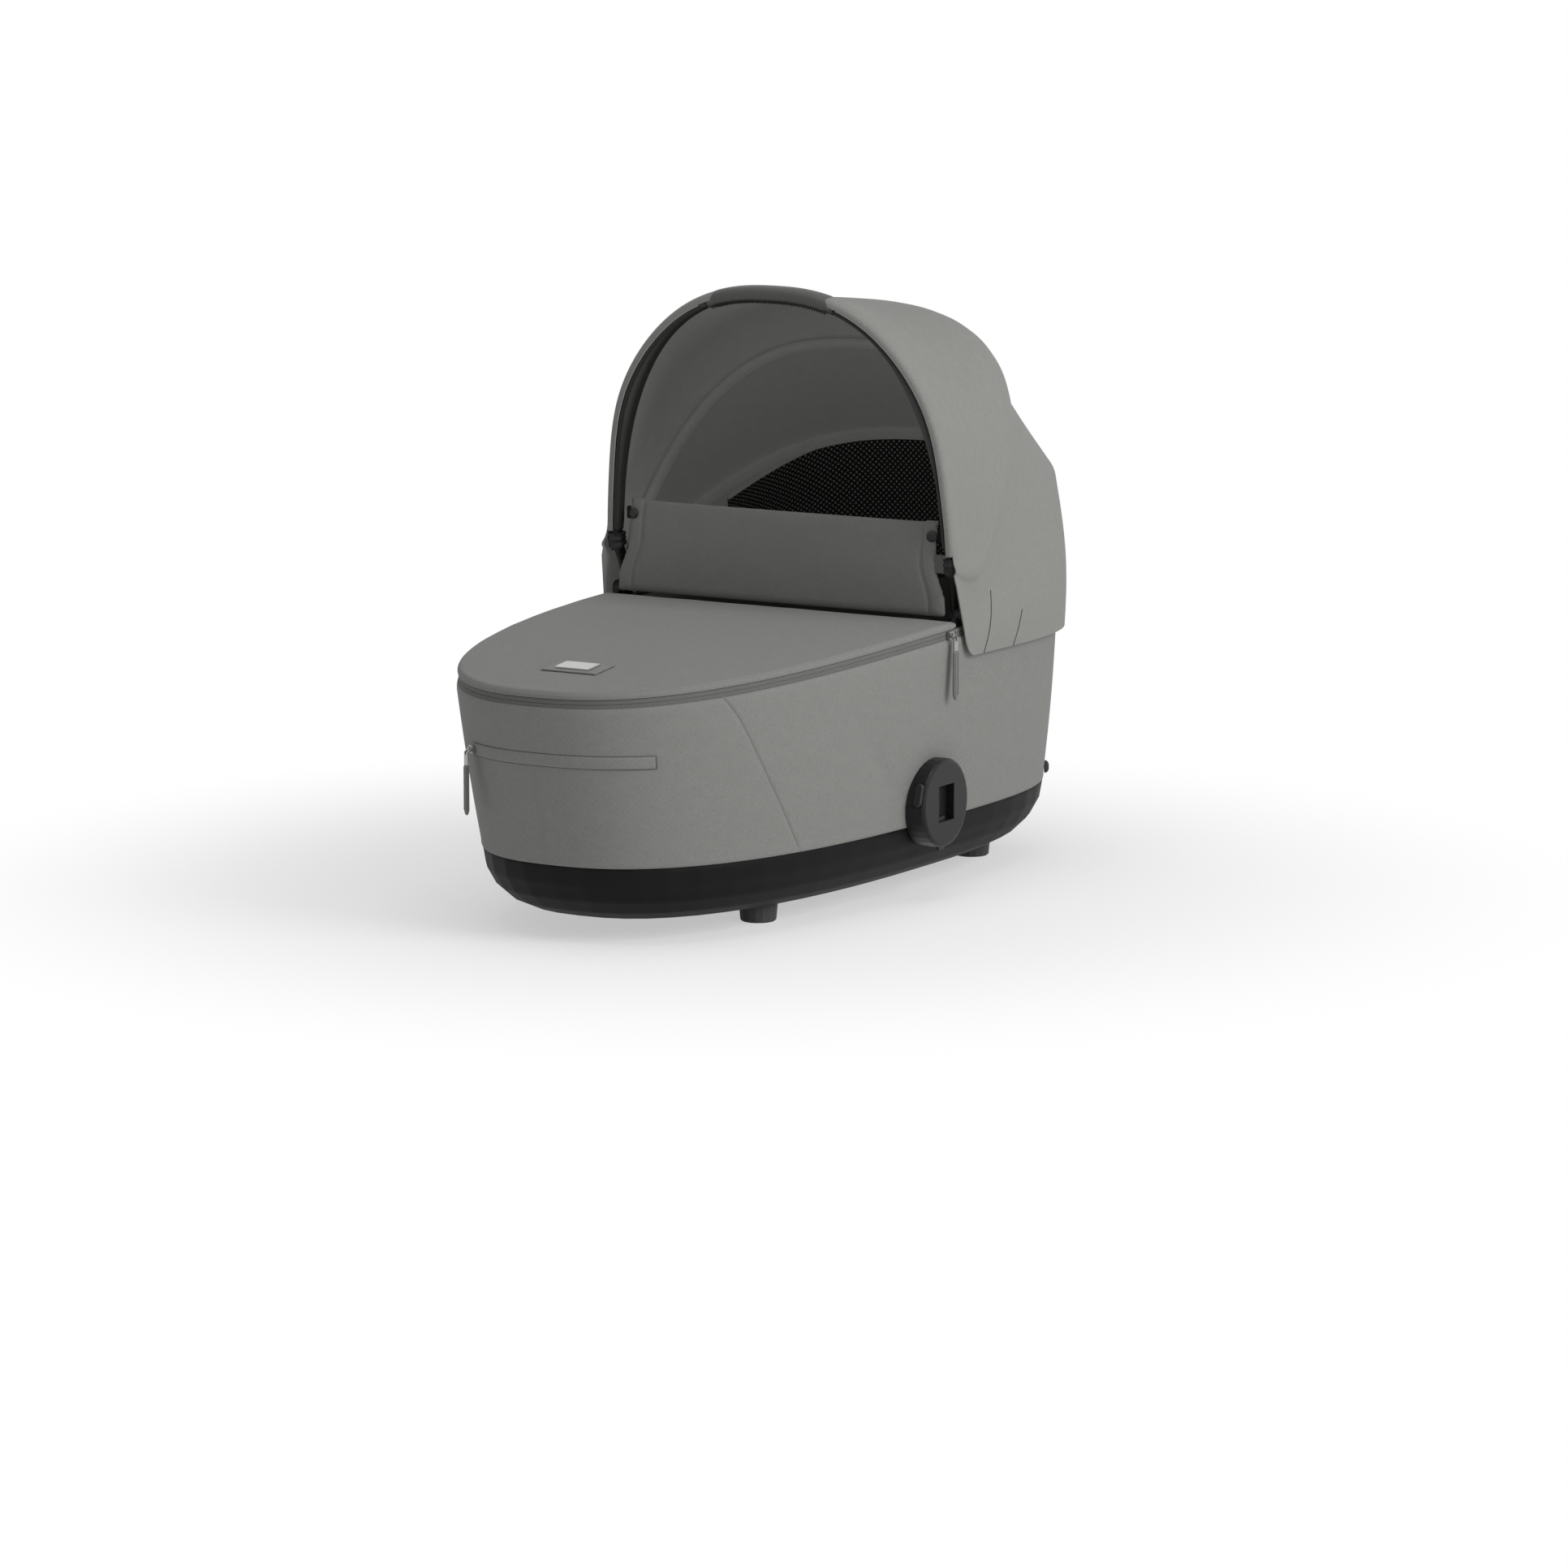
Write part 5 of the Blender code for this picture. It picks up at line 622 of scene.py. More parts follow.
def tube_piece(name, line, axis, sections, finish):
    """A body along a line; each section lists its offsets outward and along the axis."""
    points = []
    flat = []
    reach = running(line)
    for index, point in enumerate(line):
        before = line[max(index - 1, 0)]
        after = line[min(index + 1, len(line) - 1)]
        tangent = (after - before).normalized()
        outward = axis.cross(tangent).normalized()
        depth = tangent.cross(outward).normalized()
        loop = [point + outward * out + depth * deep for out, deep in sections[index]]
        flat += [(reach[index], around) for around in running(loop)]
        points += loop
    return finish_mesh(name, points, tube_faces(len(line), len(sections[0])), finish, flat)


def section_place(turn, half_out, half_deep, power=2.9):
    """Offsets (outward, depth) at a turn round a rounded section; -90 degrees is its front."""
    exponent = 2.0 / power
    return half_out * eased(math.cos(turn), exponent), half_deep * eased(math.sin(turn), exponent)


def round_section(half_out, half_deep, count, power):
    """A rounded section of (outward, depth) offsets."""
    return [section_place(2.0 * math.pi * step / count, half_out, half_deep, power)
            for step in range(count)]

# %% [markdown]
# ## Woven finishes
# The outside is a melange cloth: two greys of yarn in a plain weave with a faint twill line.
# From a few metres it reads as an even warm grey with a soft mottle. The weave is a product of
# two waves in the cloth's own flat coordinates, at a thread of about eight tenths of a
# millimetre, and the yarns' two tones come from fine noise stretched along them.

# %% Woven cloth
THREAD = 0.0008
FINE_THREAD = 0.0006
SEWING_THREAD = 0.0004
YARN_STRETCH = 0.28
PAINTED_GLOW = 0.19


def woven(name, tone, contrast=0.10, thread=THREAD, depth=0.00010, flow="UV", sheen=0.06,
          mottle=0.02, roughness=0.88, through=0.0):
    """A plain woven cloth of two yarn tones; through is a painted glow: the cloth's colour also shines as
    emission at this strength, so it looks lit from behind.
    """
    cloth = Finish(name, roughness, 0.0, {"Sheen Weight": sheen, "Sheen Roughness": 0.5,
                                          "Specular IOR Level": 0.25})
    place = cloth.place(flow)
    u, v, w = cloth.parts(place)
    if flow == "Object":
        u = u + v * 0.5
        v = w + v * 0.5
    warp = u.wave(thread * 2.0)
    weft = v.wave(thread * 2.0)
    weave = warp * weft + (1 - warp) * (1 - weft)
    twill = (u + v).wave(thread * 7.0)
    yarns = []
    for stretch in ((1.0, YARN_STRETCH, 1.0), (YARN_STRETCH, 1.0, 1.0)):
        spread = cloth.node("ShaderNodeMapping", {"vector_type": "POINT"},
                            {"Vector": place, "Scale": stretch})
        yarns.append(cloth.grain(spread.outputs[0], thread * 1.6))
    cloudy = cloth.grain(place, 0.016, 3.0)
    melange = (yarns[0] + yarns[1]) * 0.5
    share = (melange.ramp(0.34, 0.66) * 0.62 + weave * 0.24 + twill * 0.14)
    light = shade(tone, 1.0 + contrast)
    dark = shade(tone, 1.0 - contrast)
    mixed = cloth.blend_colour(share, dark, light)
    value = cloudy.ramp(0.3, 0.7) * (2.0 * mottle) + (1.0 - mottle)
    worn = cloth.node("ShaderNodeHueSaturation", None, {"Color": mixed, "Value": value})
    cloth.feed("Base Color", worn.outputs[0])
    # Painted glow: the colour also shines as emission at the strength of through, which lightens shaded
    # cloth with light that no lamp gives.
    if through:
        cloth.feed("Emission Color", worn.outputs[0])
        cloth.surface.inputs["Emission Strength"].default_value = through
    cloth.feed("Roughness", cloudy * 0.10 + (roughness - 0.05))
    cloth.relief(weave * 0.6 + melange * 0.4, depth, 0.7)
    return cloth


body_fabric = woven("body_fabric", (0.236, 0.236, 0.226))
apron_fabric = woven("apron_fabric", (0.226, 0.226, 0.216))
hood_fabric = woven("hood_fabric", (0.262, 0.263, 0.250))
# The hood's lining glows a little: painted light that lifts the shade inside the hood.
hood_inside = woven("hood_lining", (0.225, 0.225, 0.214), 0.08, FINE_THREAD, through=PAINTED_GLOW)
zip_tape = woven("zip_tape", (0.150, 0.150, 0.144), thread=0.0007)
lining_fabric = woven("lining_fabric", (0.105, 0.105, 0.100), thread=FINE_THREAD)
mattress_fabric = woven("mattress_fabric", (0.56, 0.56, 0.54), 0.05, 0.0009, flow="Object",
                        mottle=0.03)
tape_fabric = woven("strap_tape", (0.020, 0.020, 0.020), 0.25, 0.0010, depth=0.0003, sheen=0.05)
flap_fabric = woven("flap_fabric", (0.195, 0.195, 0.186), thread=FINE_THREAD, flow="Object")
# Black cord finish for the skirt's seams and for the painted shade beside the sleeve binding.
seam_and_shade_cord = woven("seam_and_shade_cord", (0.030, 0.030, 0.029), 0.15, FINE_THREAD, flow="Object")
# The channel cloth inside the hood has the same painted glow.
rib_fabric = woven("rib_fabric", (0.250, 0.250, 0.238), thread=FINE_THREAD, flow="Object",
                   through=PAINTED_GLOW)
# Dark thread for the tabs' stitches. The same finish draws the painted shadow lines along the pocket strip.
thread_and_shadow_finish = woven("sewing_thread_and_shadow_lines", (0.085, 0.085, 0.082), 0.20, SEWING_THREAD, flow="Object")
lip_thread = woven("lip_thread", (0.420, 0.420, 0.405), 0.10, SEWING_THREAD, flow="Object")
lace_thread = woven("lace_thread", (0.012, 0.012, 0.012), 0.15, SEWING_THREAD, flow="Object")
print("woven finishes ready")

# %% [markdown]
# ## Moulded, rubber, metal and leather finishes
# Moulded plastic has a fine spark-eroded grain and catches the light a little at its edges,
# where hands and chassis rub it. Rubber is duller and greyer with dust. Zip sliders are cast
# zinc with a slightly uneven polish. The grip and the pull tabs are smooth coated leather with
# a shallow pebble grain.


# %% Hard finishes
def moulded(name, tone, roughness=0.45, grain=0.0006, depth=0.00006, wear=0.5, rounding=0.0,
            gloss=0.22):
    """Plastic with an eroded grain and rubbed edges."""
    plastic = Finish(name, roughness, 0.0, {"Specular IOR Level": gloss})
    place = plastic.place()
    fine = plastic.grain(place, grain, 3.0, 0.65)
    broad = plastic.grain(place, 0.030, 3.0)
    corner = Signal(plastic, plastic.node("ShaderNodeNewGeometry").outputs["Pointiness"])
    rubbed = corner.ramp(0.53, 0.62) * wear
    base = plastic.blend_colour(broad.ramp(0.3, 0.7), shade(tone, 0.88), shade(tone, 1.12))
    scuffed = tuple(value * 1.6 + 0.020 for value in tone)
    plastic.feed("Base Color", plastic.blend_colour(rubbed, base, scuffed))
    plastic.feed("Roughness", fine * 0.16 + broad * 0.10 + (roughness - 0.13) - rubbed * 0.08)
    plastic.relief(fine, depth, 0.8, rounding)
    return plastic


def rubber(name, tone, roughness):
    return moulded(name, tone, roughness, grain=0.0009, depth=0.00009, wear=0.25)


def metal(name, tone, roughness):
    """Cast and tumbled metal."""
    cast = Finish(name, roughness, 1.0)
    place = cast.place()
    fine = cast.grain(place, 0.0008, 3.0, 0.6)
    broad = cast.grain(place, 0.006)
    cast.feed("Base Color", cast.blend_colour(broad, shade(tone, 0.86), shade(tone, 1.12)))
    cast.feed("Roughness", fine * 0.22 + (roughness - 0.08))
    cast.relief(fine, 0.00004, 0.6)
    return cast


def leather(name, tone, roughness, pebble=0.0014, depth=0.00018):
    """Smooth coated leather with a shallow pebble grain and polished tops."""
    hide = Finish(name, roughness, 0.0, {"Specular IOR Level": 0.45})
    place = hide.place()
    pebbles = hide.cells(place, pebble)
    pores = hide.grain(place, pebble * 0.35)
    broad = hide.grain(place, 0.020, 3.0)
    height = pebbles.ramp(0.05, 0.75) * 0.8 + pores * 0.2
    hide.feed("Base Color", hide.blend_colour(height * 0.6 + broad * 0.4,
                                              shade(tone, 1.14), shade(tone, 0.84)))
    hide.feed("Roughness", height * 0.14 + broad * 0.08 + (roughness - 0.10))
    hide.relief(1 - height, depth, 0.6)
    return hide


def grey(value, blue=None):
    """A neutral tone, or one whose blue differs a little."""
    return value, value, value if blue is None else blue


hull_plastic = moulded("hull_plastic", grey(0.0060), 0.56, wear=0.2, rounding=0.008, gloss=0.12)
frame_plastic = moulded("frame_plastic", grey(0.020), 0.50)
adapter_plastic = moulded("adapter_plastic", grey(0.0105, 0.0108), 0.40)
button_plastic = moulded("button_plastic", grey(0.018), 0.32, depth=0.00003)
bow_plastic = moulded("bow_plastic", grey(0.012), 0.45)
snap_plastic = moulded("snap_plastic", grey(0.022), 0.36)
board_plastic = moulded("board_plastic", grey(0.050), 0.60)
foot_rubber = rubber("foot_rubber", grey(0.060, 0.062), 0.70)
boot_rubber = rubber("boot_rubber", grey(0.020), 0.64)
stud_rubber = rubber("stud_rubber", grey(0.030), 0.58)
zinc = metal("cast_zinc", grey(0.36, 0.355), 0.32)
steel = metal("screw_steel", grey(0.42), 0.36)
latch_steel = metal("latch_steel", grey(0.060, 0.062), 0.50)
plate_metal = metal("plate_metal", grey(0.50, 0.495), 0.36)
grip_leather = leather("grip_leather", grey(0.066, 0.064), 0.47)
sleeve_leather = leather("sleeve_leather", grey(0.026, 0.025), 0.50)
tab_leather = leather("tab_leather", grey(0.150, 0.145), 0.55, pebble=0.0010)
patch_leather = leather("patch_leather", grey(0.200, 0.194), 0.58, pebble=0.0008,
                        depth=0.00010)

HARD_FINISHES = {
    "hull": hull_plastic, "foot": foot_rubber, "screw": steel, "board": board_plastic,
    "frame": frame_plastic, "metal": zinc, "bow": bow_plastic, "boot": boot_rubber,
    "snap": snap_plastic, "adapter": adapter_plastic, "button": button_plastic,
    "latch": latch_steel, "stud": stud_rubber}
node_slots = {part["node"]: part["material_slot"] for part in frame["record"]["subparts"]}
finished = 0
for node_name, node_object in frame["nodes"].items():
    chosen = HARD_FINISHES.get(node_slots[node_name])
    if chosen is None:
        continue
    if node_name == "badge_plate":
        chosen = plate_metal
    for holder in node_object.material_slots:
        holder.material = chosen.material
    finished += 1
print("hard nodes finished:", finished)

# %% [markdown]
# ## Fabric side
# The side of the cot is one cloth over a thin hard board. It leaves the hull flush, widens to
# the rim and ends there in a rolled edge. A curved side seam runs down from the foot corner, and
# beside the adapter the cloth is drawn in to a soft groove. The columns of the mesh are bent
# so that one of them runs along the seam, which lets the seam be real geometry.

# %% Side cloth
COVER_THICKNESS = 0.0035
WAIST_DEPTH = 0.0036
WAIST_SPREAD = 0.042
WAIST_LOW_Y = -0.085
WAIST_HIGH_Y = -0.215
SEAM_PLACES = ((0.260, -0.3775), (0.245, -0.3645), (0.2317, -0.3533), (0.2197, -0.3434),
               (0.2029, -0.3327), (0.1774, -0.3168), (0.1518, -0.3000), (0.1257, -0.2823),
               (0.0996, -0.2647), (0.0837, -0.2535), (0.060, -0.2368))
SEAM_OFFSETS = (-0.0060, -0.0022, -0.0008, 0.0, 0.0008, 0.0024, 0.0060)
SEAM_CORNER_Y = -0.35
SEAM_MIDDLE_Z = 0.165
SEAM_MIDDLE_LEVEL = 0.55
SEAM_SINK = 0.0011
SEAM_RIDGE = 0.0005
SIDE_RIPPLE = 0.0007
WAIST_MIN_X = 0.05


def waist(y, level):
    """How far the side is drawn in beside the adapter."""
    rise = smooth((level - 0.06) / 0.28)
    fall = smooth((0.95 - level) / 0.61)
    middle = mix(WAIST_LOW_Y, WAIST_HIGH_Y, level)
    sharp = bell(y - middle, WAIST_SPREAD * 0.32) * 0.55 + bell(y - middle, WAIST_SPREAD) * 0.45
    return WAIST_DEPTH * rise * fall * sharp


def seam_y(z):
    """Where the side seam is at a height."""
    for (high_z, high_y), (low_z, low_y) in zip(SEAM_PLACES[:-1], SEAM_PLACES[1:]):
        if z >= low_z:
            return mix(low_y, high_y, clamp((z - low_z) / (high_z - low_z)))
    return SEAM_PLACES[-1][1]


def turn_at(y, sizes):
    """The turn at which the oval passes a place along the body."""
    reach, power = half_shape(y < WIDEST_Y, sizes)
    share = clamp(abs(y - WIDEST_Y) / reach)
    return math.copysign(math.asin(share ** (power / 2.0)), y - WIDEST_Y)


def seamed_turns(level, sizes):
    """Turns of one row of the side cloth, each with its distance from the seam if it is near."""
    seam_place_y = seam_y(side_height(SEAM_CORNER_Y, level))
    here = turn_at(seam_place_y, sizes)
    rest = turn_at(seam_y(SEAM_MIDDLE_Z), side_sizes(SEAM_MIDDLE_LEVEL, 0.0))
    quarter = math.pi / 2.0
    row = []
    for turn in HALF_TURNS:
        if turn < rest:
            moved = (turn + quarter) * (here + quarter) / (rest + quarter) - quarter
        else:
            moved = quarter - (quarter - turn) * (quarter - here) / (quarter - rest)
        row.append((moved, None))
    step = 0.0005
    rate = (turn_at(seam_place_y + step, sizes) - here) / step
    first = sum(1 for turn in HALF_TURNS if turn < rest)
    seam = [(here + offset * rate, offset) for offset in SEAM_OFFSETS]
    return row[:first - 1] + seam + row[first + 1:]


def side_row(level, inset, lift=0.0):
    """One row of the side cloth, all the way round."""
    sizes = side_sizes(level, inset)
    right = []
    for turn, offset in seamed_turns(level, sizes):
        x, y = plan_place(turn, sizes)
        z = side_height(y, level) + lift
        normal = Vector((x, (y - WIDEST_Y) * 0.6, 0.0)).normalized()
        out = -waist(y, level) if x > WAIST_MIN_X else 0.0
        if offset is not None:
            out -= SEAM_SINK * bell(offset, 0.0011) * smooth(level / 0.04)
            out += SEAM_RIDGE * bell(offset - 0.0030, 0.0022)
        ripple = noise.noise(Vector((x * 14.0, y * 14.0, z * 5.0)))
        out += ripple * SIDE_RIPPLE * math.sin(math.pi * clamp(level))
        right.append(Vector((x, y, z)) + normal * out)
    right[0].x = 0.0
    right[-1].x = 0.0
    return right + mirrored(right[-2:0:-1])


COVER_LEVELS = ([1.0, 0.996, 0.985, 0.965] + [0.94 - 0.045 * step for step in range(20)]
                + [0.06, 0.035, 0.015, 0.0])
cover_rows = []
for level in COVER_LEVELS:
    roll = 0.0012 * smooth((level - 0.975) / 0.025)
    hem = 0.0005 * bell(level - 0.018, 0.014)
    cover_rows.append(side_row(level, roll - hem, GAP if level == 0.0 else 0.0))
side_cloth = cloth_piece("side_cloth", cover_rows, COVER_THICKNESS - 0.0006, body_fabric,
                         lining_fabric, closed=True)
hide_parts("body_cover")
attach(side_cloth, "base")
declare_sheet(side_cloth)

# %% [markdown]
# ## Zip band and lining
# Under the apron's edge runs a recessed band of zip tape with its two halves closed over the
# coil, so only a fine slit shows. Inside the cot a soft lining hangs from the rim to the floor
# board, with a few shallow waves because nothing stretches it.

# %% Zip band
ZIP_INSET = 0.0025
ZIP_BOTTOM_DROP = 0.0087
ZIP_END_Y = 0.004
ZIP_SHARES = (0.0, 0.08, 0.2, 0.32, 0.42, 0.475, 0.5, 0.525, 0.58, 0.7, 0.82, 0.93, 1.0)
ZIP_SLIT = 0.0007
ZIP_RIDGE = 0.0003


def open_run(loop, limit_y):
    """Points of a loop from its right crossing of limit_y, round the foot, to the left one."""
    right = []
    for index in range(len(loop) // 2 + 1):
        if loop[index].y >= limit_y:
            before = loop[index - 1]
            share = (limit_y - before.y) / (loop[index].y - before.y)
            right.append(before.lerp(loop[index], share))
            break
        right.append(loop[index])
    return right[::-1] + mirrored(right[1:])


zip_rows = []
for share in ZIP_SHARES:
    height = mix(-GAP, -ZIP_BOTTOM_DROP, share)
    slit = ZIP_SLIT * bell(share - 0.5, 0.030)
    ridge = ZIP_RIDGE * (bell(share - 0.42, 0.05) + bell(share - 0.58, 0.05))
    zip_rows.append(open_run(rim_loop(ZIP_INSET + slit - ridge, height), ZIP_END_Y)[::-1])
zip_cloth = cloth_piece("zip_tape_band", zip_rows, 0.0009, zip_tape, zip_tape)
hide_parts("rim_zip_band")
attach(zip_cloth, "base")

# %% Inner lining
LINER_TOP_INSET = 0.0134
LINER_TOP_DROP = 0.0020
LINER_MID_INSET = 0.0158
LINER_FOOT_INSET = 0.0198
LINER_FOOT_Z = 0.0503
LINER_MID_Z = 0.1045
LINER_MID_SHARE = 0.72
LINER_SLACK = 0.0016
LINER_STEPS = 20

liner_loops = list(zip(rim_loop(LINER_TOP_INSET, -LINER_TOP_DROP),
                       oval(side_sizes(0.0, LINER_MID_INSET), LINER_MID_Z),
                       oval(side_sizes(0.0, LINER_FOOT_INSET), LINER_FOOT_Z)))
liner_rows = []
for step in range(LINER_STEPS + 1):
    share = step / LINER_STEPS
    row = []
    for top, middle, low in liner_loops:
        if share < LINER_MID_SHARE:
            place = top.lerp(middle, share / LINER_MID_SHARE)
        else:
            place = middle.lerp(low, (share - LINER_MID_SHARE) / (1.0 - LINER_MID_SHARE))
        inward = Vector((-place.x, -(place.y - WIDEST_Y), 0.0)).normalized()
        wave = noise.noise(Vector((place.x * 11.0, place.y * 11.0, place.z * 4.0)))
        row.append(place + inward * (LINER_SLACK * (wave + 0.6) * math.sin(math.pi * share)))
    liner_rows.append(row)
lining_cloth = cloth_piece("lining_cloth", liner_rows, 0.0018, lining_fabric, lining_fabric,
                           closed=True)
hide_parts("inner_lining")
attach(lining_cloth, "base")
declare_sheet(lining_cloth)

# %% [markdown]
# ## Apron
# The apron closes the foot half. Its flat top is lightly padded and crowned, and ends in a
# sewn edge from which a short band turns down over the rim frame. The seam itself is a narrow
# sunk line between the two, with the band standing a little fuller than the seam.

# %% Apron
APRON_INSET = 0.0020
APRON_SEAM_LIFT = 0.0068
APRON_END_Y = -0.0125
APRON_CENTRE_Y = -0.200
APRON_CROWN = 0.0095
APRON_FLAT_START_Y = -0.150
APRON_THICKNESS = 0.0018
APRON_WALL = 0.0016
APRON_END_LIFT = 0.0013
APRON_SEAM_DROP = 0.0009
APRON_END_COUNT = 60
APRON_FLAT = (0.432, 0.475)
PATCH_Y = -0.3823
APRON_SHARES = (0.996, 0.990, 0.982, 0.970, 0.95, 0.92, 0.88, 0.83, 0.77, 0.70, 0.62, 0.54, 0.46,
                0.38, 0.30, 0.22, 0.14, 0.07)
APRON_UNDER_SHARES = (0.992, 0.97, 0.92, 0.70, 0.40)
BAND_SHARES = (0.0, 0.12, 0.3, 0.5, 0.7, 0.86, 0.96)


def apron_rise(y, share):
    """Height of the apron's top over the rim line; share is 1 at its outline."""
    flat = smooth((y - APRON_FLAT_START_Y) / (APRON_END_Y - APRON_FLAT_START_Y))
    crown = 1.0 - share * share
    return APRON_SEAM_LIFT + APRON_CROWN * crown * (1.0 - flat)


def apron_outline(inset):
    side = open_run(rim_loop(inset, 0.0), APRON_END_Y)
    end = [side[-1].lerp(side[0], step / APRON_END_COUNT) for step in range(1, APRON_END_COUNT)]
    return side + end


def apron_place(point, share, drop=0.0):
    """Point of the apron's top on the line from its centre to an outline point."""
    x = point.x * share
    y = mix(APRON_CENTRE_Y, point.y, share)
    slack = noise.noise(Vector((x * 9.0, y * 9.0, 1.7))) * 0.0009 * (1.0 - share)
    tension = noise.noise(Vector((x * 26.0, y * 26.0, 5.1))) * 0.0004 * smooth((share - 0.6) / 0.3)
    near_patch = bell(math.hypot(x, y - PATCH_Y), 0.045)
    z = rim_height(y) + apron_rise(y, share) + (slack + tension) * (1.0 - near_patch) - drop
    return Vector((x, y, z))


outline = apron_outline(APRON_INSET)
inner_outline = apron_outline(APRON_INSET + APRON_WALL)
side_count = len(outline) - APRON_END_COUNT + 1


def apron_low(index):
    """Height of the band's lower edge over the rim; shallow along the head edge."""
    return APRON_END_LIFT if index >= side_count or index == 0 else GAP


loops = []
for share in BAND_SHARES:
    full = 0.0007 * math.sin(math.pi * clamp(share * 1.15))
    out = full - APRON_SEAM_DROP * smooth((share - 0.80) / 0.16)
    loop = []
    for index, point in enumerate(outline):
        lift = mix(apron_low(index), APRON_SEAM_LIFT - APRON_SEAM_DROP, share)
        heading = Vector((point.x, point.y - APRON_CENTRE_Y, 0.0)).normalized()
        loop.append(Vector((point.x, point.y, rim_height(point.y) + lift)) + heading * out)
    loops.append(loop)
for share in APRON_SHARES:
    sunk = 0.0012 * bell(share - 0.994, 0.0032) - 0.0004 * bell(share - 0.984, 0.006)
    loops.append([apron_place(point, share, sunk) for point in outline])
under = [[Vector((point.x, point.y, rim_height(point.y) + apron_low(index)))
          for index, point in enumerate(inner_outline)]]
for share in APRON_UNDER_SHARES:
    under.append([apron_place(point, share, APRON_THICKNESS) for point in inner_outline])
count = len(outline)
points = [point for loop in loops for point in loop]
peak = len(points)
points.append(apron_place(Vector((0.0, APRON_CENTRE_Y, 0.0)), 0.0))
base = len(points)
points += [point for loop in under for point in loop]
under_peak = len(points)
points.append(points[peak] - Vector((0.0, 0.0, APRON_THICKNESS)))
faces = band_faces(len(loops), count) + fan_faces(peak - count, count, peak)
top_faces = len(faces)
faces += band_faces(len(under), count, base) + fan_faces(under_peak - count, count, under_peak)
faces += [(step, (step + 1) % count, base + (step + 1) % count, base + step)
          for step in range(count)]
flat_places = [(point.x, point.y + (point.z if index < len(BAND_SHARES) * count else 0.0))
               for index, point in enumerate(points)]
apron_cloth = finish_mesh("apron_cloth", points, faces, apron_fabric, flat_places)
apron_cloth["cloth_width"], apron_cloth["cloth_length"] = APRON_FLAT
apron_cloth["cloth_area"] = sum(polygon.area for polygon in apron_cloth.data.polygons[:top_faces])
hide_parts("apron")
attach(apron_cloth, "base")
declare_sheet(apron_cloth)
print("apron", len(faces), "faces,", round(apron_cloth["cloth_area"], 4), "square metres")

# %% [markdown]
# ## Lines of the hood
# The hood hangs on three bows that turn about one pair of hinges. Each bow is an arch in a plane
# that leans by its own angle, and its ends bend in to the hinge. The middle line of the front
# bow comes first, because the cloth is wrapped round it.

# %% Hood sizes
PIVOT_Y = 0.0080
PIVOT_Z = 0.2770
FAN_Y = 0.0
FAN_Z = 0.278
FRONT_ARCH = (94.0, 0.2035, 0.3175, 2.53)
MID_ARCH = (51.9, 0.2075, 0.3115, 3.125)
REAR_ARCH = (23.04, 0.2090, 0.3508, 3.08)
ARCH_STEPS = 900
HOOD_COLUMNS = 144
HOOD_ROWS = 22
WRAP_ROWS = 8
CLOTH_THICKNESS = 0.0016
DOME_LIFT_SHARE = 0.132
DOME_PEAK_POWER = 2.6
REAR_SAG = 0.0008
HEM_Z = 0.2355
HEM_RISE = 0.0030
HEM_SIZES = (0.2112, -0.4655, 0.3323)
HEM_CORNER_Y = 0.0100
SKIRT_BULGE = 0.0060
MID_EDGE = Vector((0.2044, -0.0155, 0.3200))
REAR_EDGE = Vector((0.2062, -0.0150, 0.3120))
HEM_EDGE = Vector((0.2109, -0.0020, 0.2520))
EDGE_BLEND = 0.090
WRAP_HEIGHT = 0.050
LIP_TURN = -90.0
LIP_END_TURN = -94.0
CREST_TURN = 10.0
CREST_END_TURN = -52.0
WRAP_CLEARANCE = 0.0003
SHOULDER_Z = 0.4750
SHOULDER_SPREAD = 0.0650
SHOULDER_OUT = 0.0065
FRONT_BOW_RADIAL = 0.0080
FRONT_BOW_DEPTH = 0.0130
SLEEVE_THICKNESS = 0.0034
SLEEVE_END_Z = 0.3376
FRONT_HUB_X = 0.1911
MID_HUB_X = 0.2004
MID_BOW_RADIAL = 0.0042
MID_BOW_DEPTH = 0.0085
BOW_CLEARANCE = 0.0028
ARM_BLEND_HEIGHT = 0.050
SLEEVE_OUT = FRONT_BOW_RADIAL / 2.0 + SLEEVE_THICKNESS
SLEEVE_DEEP = FRONT_BOW_DEPTH / 2.0 + SLEEVE_THICKNESS


def arch_points(arch):
    """Dense points of a hood arch from right to left, in a plane that leans by its angle."""
    angle, half_width, reach, power = arch
    turn = math.radians(angle)
    exponent = 2.0 / power
    points = []
    for step in range(ARCH_STEPS + 1):
        around = math.pi * step / ARCH_STEPS
        radius = reach * eased(max(math.sin(around), 0.0), exponent)
        points.append(Vector((half_width * eased(math.cos(around), exponent),
                              FAN_Y + radius * math.cos(turn), FAN_Z + radius * math.sin(turn))))
    return points


def gentle_curve(start, bend, end, steps):
    """Points of a curve that leaves start for bend and comes to end, without its last point."""
    shares = [step / steps for step in range(steps)]
    return [start.lerp(bend, share).lerp(bend.lerp(end, share), share) for share in shares]


def symmetric_row(right, columns):
    """Evenly spaced points along a right half and back along its mirror image."""
    half = spaced(right, columns // 2)
    return half + mirrored(half[-2::-1])


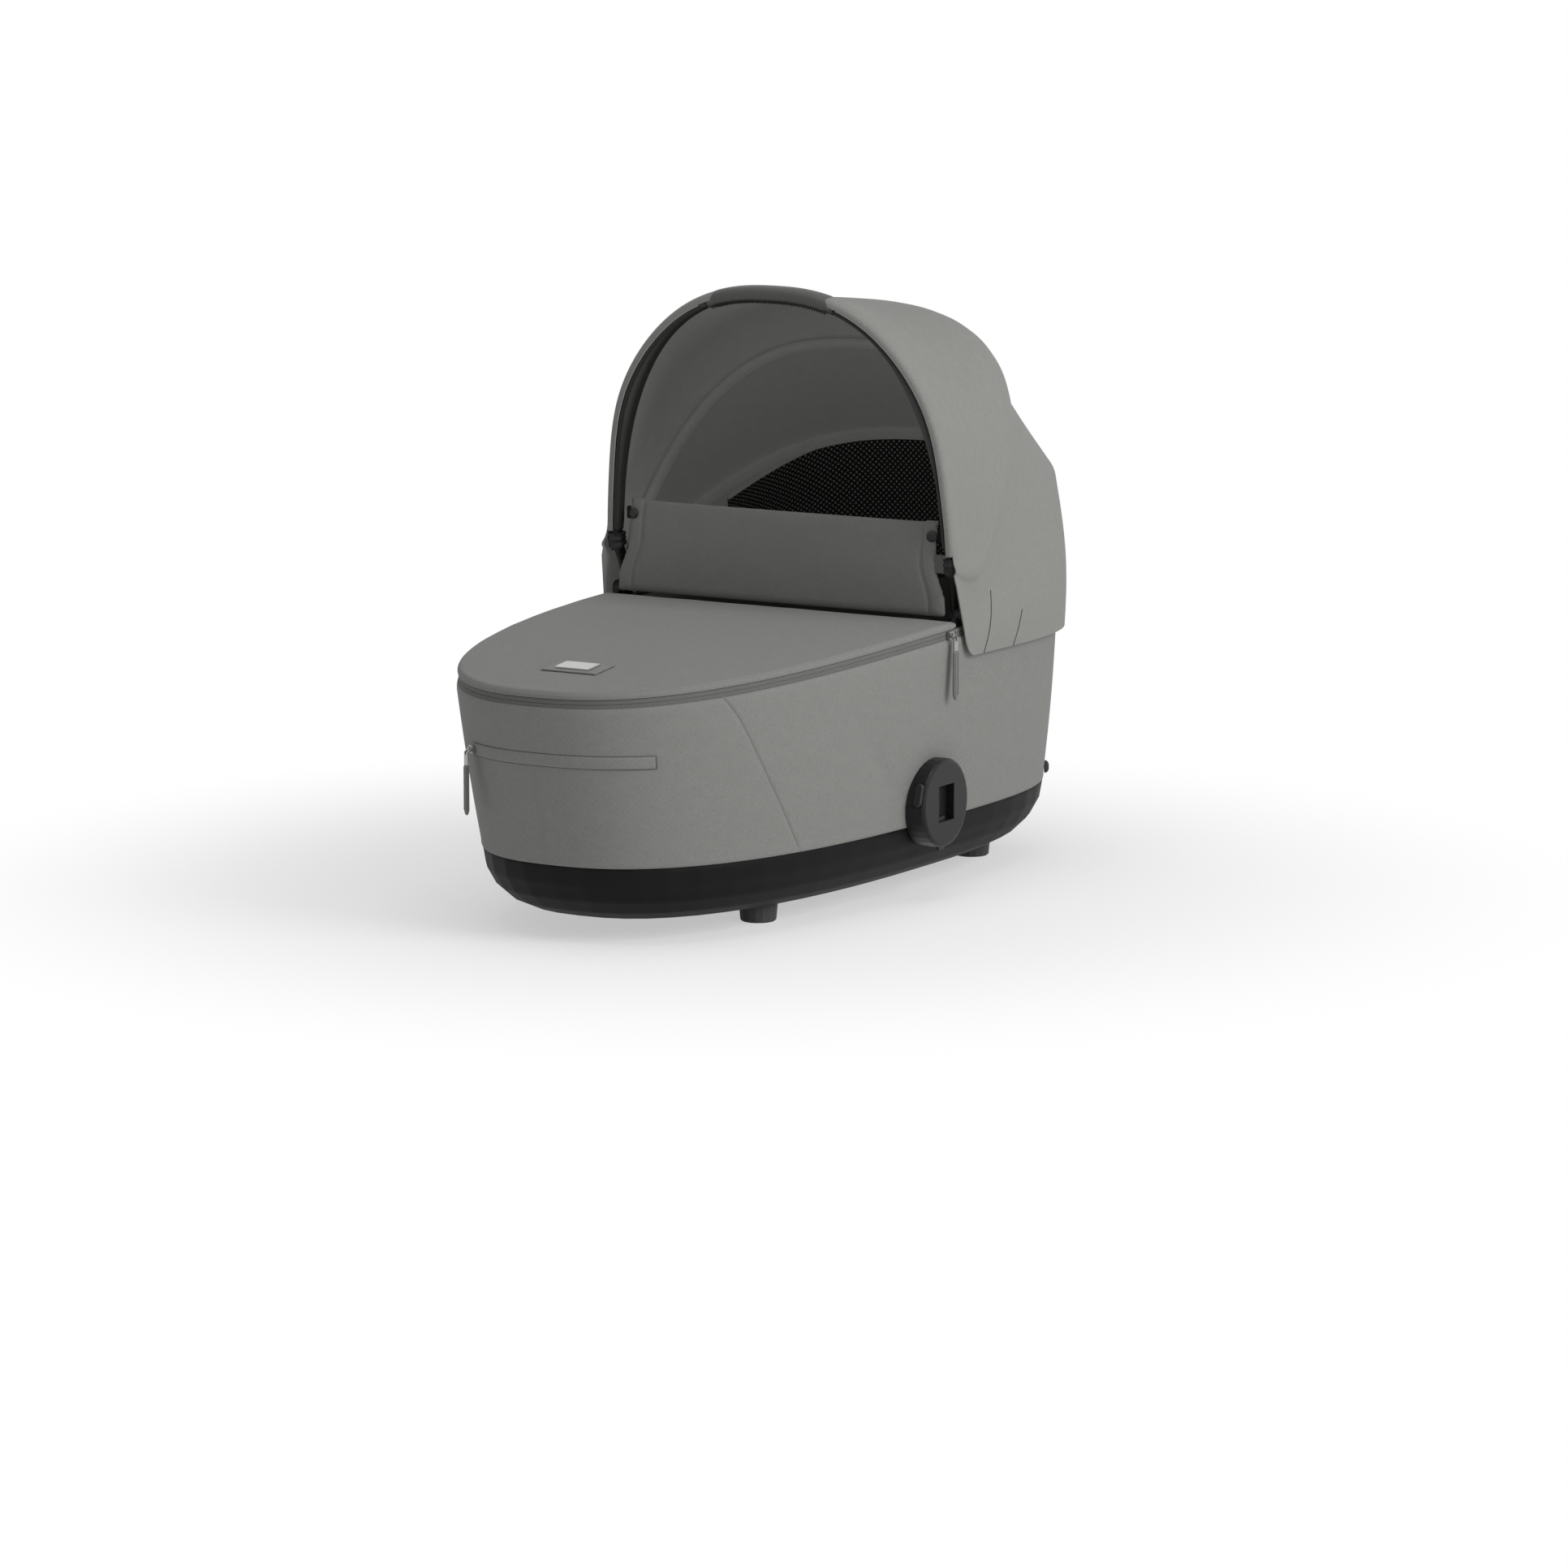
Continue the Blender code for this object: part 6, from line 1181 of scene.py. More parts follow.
def bow_path(arch, inset, count, hub_x):
    """Middle line of a bow from the right hub over the top to the left hub."""
    angle, half_width, reach, power = arch
    line = arch_points((angle, half_width - inset, reach - inset, power))
    hub = Vector((hub_x, PIVOT_Y, PIVOT_Z))
    half = len(line) // 2
    right = [point for point in line[:half] if (point - hub).length > ARM_BLEND_HEIGHT]
    turn = math.radians(angle)
    rise = (right[0] - hub).length * 0.55
    bend = hub + Vector((0.0, math.cos(turn), math.sin(turn))) * rise
    start = gentle_curve(hub, bend, right[0], 12)
    return symmetric_row(start + right + [Vector((0.0, line[half].y, line[half].z))], count)


def plane_axis(angle):
    """Unit vector square to the plane of an arch, pointing to the head end."""
    turn = math.radians(angle)
    return Vector((0.0, math.sin(turn), -math.cos(turn)))


def outward_at(path, index, axis):
    """Unit vector out of the arch at a point of its path."""
    after = path[min(index + 1, len(path) - 1)]
    before = path[max(index - 1, 0)]
    return axis.cross((after - before).normalized()).normalized()


def shoulder(z):
    """How much fuller than the bow the cloth stands at a height of the front arch."""
    return SHOULDER_OUT * bell(z - SHOULDER_Z, SHOULDER_SPREAD)


front_path = bow_path(FRONT_ARCH, SLEEVE_THICKNESS + GAP + FRONT_BOW_RADIAL / 2.0, 400,
                      FRONT_HUB_X)
front_axis = plane_axis(FRONT_ARCH[0])
print("front bow of", len(front_path), "points, top at", round(front_path[200].z, 3), "m")

# %% [markdown]
# ## Hood cloth
# The hood is one skin in three panels that are sewn along the middle and the rear bow: a dome,
# a back slope and a skirt. The dome's front is wrapped round the front bow from its inner edge
# over its front to the crown, so the bow's sleeve and the dome read as one cloth. Neighbouring
# panels share their points and their normals along a seam, so the skin stays closed and smooth.
# The outside is the melange cloth and the inside is darker, but its colour also glows a little: a painted
# light that lifts the shade inside the hood.


# %% Hood rows
def corner_curve(edge, side):
    """Joins an edge point to a side line by a gentle curve."""
    first = side[0]
    second = side[min(18, len(side) - 1)]
    bend = first - (second - first).normalized() * ((first - edge).length * 0.45)
    return gentle_curve(edge, bend, first, 24) + side


def edged_row(arch, edge, columns):
    """A row of cloth points that leaves the side edge and joins an arch."""
    line = arch_points(arch)
    half = line[:len(line) // 2]
    nearest = min(range(len(half)), key=lambda index: (half[index] - edge).length)
    right = [point for point in half[nearest:] if (point - edge).length > EDGE_BLEND * 0.5]
    middle = Vector((0.0, line[len(line) // 2].y, line[len(line) // 2].z))
    return symmetric_row(corner_curve(edge, right) + [middle], columns)


def sleeve_row(low_turn, high_turn, columns):
    """A row of cloth on the front bow; the turns are those at the sleeve's end and above."""
    right = []
    for index in range(len(front_path) // 2 + 1):
        point = front_path[index]
        if point.z < SLEEVE_END_Z:
            continue
        share = smooth((point.z - SLEEVE_END_Z) / WRAP_HEIGHT)
        turn = math.radians(mix(low_turn, high_turn, share))
        out, deep = section_place(turn, SLEEVE_OUT + WRAP_CLEARANCE,
                                  SLEEVE_DEEP + WRAP_CLEARANCE)
        outward = outward_at(front_path, index, front_axis)
        right.append(point + outward * (out + shoulder(point.z)) + front_axis * deep)
    right[-1].x = 0.0
    return symmetric_row(right, columns)


def hem_row(columns):
    """The lower edge of the hood, level with the top of the fabric side."""
    side = []
    for turn in oval_turns(400):
        x, y = plan_place(turn, HEM_SIZES)
        if y >= HEM_CORNER_Y:
            share = smooth((y - HEM_CORNER_Y) / (HEM_SIZES[2] - HEM_CORNER_Y))
            side.append(Vector((x, y, HEM_Z + HEM_RISE * (1.0 - share))))
    side[-1].x = 0.0
    return symmetric_row(corner_curve(HEM_EDGE, side), columns)


def away_from_fan(point):
    away = point - Vector((0.0, FAN_Y, FAN_Z))
    away.x *= 0.8
    return away.normalized()


def skirt_point(start, end, share):
    """Point of the skirt between the rear row and the hem."""
    place = start.lerp(end, share)
    flat = Vector((place.x, place.y - WIDEST_Y, 0.0)).normalized()
    lift = math.sin(math.pi * share) * SKIRT_BULGE * smooth((place.y - REAR_EDGE.y) / EDGE_BLEND)
    return place + flat * lift


wrap_rows = []
for step in range(WRAP_ROWS + 1):
    share = step / WRAP_ROWS
    wrap_rows.append(sleeve_row(mix(LIP_END_TURN, CREST_END_TURN, share),
                                mix(LIP_TURN, CREST_TURN, share), HOOD_COLUMNS))
rows_front = wrap_rows.pop()
rows_middle = edged_row(MID_ARCH, MID_EDGE, HOOD_COLUMNS)
rows_rear = edged_row(REAR_ARCH, REAR_EDGE, HOOD_COLUMNS)
rows_hem = hem_row(HOOD_COLUMNS)
print("hood rows of", len(rows_front), "points")

# %% Hood panels


def panel_grid(starts, ends, rows, lift_of):
    grid = []
    for step in range(rows + 1):
        share = step / rows
        line = []
        for start, end in zip(starts, ends):
            place = start.lerp(end, share)
            line.append(place + away_from_fan(place) * lift_of(start, end, share, place))
        grid.append(line)
    return grid


def dome_lift(start, end, share, place):
    chord = (end - start).length
    lift = math.sin(math.pi * share ** DOME_PEAK_POWER) * chord * DOME_LIFT_SHARE
    slack = noise.noise(Vector((place.x * 7.0, place.y * 12.0, place.z * 7.0)))
    return lift + slack * 0.0010 * math.sin(math.pi * share) * smooth(chord / EDGE_BLEND)


def slope_lift(start, end, share, place):
    chord = (end - start).length
    slack = noise.noise(Vector((place.x * 8.0, place.y * 14.0, place.z * 8.0 + 3.0)))
    sag = slack * 0.0008 - REAR_SAG
    return sag * math.sin(math.pi * share) * smooth(chord / EDGE_BLEND)


dome_grid = wrap_rows + panel_grid(rows_front, rows_middle, HOOD_ROWS, dome_lift)
slope_grid = panel_grid(rows_middle, rows_rear, HOOD_ROWS, slope_lift)
skirt_rows = []
for step in range(HOOD_ROWS + 1):
    skirt_rows.append([skirt_point(start, end, step / HOOD_ROWS)
                       for start, end in zip(rows_rear, rows_hem)])

panel_normals = [grid_normals(grid) for grid in (dome_grid, slope_grid, skirt_rows)]
for upper, lower in zip(panel_normals[:-1], panel_normals[1:]):
    shared = [(first + second) / (1.0 + first.dot(second))
              for first, second in zip(upper[-1], lower[0])]
    upper[-1] = shared
    lower[0] = shared

hood_pieces = {}
for name, grid, normals in zip(("hood_dome", "hood_slope", "hood_skirt"),
                               (dome_grid, slope_grid, skirt_rows), panel_normals):
    piece = cloth_piece(f"{name}_cloth", grid, CLOTH_THICKNESS, hood_fabric, hood_inside,
                        normals=normals, edge_round=0.0, keep_normals=True)
    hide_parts(name)
    hood_pieces[name] = piece


def fan_blend(piece, fixed, moving, free_rows):
    """Blends a panel row by row: its first rows follow the moving body, its last the fixed."""
    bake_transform(piece, fixed, moving, start=(0.0, PIVOT_Y + SHIFT, PIVOT_Z),
             end=(0.0, PIVOT_Y + SHIFT, PIVOT_Z + 0.3))
    rows = GRID_ROWS[piece.name]
    weights = piece.data.attributes["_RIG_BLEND"].data
    for item, row in zip(weights, rows):
        item.value = 1.0 - clamp((row - free_rows) / (max(rows) - free_rows))


fan_blend(hood_pieces["hood_slope"], "base", "mid_bow", 0)
fan_blend(hood_pieces["hood_dome"], "mid_bow", "front_bow", WRAP_ROWS)
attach(hood_pieces["hood_skirt"], "base")
declare_sheet(hood_pieces["hood_dome"])
declare_sheet(hood_pieces["hood_slope"])
declare_sheet(hood_pieces["hood_skirt"])

# %% [markdown]
# ## Bows' cloth, grip and piping
# The front bow wears two fabric sleeves and, between them at the top, a padded leather grip whose
# seam is laced along its lower side. The cloth that is wrapped over the sleeves ends along their
# front face in a thin bright binding, and behind it a black cord paints the shade in the groove
# between the binding and the sleeve. The sleeves' bare inner side is smooth dark leather. Inside
# the hood the middle and the rear bow lie in cloth channels.

# %% Sleeves, grip and piping
GRIP_THICKNESS = 0.0046
GRIP_HALF_WIDTH = 0.0740
GRIP_OUT = FRONT_BOW_RADIAL / 2.0 + GRIP_THICKNESS
GRIP_DEEP = FRONT_BOW_DEPTH / 2.0 + GRIP_THICKNESS
GRIP_POWER = 2.5
SLEEVE_TIGHT = 0.0016
SLEEVE_END_TIGHT = 0.0006
GRIP_END_TIGHT = 0.0016
BOW_REACH_X = 0.25
# The second cord is black: painted shade in the groove between the binding and the sleeve.
LIP_CORDS = (("sleeve_binding", LIP_TURN - 1.0, 0.0006, lip_thread, "hood_fabric"),
             ("bow_groove_shade_cord", LIP_TURN - 24.0, 0.0013, seam_and_shade_cord, "strap"))
LIP_CORD_SINK = 0.0004
LACE_TURN = math.radians(-130.0)
LACE_COUNT = 44
LACE_LENGTH = 0.0052
LACE_WIDTH = 0.0016
STITCH_PROFILE = ((-0.5, 0.35), (-0.3, 0.9), (0.0, 1.0), (0.3, 0.9), (0.5, 0.35))
STITCH_SIDES = 6


def path_part(path, low_z, x_from, x_to):
    """The points of a path between two places across the cot, above a height."""
    return [point for point in path if point.z >= low_z and x_from <= point.x <= x_to]


def offset_line(path, axis, out, deep, fuller=lambda z: 0.0):
    """A line beside a path, moved outward and along its axis."""
    return [point + outward_at(path, index, axis) * (out + fuller(point.z)) + axis * deep
            for index, point in enumerate(path)]


def thin_cord(name, line, axis, radius, finish, body):
    """A thin round cord along a line, such as a piping or a seam's thread."""
    cord = tube_piece(name, line, axis, [round_section(radius, radius, 10, 2.0)] * len(line),
                      finish)
    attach(cord, body)
    return cord


for side, sign in (("right", 1.0), ("left", -1.0)):
    low, high = sorted((sign * (GRIP_HALF_WIDTH + GAP), sign * BOW_REACH_X))
    line = path_part(front_path, SLEEVE_END_Z, low, high)
    sections = []
    for index, point in enumerate(line):
        from_end = min(index, len(line) - 1 - index) / 5.0
        tight = SLEEVE_TIGHT + SLEEVE_END_TIGHT * (1.0 - smooth(from_end))
        section = round_section(SLEEVE_OUT - tight, SLEEVE_DEEP - tight, 28, 2.9)
        fuller = shoulder(point.z)
        sections.append([(out + fuller * clamp(0.5 + out / SLEEVE_OUT), deep)
                         for out, deep in section])
    sleeve = tube_piece(f"bow_sleeve_cloth_{side}", line, front_axis, sections, sleeve_leather)
    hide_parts(f"bow_sleeve_{side}")
    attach(sleeve, "front_bow")
    for cord_name, turn, radius, finish, slot in LIP_CORDS:
        out, deep = section_place(math.radians(turn), SLEEVE_OUT - LIP_CORD_SINK,
                                  SLEEVE_DEEP - LIP_CORD_SINK)
        cord_line = offset_line(line[4:-1], front_axis, out, deep, shoulder)
        thin_cord(f"{cord_name}_{side}", cord_line, front_axis, radius, finish, "front_bow")

grip_line = path_part(front_path, SLEEVE_END_Z, -GRIP_HALF_WIDTH, GRIP_HALF_WIDTH)
grip_sections = []
for index in range(len(grip_line)):
    from_end = min(index, len(grip_line) - 1 - index) / 6.0
    tight = GRIP_END_TIGHT * (1.0 - smooth(from_end))
    grip_sections.append(round_section(GRIP_OUT - tight, GRIP_DEEP - tight, 36, GRIP_POWER))
grip = tube_piece("grip_cover", grip_line, front_axis, grip_sections, grip_leather)
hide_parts("handle_grip")
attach(grip, "front_bow")
print("grip and sleeves done")


def stitch_row(name, places, headings, normals, length, width, finish, body):
    """A row of short raised stitches, each a small rounded bar, as one piece."""
    points = []
    faces = []
    for place, heading, normal in zip(places, headings, normals):
        side = normal.cross(heading).normalized()
        faces += tube_faces(len(STITCH_PROFILE), STITCH_SIDES, len(points))
        for share, size in STITCH_PROFILE:
            lift = 0.35 + 0.4 * math.cos(share * math.pi)
            middle = place + heading * (share * length) + normal * (width * lift)
            for corner in range(STITCH_SIDES):
                turn = 2.0 * math.pi * corner / STITCH_SIDES
                points.append(middle + side * (math.cos(turn) * width * size * 0.5)
                              + normal * (math.sin(turn) * width * size * 0.5))
    piece = finish_mesh(name, points, faces, finish)
    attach(piece, body)
    return piece


lace_out, lace_deep = section_place(LACE_TURN, GRIP_OUT, GRIP_DEEP, GRIP_POWER)
lace_base = spaced(grip_line[3:-3], LACE_COUNT)
lace_path = offset_line(lace_base, front_axis, lace_out, lace_deep)
lace_headings = []
lace_normals = []
for index in range(len(lace_path)):
    outward = outward_at(lace_base, index, front_axis)
    tangent = outward.cross(front_axis).normalized()
    normal = (-outward * 0.62 - front_axis * 0.78).normalized()
    lace_normals.append(normal)
    lace_headings.append((normal.cross(tangent) + tangent * 0.45).normalized())
stitch_row("grip_lacing", lace_path, lace_headings, lace_normals, LACE_LENGTH, LACE_WIDTH,
           lace_thread, "front_bow")

# %% Channels of the middle and the rear bow
# The channels' cloth carries the painted glow that lightens the shade inside the hood.
CHANNELS = (("mid_bow_channel", MID_ARCH, 0.330, "mid_bow"),
            ("rear_bow_channel", REAR_ARCH, 0.318, "base"))
CHANNEL_OUT = MID_BOW_RADIAL / 2.0 + 0.0020
CHANNEL_DEEP = MID_BOW_DEPTH / 2.0 + 0.0024

mid_inset = CLOTH_THICKNESS + BOW_CLEARANCE + MID_BOW_RADIAL / 2.0
for name, arch, low_z, body in CHANNELS:
    line = path_part(bow_path(arch, mid_inset, 240, MID_HUB_X), low_z, -BOW_REACH_X, BOW_REACH_X)
    sections = [round_section(CHANNEL_OUT, CHANNEL_DEEP, 20, 2.6)] * len(line)
    channel = tube_piece(name, line, plane_axis(arch[0]), sections, rib_fabric)
    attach(channel, body)

# %% Seams of the skirt
SEAM_LOW_Z = 0.2385
SEAM_HIGH_Z = 0.3200
SKIRT_SEAMS = ((0.0311, 0.0543), (0.0916, 0.1165))
SKIRT_SEAM_TOPS = (0.3290, 0.2760)
SKIRT_SEAM_RADIUS = 0.0004
SKIRT_SEAM_LIFT = 0.0002


def skirt_seams_y(z):
    """Where the two short sewn seams of the skirt's side are at a height."""
    share = (z - SEAM_LOW_Z) / (SEAM_HIGH_Z - SEAM_LOW_Z)
    return [mix(low, high, share) for low, high in SKIRT_SEAMS]


def crossing_line(grid, seam_at, top_z):
    """Points of a grid's right half where it crosses a seam's place along the body."""
    line = []
    half = len(grid[0]) // 2
    for row in grid:
        for first, second in zip(row[:half], row[1:half + 1]):
            before = first.y - seam_at(first.z)
            after = second.y - seam_at(second.z)
            if before < 0.0 <= after:
                place = first.lerp(second, before / (before - after))
                if place.z <= top_z:
                    line.append(place)
                break
    return line


for number, top_z in enumerate(SKIRT_SEAM_TOPS):
    seam_line = crossing_line(skirt_rows, lambda z: skirt_seams_y(z)[number], top_z)
    for side, sign in (("right", 1.0), ("left", -1.0)):
        seam_side = [Vector((sign * (point.x + SKIRT_SEAM_LIFT), point.y, point.z))
                     for point in seam_line]
        thin_cord(f"skirt_seam_{number}_{side}", seam_side, Vector((0.0, 1.0, 0.0)),
                  SKIRT_SEAM_RADIUS, seam_and_shade_cord, "base")
print("skirt seams", len(seam_line), "points in the last")

# %% [markdown]
# ## Ventilation mesh
# Inside the head end a wide strip of the skirt is black net. The net is a dark knit with small
# open dots in a regular pattern, bound along its edges by a narrow cloth hem that forms a lighter
# arch inside the hood. The hem has the lining's finish and so carries its painted glow.

# %% Net finish and window
NET_PITCH = 0.0062
NET_THREAD = 0.0012
MESH_TOP_SHARE = 0.018
MESH_SIDE_SHARE = 0.130
MESH_LOW_SHARE = 0.72
MESH_HALF_WIDTH = 0.1950
MESH_BACKSET = 0.00084
MESH_STEPS = 14


def netting(name):
    """A dark knitted net with a regular pattern of small lighter dots."""
    net = Finish(name, 0.85, 0.0, {"Sheen Weight": 0.1, "Specular IOR Level": 0.2})
    u, v, _ = net.parts(net.place("UV"))
    first = u.wave(NET_PITCH) * v.wave(NET_PITCH)
    shifted = (u + NET_PITCH / 2.0).wave(NET_PITCH) * (v + NET_PITCH / 2.0).wave(NET_PITCH)
    dots = first.most(shifted).ramp(0.52, 0.78)
    knit = u.wave(NET_THREAD) * 0.5 + v.wave(NET_THREAD) * 0.5
    dark = net.blend_colour(knit, grey(0.006), grey(0.018))
    net.feed("Base Color", net.blend_colour(dots, dark, grey(0.330, 0.318)))
    net.feed("Roughness", knit * 0.2 + 0.72)
    net.relief(knit * 0.5 - dots * 0.5, 0.0003, 0.8)
    return net


net_finish = netting("vent_net")
window_pairs = [pair for pair in zip(rows_rear, rows_hem)
                if abs(pair[1].x) < MESH_HALF_WIDTH and pair[1].y > WIDEST_Y]
window_grid = []
for step in range(MESH_STEPS + 1):
    line = []
    for start, end in window_pairs:
        corner = (abs(end.x) / MESH_HALF_WIDTH) ** 4
        top = mix(MESH_TOP_SHARE, MESH_SIDE_SHARE, corner)
        line.append(skirt_point(start, end, mix(top, MESH_LOW_SHARE, step / MESH_STEPS)))
    window_grid.append(line)
window_grid = [[point - direction * (CLOTH_THICKNESS + MESH_BACKSET)
                for point, direction in zip(line, directions)]
               for line, directions in zip(window_grid, grid_normals(window_grid))]
net_cloth = cloth_piece("vent_net_cloth", window_grid, 0.0009, net_finish, net_finish)
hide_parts("mesh_window")
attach(net_cloth, "base")
declare_sheet(net_cloth)
hem_line = [point - direction * 0.0008
            for point, direction in zip(window_grid[0], grid_normals(window_grid)[0])]
net_hem = tube_piece("vent_net_hem", hem_line, Vector((0.0, 0.4, 0.9)),
                     [round_section(0.0012, 0.0020, 16, 2.3)] * len(hem_line), hood_inside)
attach(net_hem, "base")

# %% [markdown]
# ## Padded wind flap
# The flap that closes the hood's mouth is a thin foam panel in smooth dark cloth, hinged along
# its lower edge, wider at the bottom than at the top, with a seam near each end where the side
# wings are sewn on. Foam between two cloths swells most away from the seams, so the panel starts
# as a flat closed shape and a short cloth simulation with inner pressure gives its puffed form.

# %% Soft filling
PUFF_PRESSURE = 4.0
PUFF_FRAMES = 20
SMOOTH_STEPS = 2


def bake_modifiers(piece):
    """Applies the modifiers of a piece and keeps its finishes."""
    graph = bpy.context.evaluated_depsgraph_get()
    made = bpy.data.meshes.new_from_object(piece.evaluated_get(graph))
    piece.modifiers.clear()
    finishes = list(piece.data.materials)
    piece.data = made
    made.materials.clear()
    for material in finishes:
        made.materials.append(material)
    return made


def swell(piece, cap, pinned):
    """Moves a piece's points by inner pressure, each of them by no more than a cap."""
    rest = [vertex.co.copy() for vertex in piece.data.vertices]
    cloth = piece.modifiers.new("filling", "CLOTH")
    cloth.settings.quality = 5
    cloth.settings.mass = 0.3
    cloth.settings.tension_stiffness = 25.0
    cloth.settings.compression_stiffness = 20.0
    cloth.settings.bending_stiffness = 0.8
    cloth.settings.use_pressure = True
    cloth.settings.uniform_pressure_force = PUFF_PRESSURE
    cloth.settings.effector_weights.gravity = 0.0
    group = piece.vertex_groups.new(name="held")
    group.add([index for index, place in enumerate(rest) if pinned(place)], 1.0, "REPLACE")
    cloth.settings.vertex_group_mass = "held"
    for step in range(1, PUFF_FRAMES + 1):
        bpy.context.scene.frame_set(step)
    graph = bpy.context.evaluated_depsgraph_get()
    swollen = bpy.data.meshes.new_from_object(piece.evaluated_get(graph))
    moved = [vertex.co.copy() for vertex in swollen.vertices]
    piece.modifiers.clear()
    piece.vertex_groups.clear()
    bpy.context.scene.frame_set(1)
    for vertex, start, end in zip(piece.data.vertices, rest, moved):
        step = end - start
        vertex.co = start + (step.normalized() * cap if step.length > cap else step)
    bpy.data.meshes.remove(swollen)


def smooth_mesh(mesh, share):
    """Moves each point towards the mean of its neighbours."""
    body = bmesh.new()
    body.from_mesh(mesh)
    bmesh.ops.smooth_vert(body, verts=body.verts, factor=share, use_axis_x=True,
                          use_axis_y=True, use_axis_z=True)
    body.to_mesh(mesh)
    body.free()


def fill(piece, voxel, cap, pinned):
    """Remeshes a closed shape and swells it with a short cloth simulation."""
    bpy.context.view_layer.update()
    remesh = piece.modifiers.new("even_mesh", "REMESH")
    remesh.mode = "VOXEL"
    remesh.voxel_size = voxel
    even = bake_modifiers(piece)
    swell(piece, cap, pinned)
    for _ in range(SMOOTH_STEPS):
        smooth_mesh(even, 0.5)
    even.shade_smooth()


def subdivide(piece):
    """One level of subdivision, applied."""
    step = piece.modifiers.new("finer", "SUBSURF")
    step.levels = 1
    step.render_levels = 1
    bake_modifiers(piece).shade_smooth()


# %% Wind flap
FLAP_Y = -0.0097
FLAP_LEAN = 0.0077
FLAP_BOTTOM_Z = 0.2756
FLAP_TOP_Z = 0.3732
FLAP_HALF_WIDTH = 0.1915
FLAP_TOP_HALF_WIDTH = 0.1793
FLAP_BOW = 0.0030
FLAP_BOTTOM_SAG = 0.0015
FLAP_START_THICKNESS = 0.0046
FLAP_SEAM_SHARE = 0.90
FLAP_SEAM_WIDTH = 0.0016
FLAP_SEAM_PRESS = 0.62
FLAP_CLOTH_HEIGHT = 0.098
FLAP_EDGE_ROUND = 0.007
FLAP_EDGE_HALF = 0.0008
FLAP_VOXEL = 0.0022
FLAP_PUFF = 0.0006
FLAP_HELD_HEIGHT = 0.004
FLAP_COLUMNS = 96
FLAP_ROWS = 26


def flap_half_width(share):
    narrow = smooth((share - 0.14) / 0.44)
    return mix(FLAP_HALF_WIDTH, FLAP_TOP_HALF_WIDTH, narrow)


def flap_place(across, share):
    """Middle surface of the flap; across runs from -1 to 1, share from hinge to top."""
    x = across * flap_half_width(share)
    y = FLAP_Y + FLAP_LEAN * share - FLAP_BOW * math.sin(math.pi * share) + 0.0012
    top = FLAP_TOP_Z - FLAP_BOTTOM_SAG * (1.0 - across * across)
    return Vector((x, y, mix(FLAP_BOTTOM_Z, top, share)))


points = []
for face_side in (-1.0, 1.0):
    for row in range(FLAP_ROWS + 1):
        share = mix(0.012, 0.988, row / FLAP_ROWS)
        for column in range(FLAP_COLUMNS + 1):
            across = mix(-0.994, 0.994, column / FLAP_COLUMNS)
            edge = min(share, 1.0 - share) * FLAP_CLOTH_HEIGHT
            side_edge = (1.0 - abs(across)) * FLAP_HALF_WIDTH
            plump = smooth(min(edge, side_edge) / FLAP_EDGE_ROUND)
            half = mix(FLAP_EDGE_HALF, FLAP_START_THICKNESS / 2.0, plump)
            points.append(flap_place(across, share) + Vector((0.0, face_side * half, 0.0)))
back = len(points) // 2
faces = []
for one, two, three, four in band_faces(FLAP_ROWS + 1, FLAP_COLUMNS + 1, closed=False):
    faces += [(one, two, three, four), (one + back, four + back, three + back, two + back)]
border = grid_border(FLAP_ROWS + 1, FLAP_COLUMNS + 1)
for first, second in zip(border, border[1:] + border[:1]):
    faces.append((second, first, first + back, second + back))
wind_flap = finish_mesh("wind_flap_pad", points, faces, flap_fabric)
fill(wind_flap, FLAP_VOXEL, FLAP_PUFF,
     lambda place: place.z < FLAP_BOTTOM_Z + FLAP_HELD_HEIGHT)
for vertex in wind_flap.data.vertices:
    share = clamp((vertex.co.z - FLAP_BOTTOM_Z) / (FLAP_TOP_Z - FLAP_BOTTOM_Z))
    across = abs(vertex.co.x) / flap_half_width(share)
    seam = bell((across - FLAP_SEAM_SHARE) * FLAP_HALF_WIDTH, FLAP_SEAM_WIDTH)
    vertex.co.y = mix(vertex.co.y, flap_place(0.0, share).y + SHIFT,
                      seam * FLAP_SEAM_PRESS)
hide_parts("wind_flap")
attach(wind_flap, "wind_flap")
print("flap", len(wind_flap.data.polygons), "faces")

# %% [markdown]
# ## Mattress
# The mattress is a soft foam pad in pale cloth with a sewn channel parallel to its edge. It is
# swollen by the same short simulation and the channel is pressed in afterwards, because the
# even mesh would erase it.

# %% Mattress
MATTRESS_BASE_Z = 0.0503
MATTRESS_INSET = 0.0255
MATTRESS_RINGS = ((0.90, 0.0004), (0.975, 0.0050), (1.0, 0.0140), (1.0, 0.0240),
                  (0.985, 0.0330), (0.95, 0.0375), (0.88, 0.0390), (0.72, 0.0400),
                  (0.48, 0.0420), (0.24, 0.0440))
MATTRESS_PEAK = 0.0446
MATTRESS_VOXEL = 0.0060
MATTRESS_PUFF = 0.0050
MATTRESS_HELD_HEIGHT = 0.003
CHANNEL_SHARE = 0.74
CHANNEL_SPREAD = 0.035
CHANNEL_SINK = 0.0042
CHANNEL_POWER = 2.8
CHANNEL_MIN_HEIGHT = 0.02

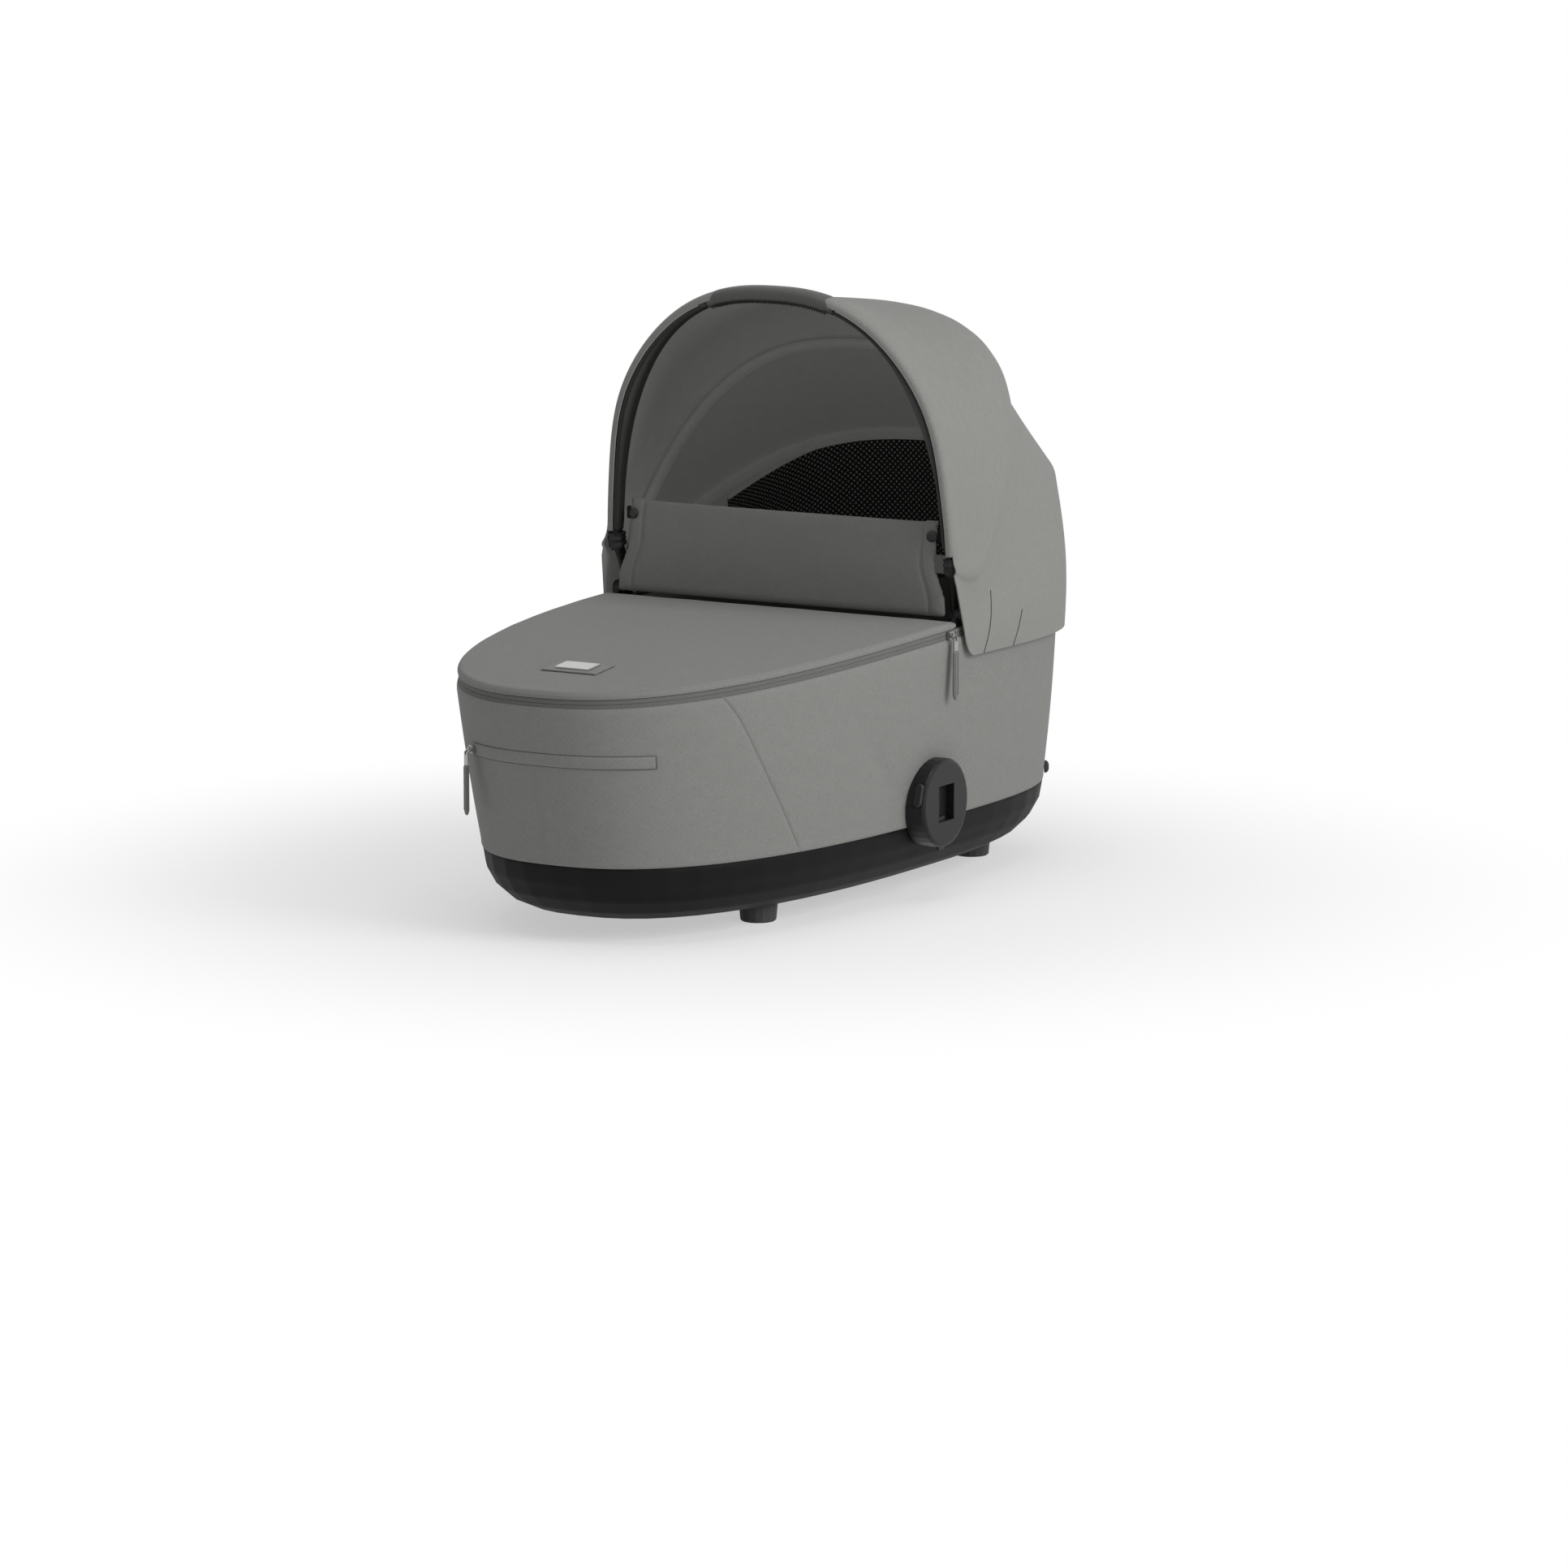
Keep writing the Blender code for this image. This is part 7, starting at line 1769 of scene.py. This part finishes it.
half_width, foot_y, head_y = side_sizes(0.0, MATTRESS_INSET)
half_length = (head_y - foot_y) / 2.0
outline = oval((half_width, foot_y, head_y))[::3]
centre = Vector((0.0, (foot_y + head_y) / 2.0, 0.0))
points = []
for share, height in MATTRESS_RINGS:
    for point in outline:
        place = centre.lerp(point, share)
        points.append(Vector((place.x, place.y, MATTRESS_BASE_Z + height)))
count = len(outline)
base = len(points)
for height in (MATTRESS_RINGS[0][1], MATTRESS_PEAK):
    points.append(centre + Vector((0.0, 0.0, MATTRESS_BASE_Z + height)))
faces = band_faces(len(MATTRESS_RINGS), count)
for low, high in zip(fan_faces(0, count, base), fan_faces(base - count, count, base + 1)):
    faces += [(low[1], low[0], low[2]), high]
mattress_pad = finish_mesh("mattress_pad", points, faces, mattress_fabric)
fill(mattress_pad, MATTRESS_VOXEL, MATTRESS_PUFF,
     lambda place: place.z < MATTRESS_BASE_Z + MATTRESS_HELD_HEIGHT)
for vertex in mattress_pad.data.vertices:
    flat = Vector((vertex.co.x, vertex.co.y - SHIFT, 0.0)) - centre
    outer = Vector((flat.x / half_width, flat.y / half_length, 0.0))
    reach = (abs(outer.x) ** CHANNEL_POWER + abs(outer.y) ** CHANNEL_POWER) ** (
        1.0 / CHANNEL_POWER)
    if vertex.co.z > MATTRESS_BASE_Z + CHANNEL_MIN_HEIGHT:
        vertex.co.z -= CHANNEL_SINK * bell(reach - CHANNEL_SHARE, CHANNEL_SPREAD)
    vertex.co.z = max(vertex.co.z, MATTRESS_BASE_Z + 0.0002)
subdivide(mattress_pad)
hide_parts("mattress")
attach(mattress_pad, "base")
print("mattress", len(mattress_pad.data.polygons), "faces")

# %% [markdown]
# ## Small soft trim
# Two straps on the front bow take the flap's snaps, two leather tabs hang from the zip pulls, a
# zipped pocket runs round the foot end, and a sewn leather patch carries a bare metal plate.


# %% Straps, tabs and patch
def strip_grid(start, along, across, up, length, width, thickness, rows, columns, tip=0.0):
    """A rounded strip as loops round its section, from start along its length."""
    loops = []
    for row in range(rows + 1):
        share = row / rows
        near = min(share, 1.0 - share) * length
        narrow = 1.0 - 0.12 * (1.0 - smooth(near / 0.0015))
        if tip and share > 1.0 - tip / length:
            narrow *= mix(1.0, 0.30, (share - (1.0 - tip / length)) * length / tip)
        flat = mix(0.55, 1.0, smooth(near / 0.0012))
        loop = []
        for step in range(columns):
            turn = 2.0 * math.pi * step / columns
            side = eased(math.cos(turn), 0.35)
            rise = eased(math.sin(turn), 0.7)
            loop.append(start + along * (length * share)
                        + across * (side * width / 2.0 * narrow)
                        + up * (rise * thickness / 2.0 * flat))
        loops.append(loop)
    return loops


def loops_piece(name, loops, finish):
    """A closed piece through loops with capped ends."""
    points = [point for loop in loops for point in loop]
    flat = [(point.x + point.y, point.z) for point in points]
    return finish_mesh(name, points, tube_faces(len(loops), len(loops[0])), finish, flat)


def own_box(node):
    """Low corner, high corner and middle of a CAD node; the middle in the maker's frame."""
    low, high = (Vector(corner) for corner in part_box(node))
    middle = (low + high) / 2.0
    middle.y -= SHIFT
    return low, high, middle


UP = Vector((0.0, 0.0, 1.0))
WELT_Z = 0.1832
WELT_HEIGHT = 0.0124
WELT_LEFT_REACH = 0.0925
WELT_RIGHT_REACH = 0.1216
WELT_SHARES = (0.0, 0.06, 0.16, 0.32, 0.5, 0.68, 0.82, 0.92, 1.0)
WELT_OUTS = (0.0006, 0.0010, 0.0014, 0.0016, 0.0017, 0.0018, 0.0018, 0.0016, 0.0010)
WELT_STEPS = 72
WELT_EDGES = (("pocket_low_shadow_line", -0.5, 0.0007, 0.0005), ("pocket_edge_high", 0.5, 0.0005, 0.0003))
STRAP_THICKNESS = 0.0016
TAB_WIDTH = 0.0088
TAB_THICKNESS = 0.0026
TAB_TIP = 0.0050
TAB_SEAM_X = 0.0030
TAB_STITCHES = 17
TAB_AXES = {"rim_zip_tab": Vector((-0.0140, -0.9999, 0.0)),
            "pocket_tab": Vector((-0.8668, 0.4986, 0.0))}


def side_place(turn, sign, z, out):
    """Point of the fabric side at a height, moved outward."""
    y = TOP_SIZES[1]
    for _ in range(3):
        level = (z - BAND_Z) / (rim_height(y) - COVER_TOP_DROP - BAND_Z)
        x, y = plan_place(turn, side_sizes(level, -out))
    return Vector((sign * x, y, z))


def side_run(z, out):
    """Points round the foot end from the pocket's left end to its right end."""
    turns = [turn for turn in HALF_TURNS if turn < 0.0]
    run = [side_place(turn, -1.0, z, out) for turn in reversed(turns)]
    run += [side_place(turn, 1.0, z, out) for turn in turns[1:]]
    middle = len(turns) - 1
    reach = [0.0] * len(run)
    for index in range(middle + 1, len(run)):
        reach[index] = reach[index - 1] + (run[index] - run[index - 1]).length
    for index in range(middle - 1, -1, -1):
        reach[index] = reach[index + 1] - (run[index + 1] - run[index]).length
    kept = [point for point, length in zip(run, reach)
            if -WELT_LEFT_REACH <= length <= WELT_RIGHT_REACH]
    return spaced(kept, WELT_STEPS)


welt_grid = [side_run(WELT_Z + WELT_HEIGHT * (0.5 - share), out)
             for share, out in zip(WELT_SHARES, WELT_OUTS)]
pocket_strip = cloth_piece("pocket_strip", welt_grid, 0.0012, body_fabric)
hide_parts("pocket_welt")
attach(pocket_strip, "base")
# Along the pocket strip, the dark cords at its lower edge and at its end are painted shadow cast by these
# edges. The cord along its top edge is a fainter dark line.
for cord_name, share, out, radius in WELT_EDGES:
    thin_cord(cord_name, side_run(WELT_Z + WELT_HEIGHT * share, out), UP, radius, thread_and_shadow_finish,
              "base")
thin_cord("pocket_end_shadow_line", [row[-1] for row in welt_grid], Vector((0.8, 0.6, 0.0)), 0.0004,
          thread_and_shadow_finish, "base")

for side, sign in (("right", 1.0), ("left", -1.0)):
    low, high, middle = own_box(f"snap_strap_{side}")
    start = Vector((low.x if sign > 0.0 else high.x, middle.y, middle.z))
    loops = strip_grid(start, Vector((sign, 0.0, 0.0)), UP, Vector((0.0, 1.0, 0.0)),
                       high.x - low.x, high.z - low.z, STRAP_THICKNESS, 14, 20)
    strap = loops_piece(f"snap_strap_tape_{side}", loops, tape_fabric)
    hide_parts(f"snap_strap_{side}")
    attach(strap, "front_bow")

for node, body in (("rim_zip_tab", "rim_pull"), ("pocket_tab", "pocket_pull")):
    low, high, middle = own_box(node)
    length = high.z - low.z
    across = TAB_AXES[node].normalized()
    outward = across.cross(UP).normalized()
    if outward.dot(Vector((middle.x, middle.y, 0.0))) < 0.0:
        outward = -outward
    start = Vector((middle.x, middle.y, high.z))
    loops = strip_grid(start, -UP, across, outward, length, TAB_WIDTH, TAB_THICKNESS, 40, 24,
                       TAB_TIP)
    tab = loops_piece(f"{node}_leather", loops, tab_leather)
    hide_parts(node)
    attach(tab, body)
    places = []
    for edge in (-TAB_SEAM_X, TAB_SEAM_X):
        for step in range(TAB_STITCHES):
            down = mix(0.003, length - 0.006, step / (TAB_STITCHES - 1))
            places.append(start + across * edge + outward * 0.0012 - UP * down)
    stitch_row(f"{node}_stitches", places, [UP] * len(places), [outward] * len(places),
               0.0018, 0.00045, thread_and_shadow_finish, body)
print("straps and tabs done")

# %% Patch
PATCH_COLUMNS = 40
PATCH_ROWS = 24
PATCH_LEATHER = 0.0011
PATCH_EDGE_DROP = 0.0006
PATCH_SEAM_SINK = 0.0003

low, high, _ = own_box("badge_patch")
half_x = (high.x - low.x) / 2.0
half_y = (high.y - low.y) / 2.0
centre_x = (low.x + high.x) / 2.0
centre_y = (low.y + high.y) / 2.0 - SHIFT
patch_grid = []
for row in range(PATCH_ROWS + 1):
    line = []
    for column in range(PATCH_COLUMNS + 1):
        u = 2.0 * column / PATCH_COLUMNS - 1.0
        v = 2.0 * row / PATCH_ROWS - 1.0
        near = min((1.0 - abs(u)) * half_x, (1.0 - abs(v)) * half_y)
        z = mix(low.z, high.z - PATCH_LEATHER, (v + 1.0) / 2.0) + PATCH_LEATHER
        z -= PATCH_EDGE_DROP * (1.0 - smooth(near / 0.0014))
        z -= PATCH_SEAM_SINK * bell(near - 0.0030, 0.0007)
        line.append(Vector((centre_x + u * half_x, centre_y + v * half_y, z)))
    patch_grid.append(line)
patch_cloth = cloth_piece("patch_leather_piece", patch_grid, -0.0009, patch_leather,
                          patch_leather, normals=[[-UP] * len(line) for line in patch_grid])
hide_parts("badge_patch")
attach(patch_cloth, "base")
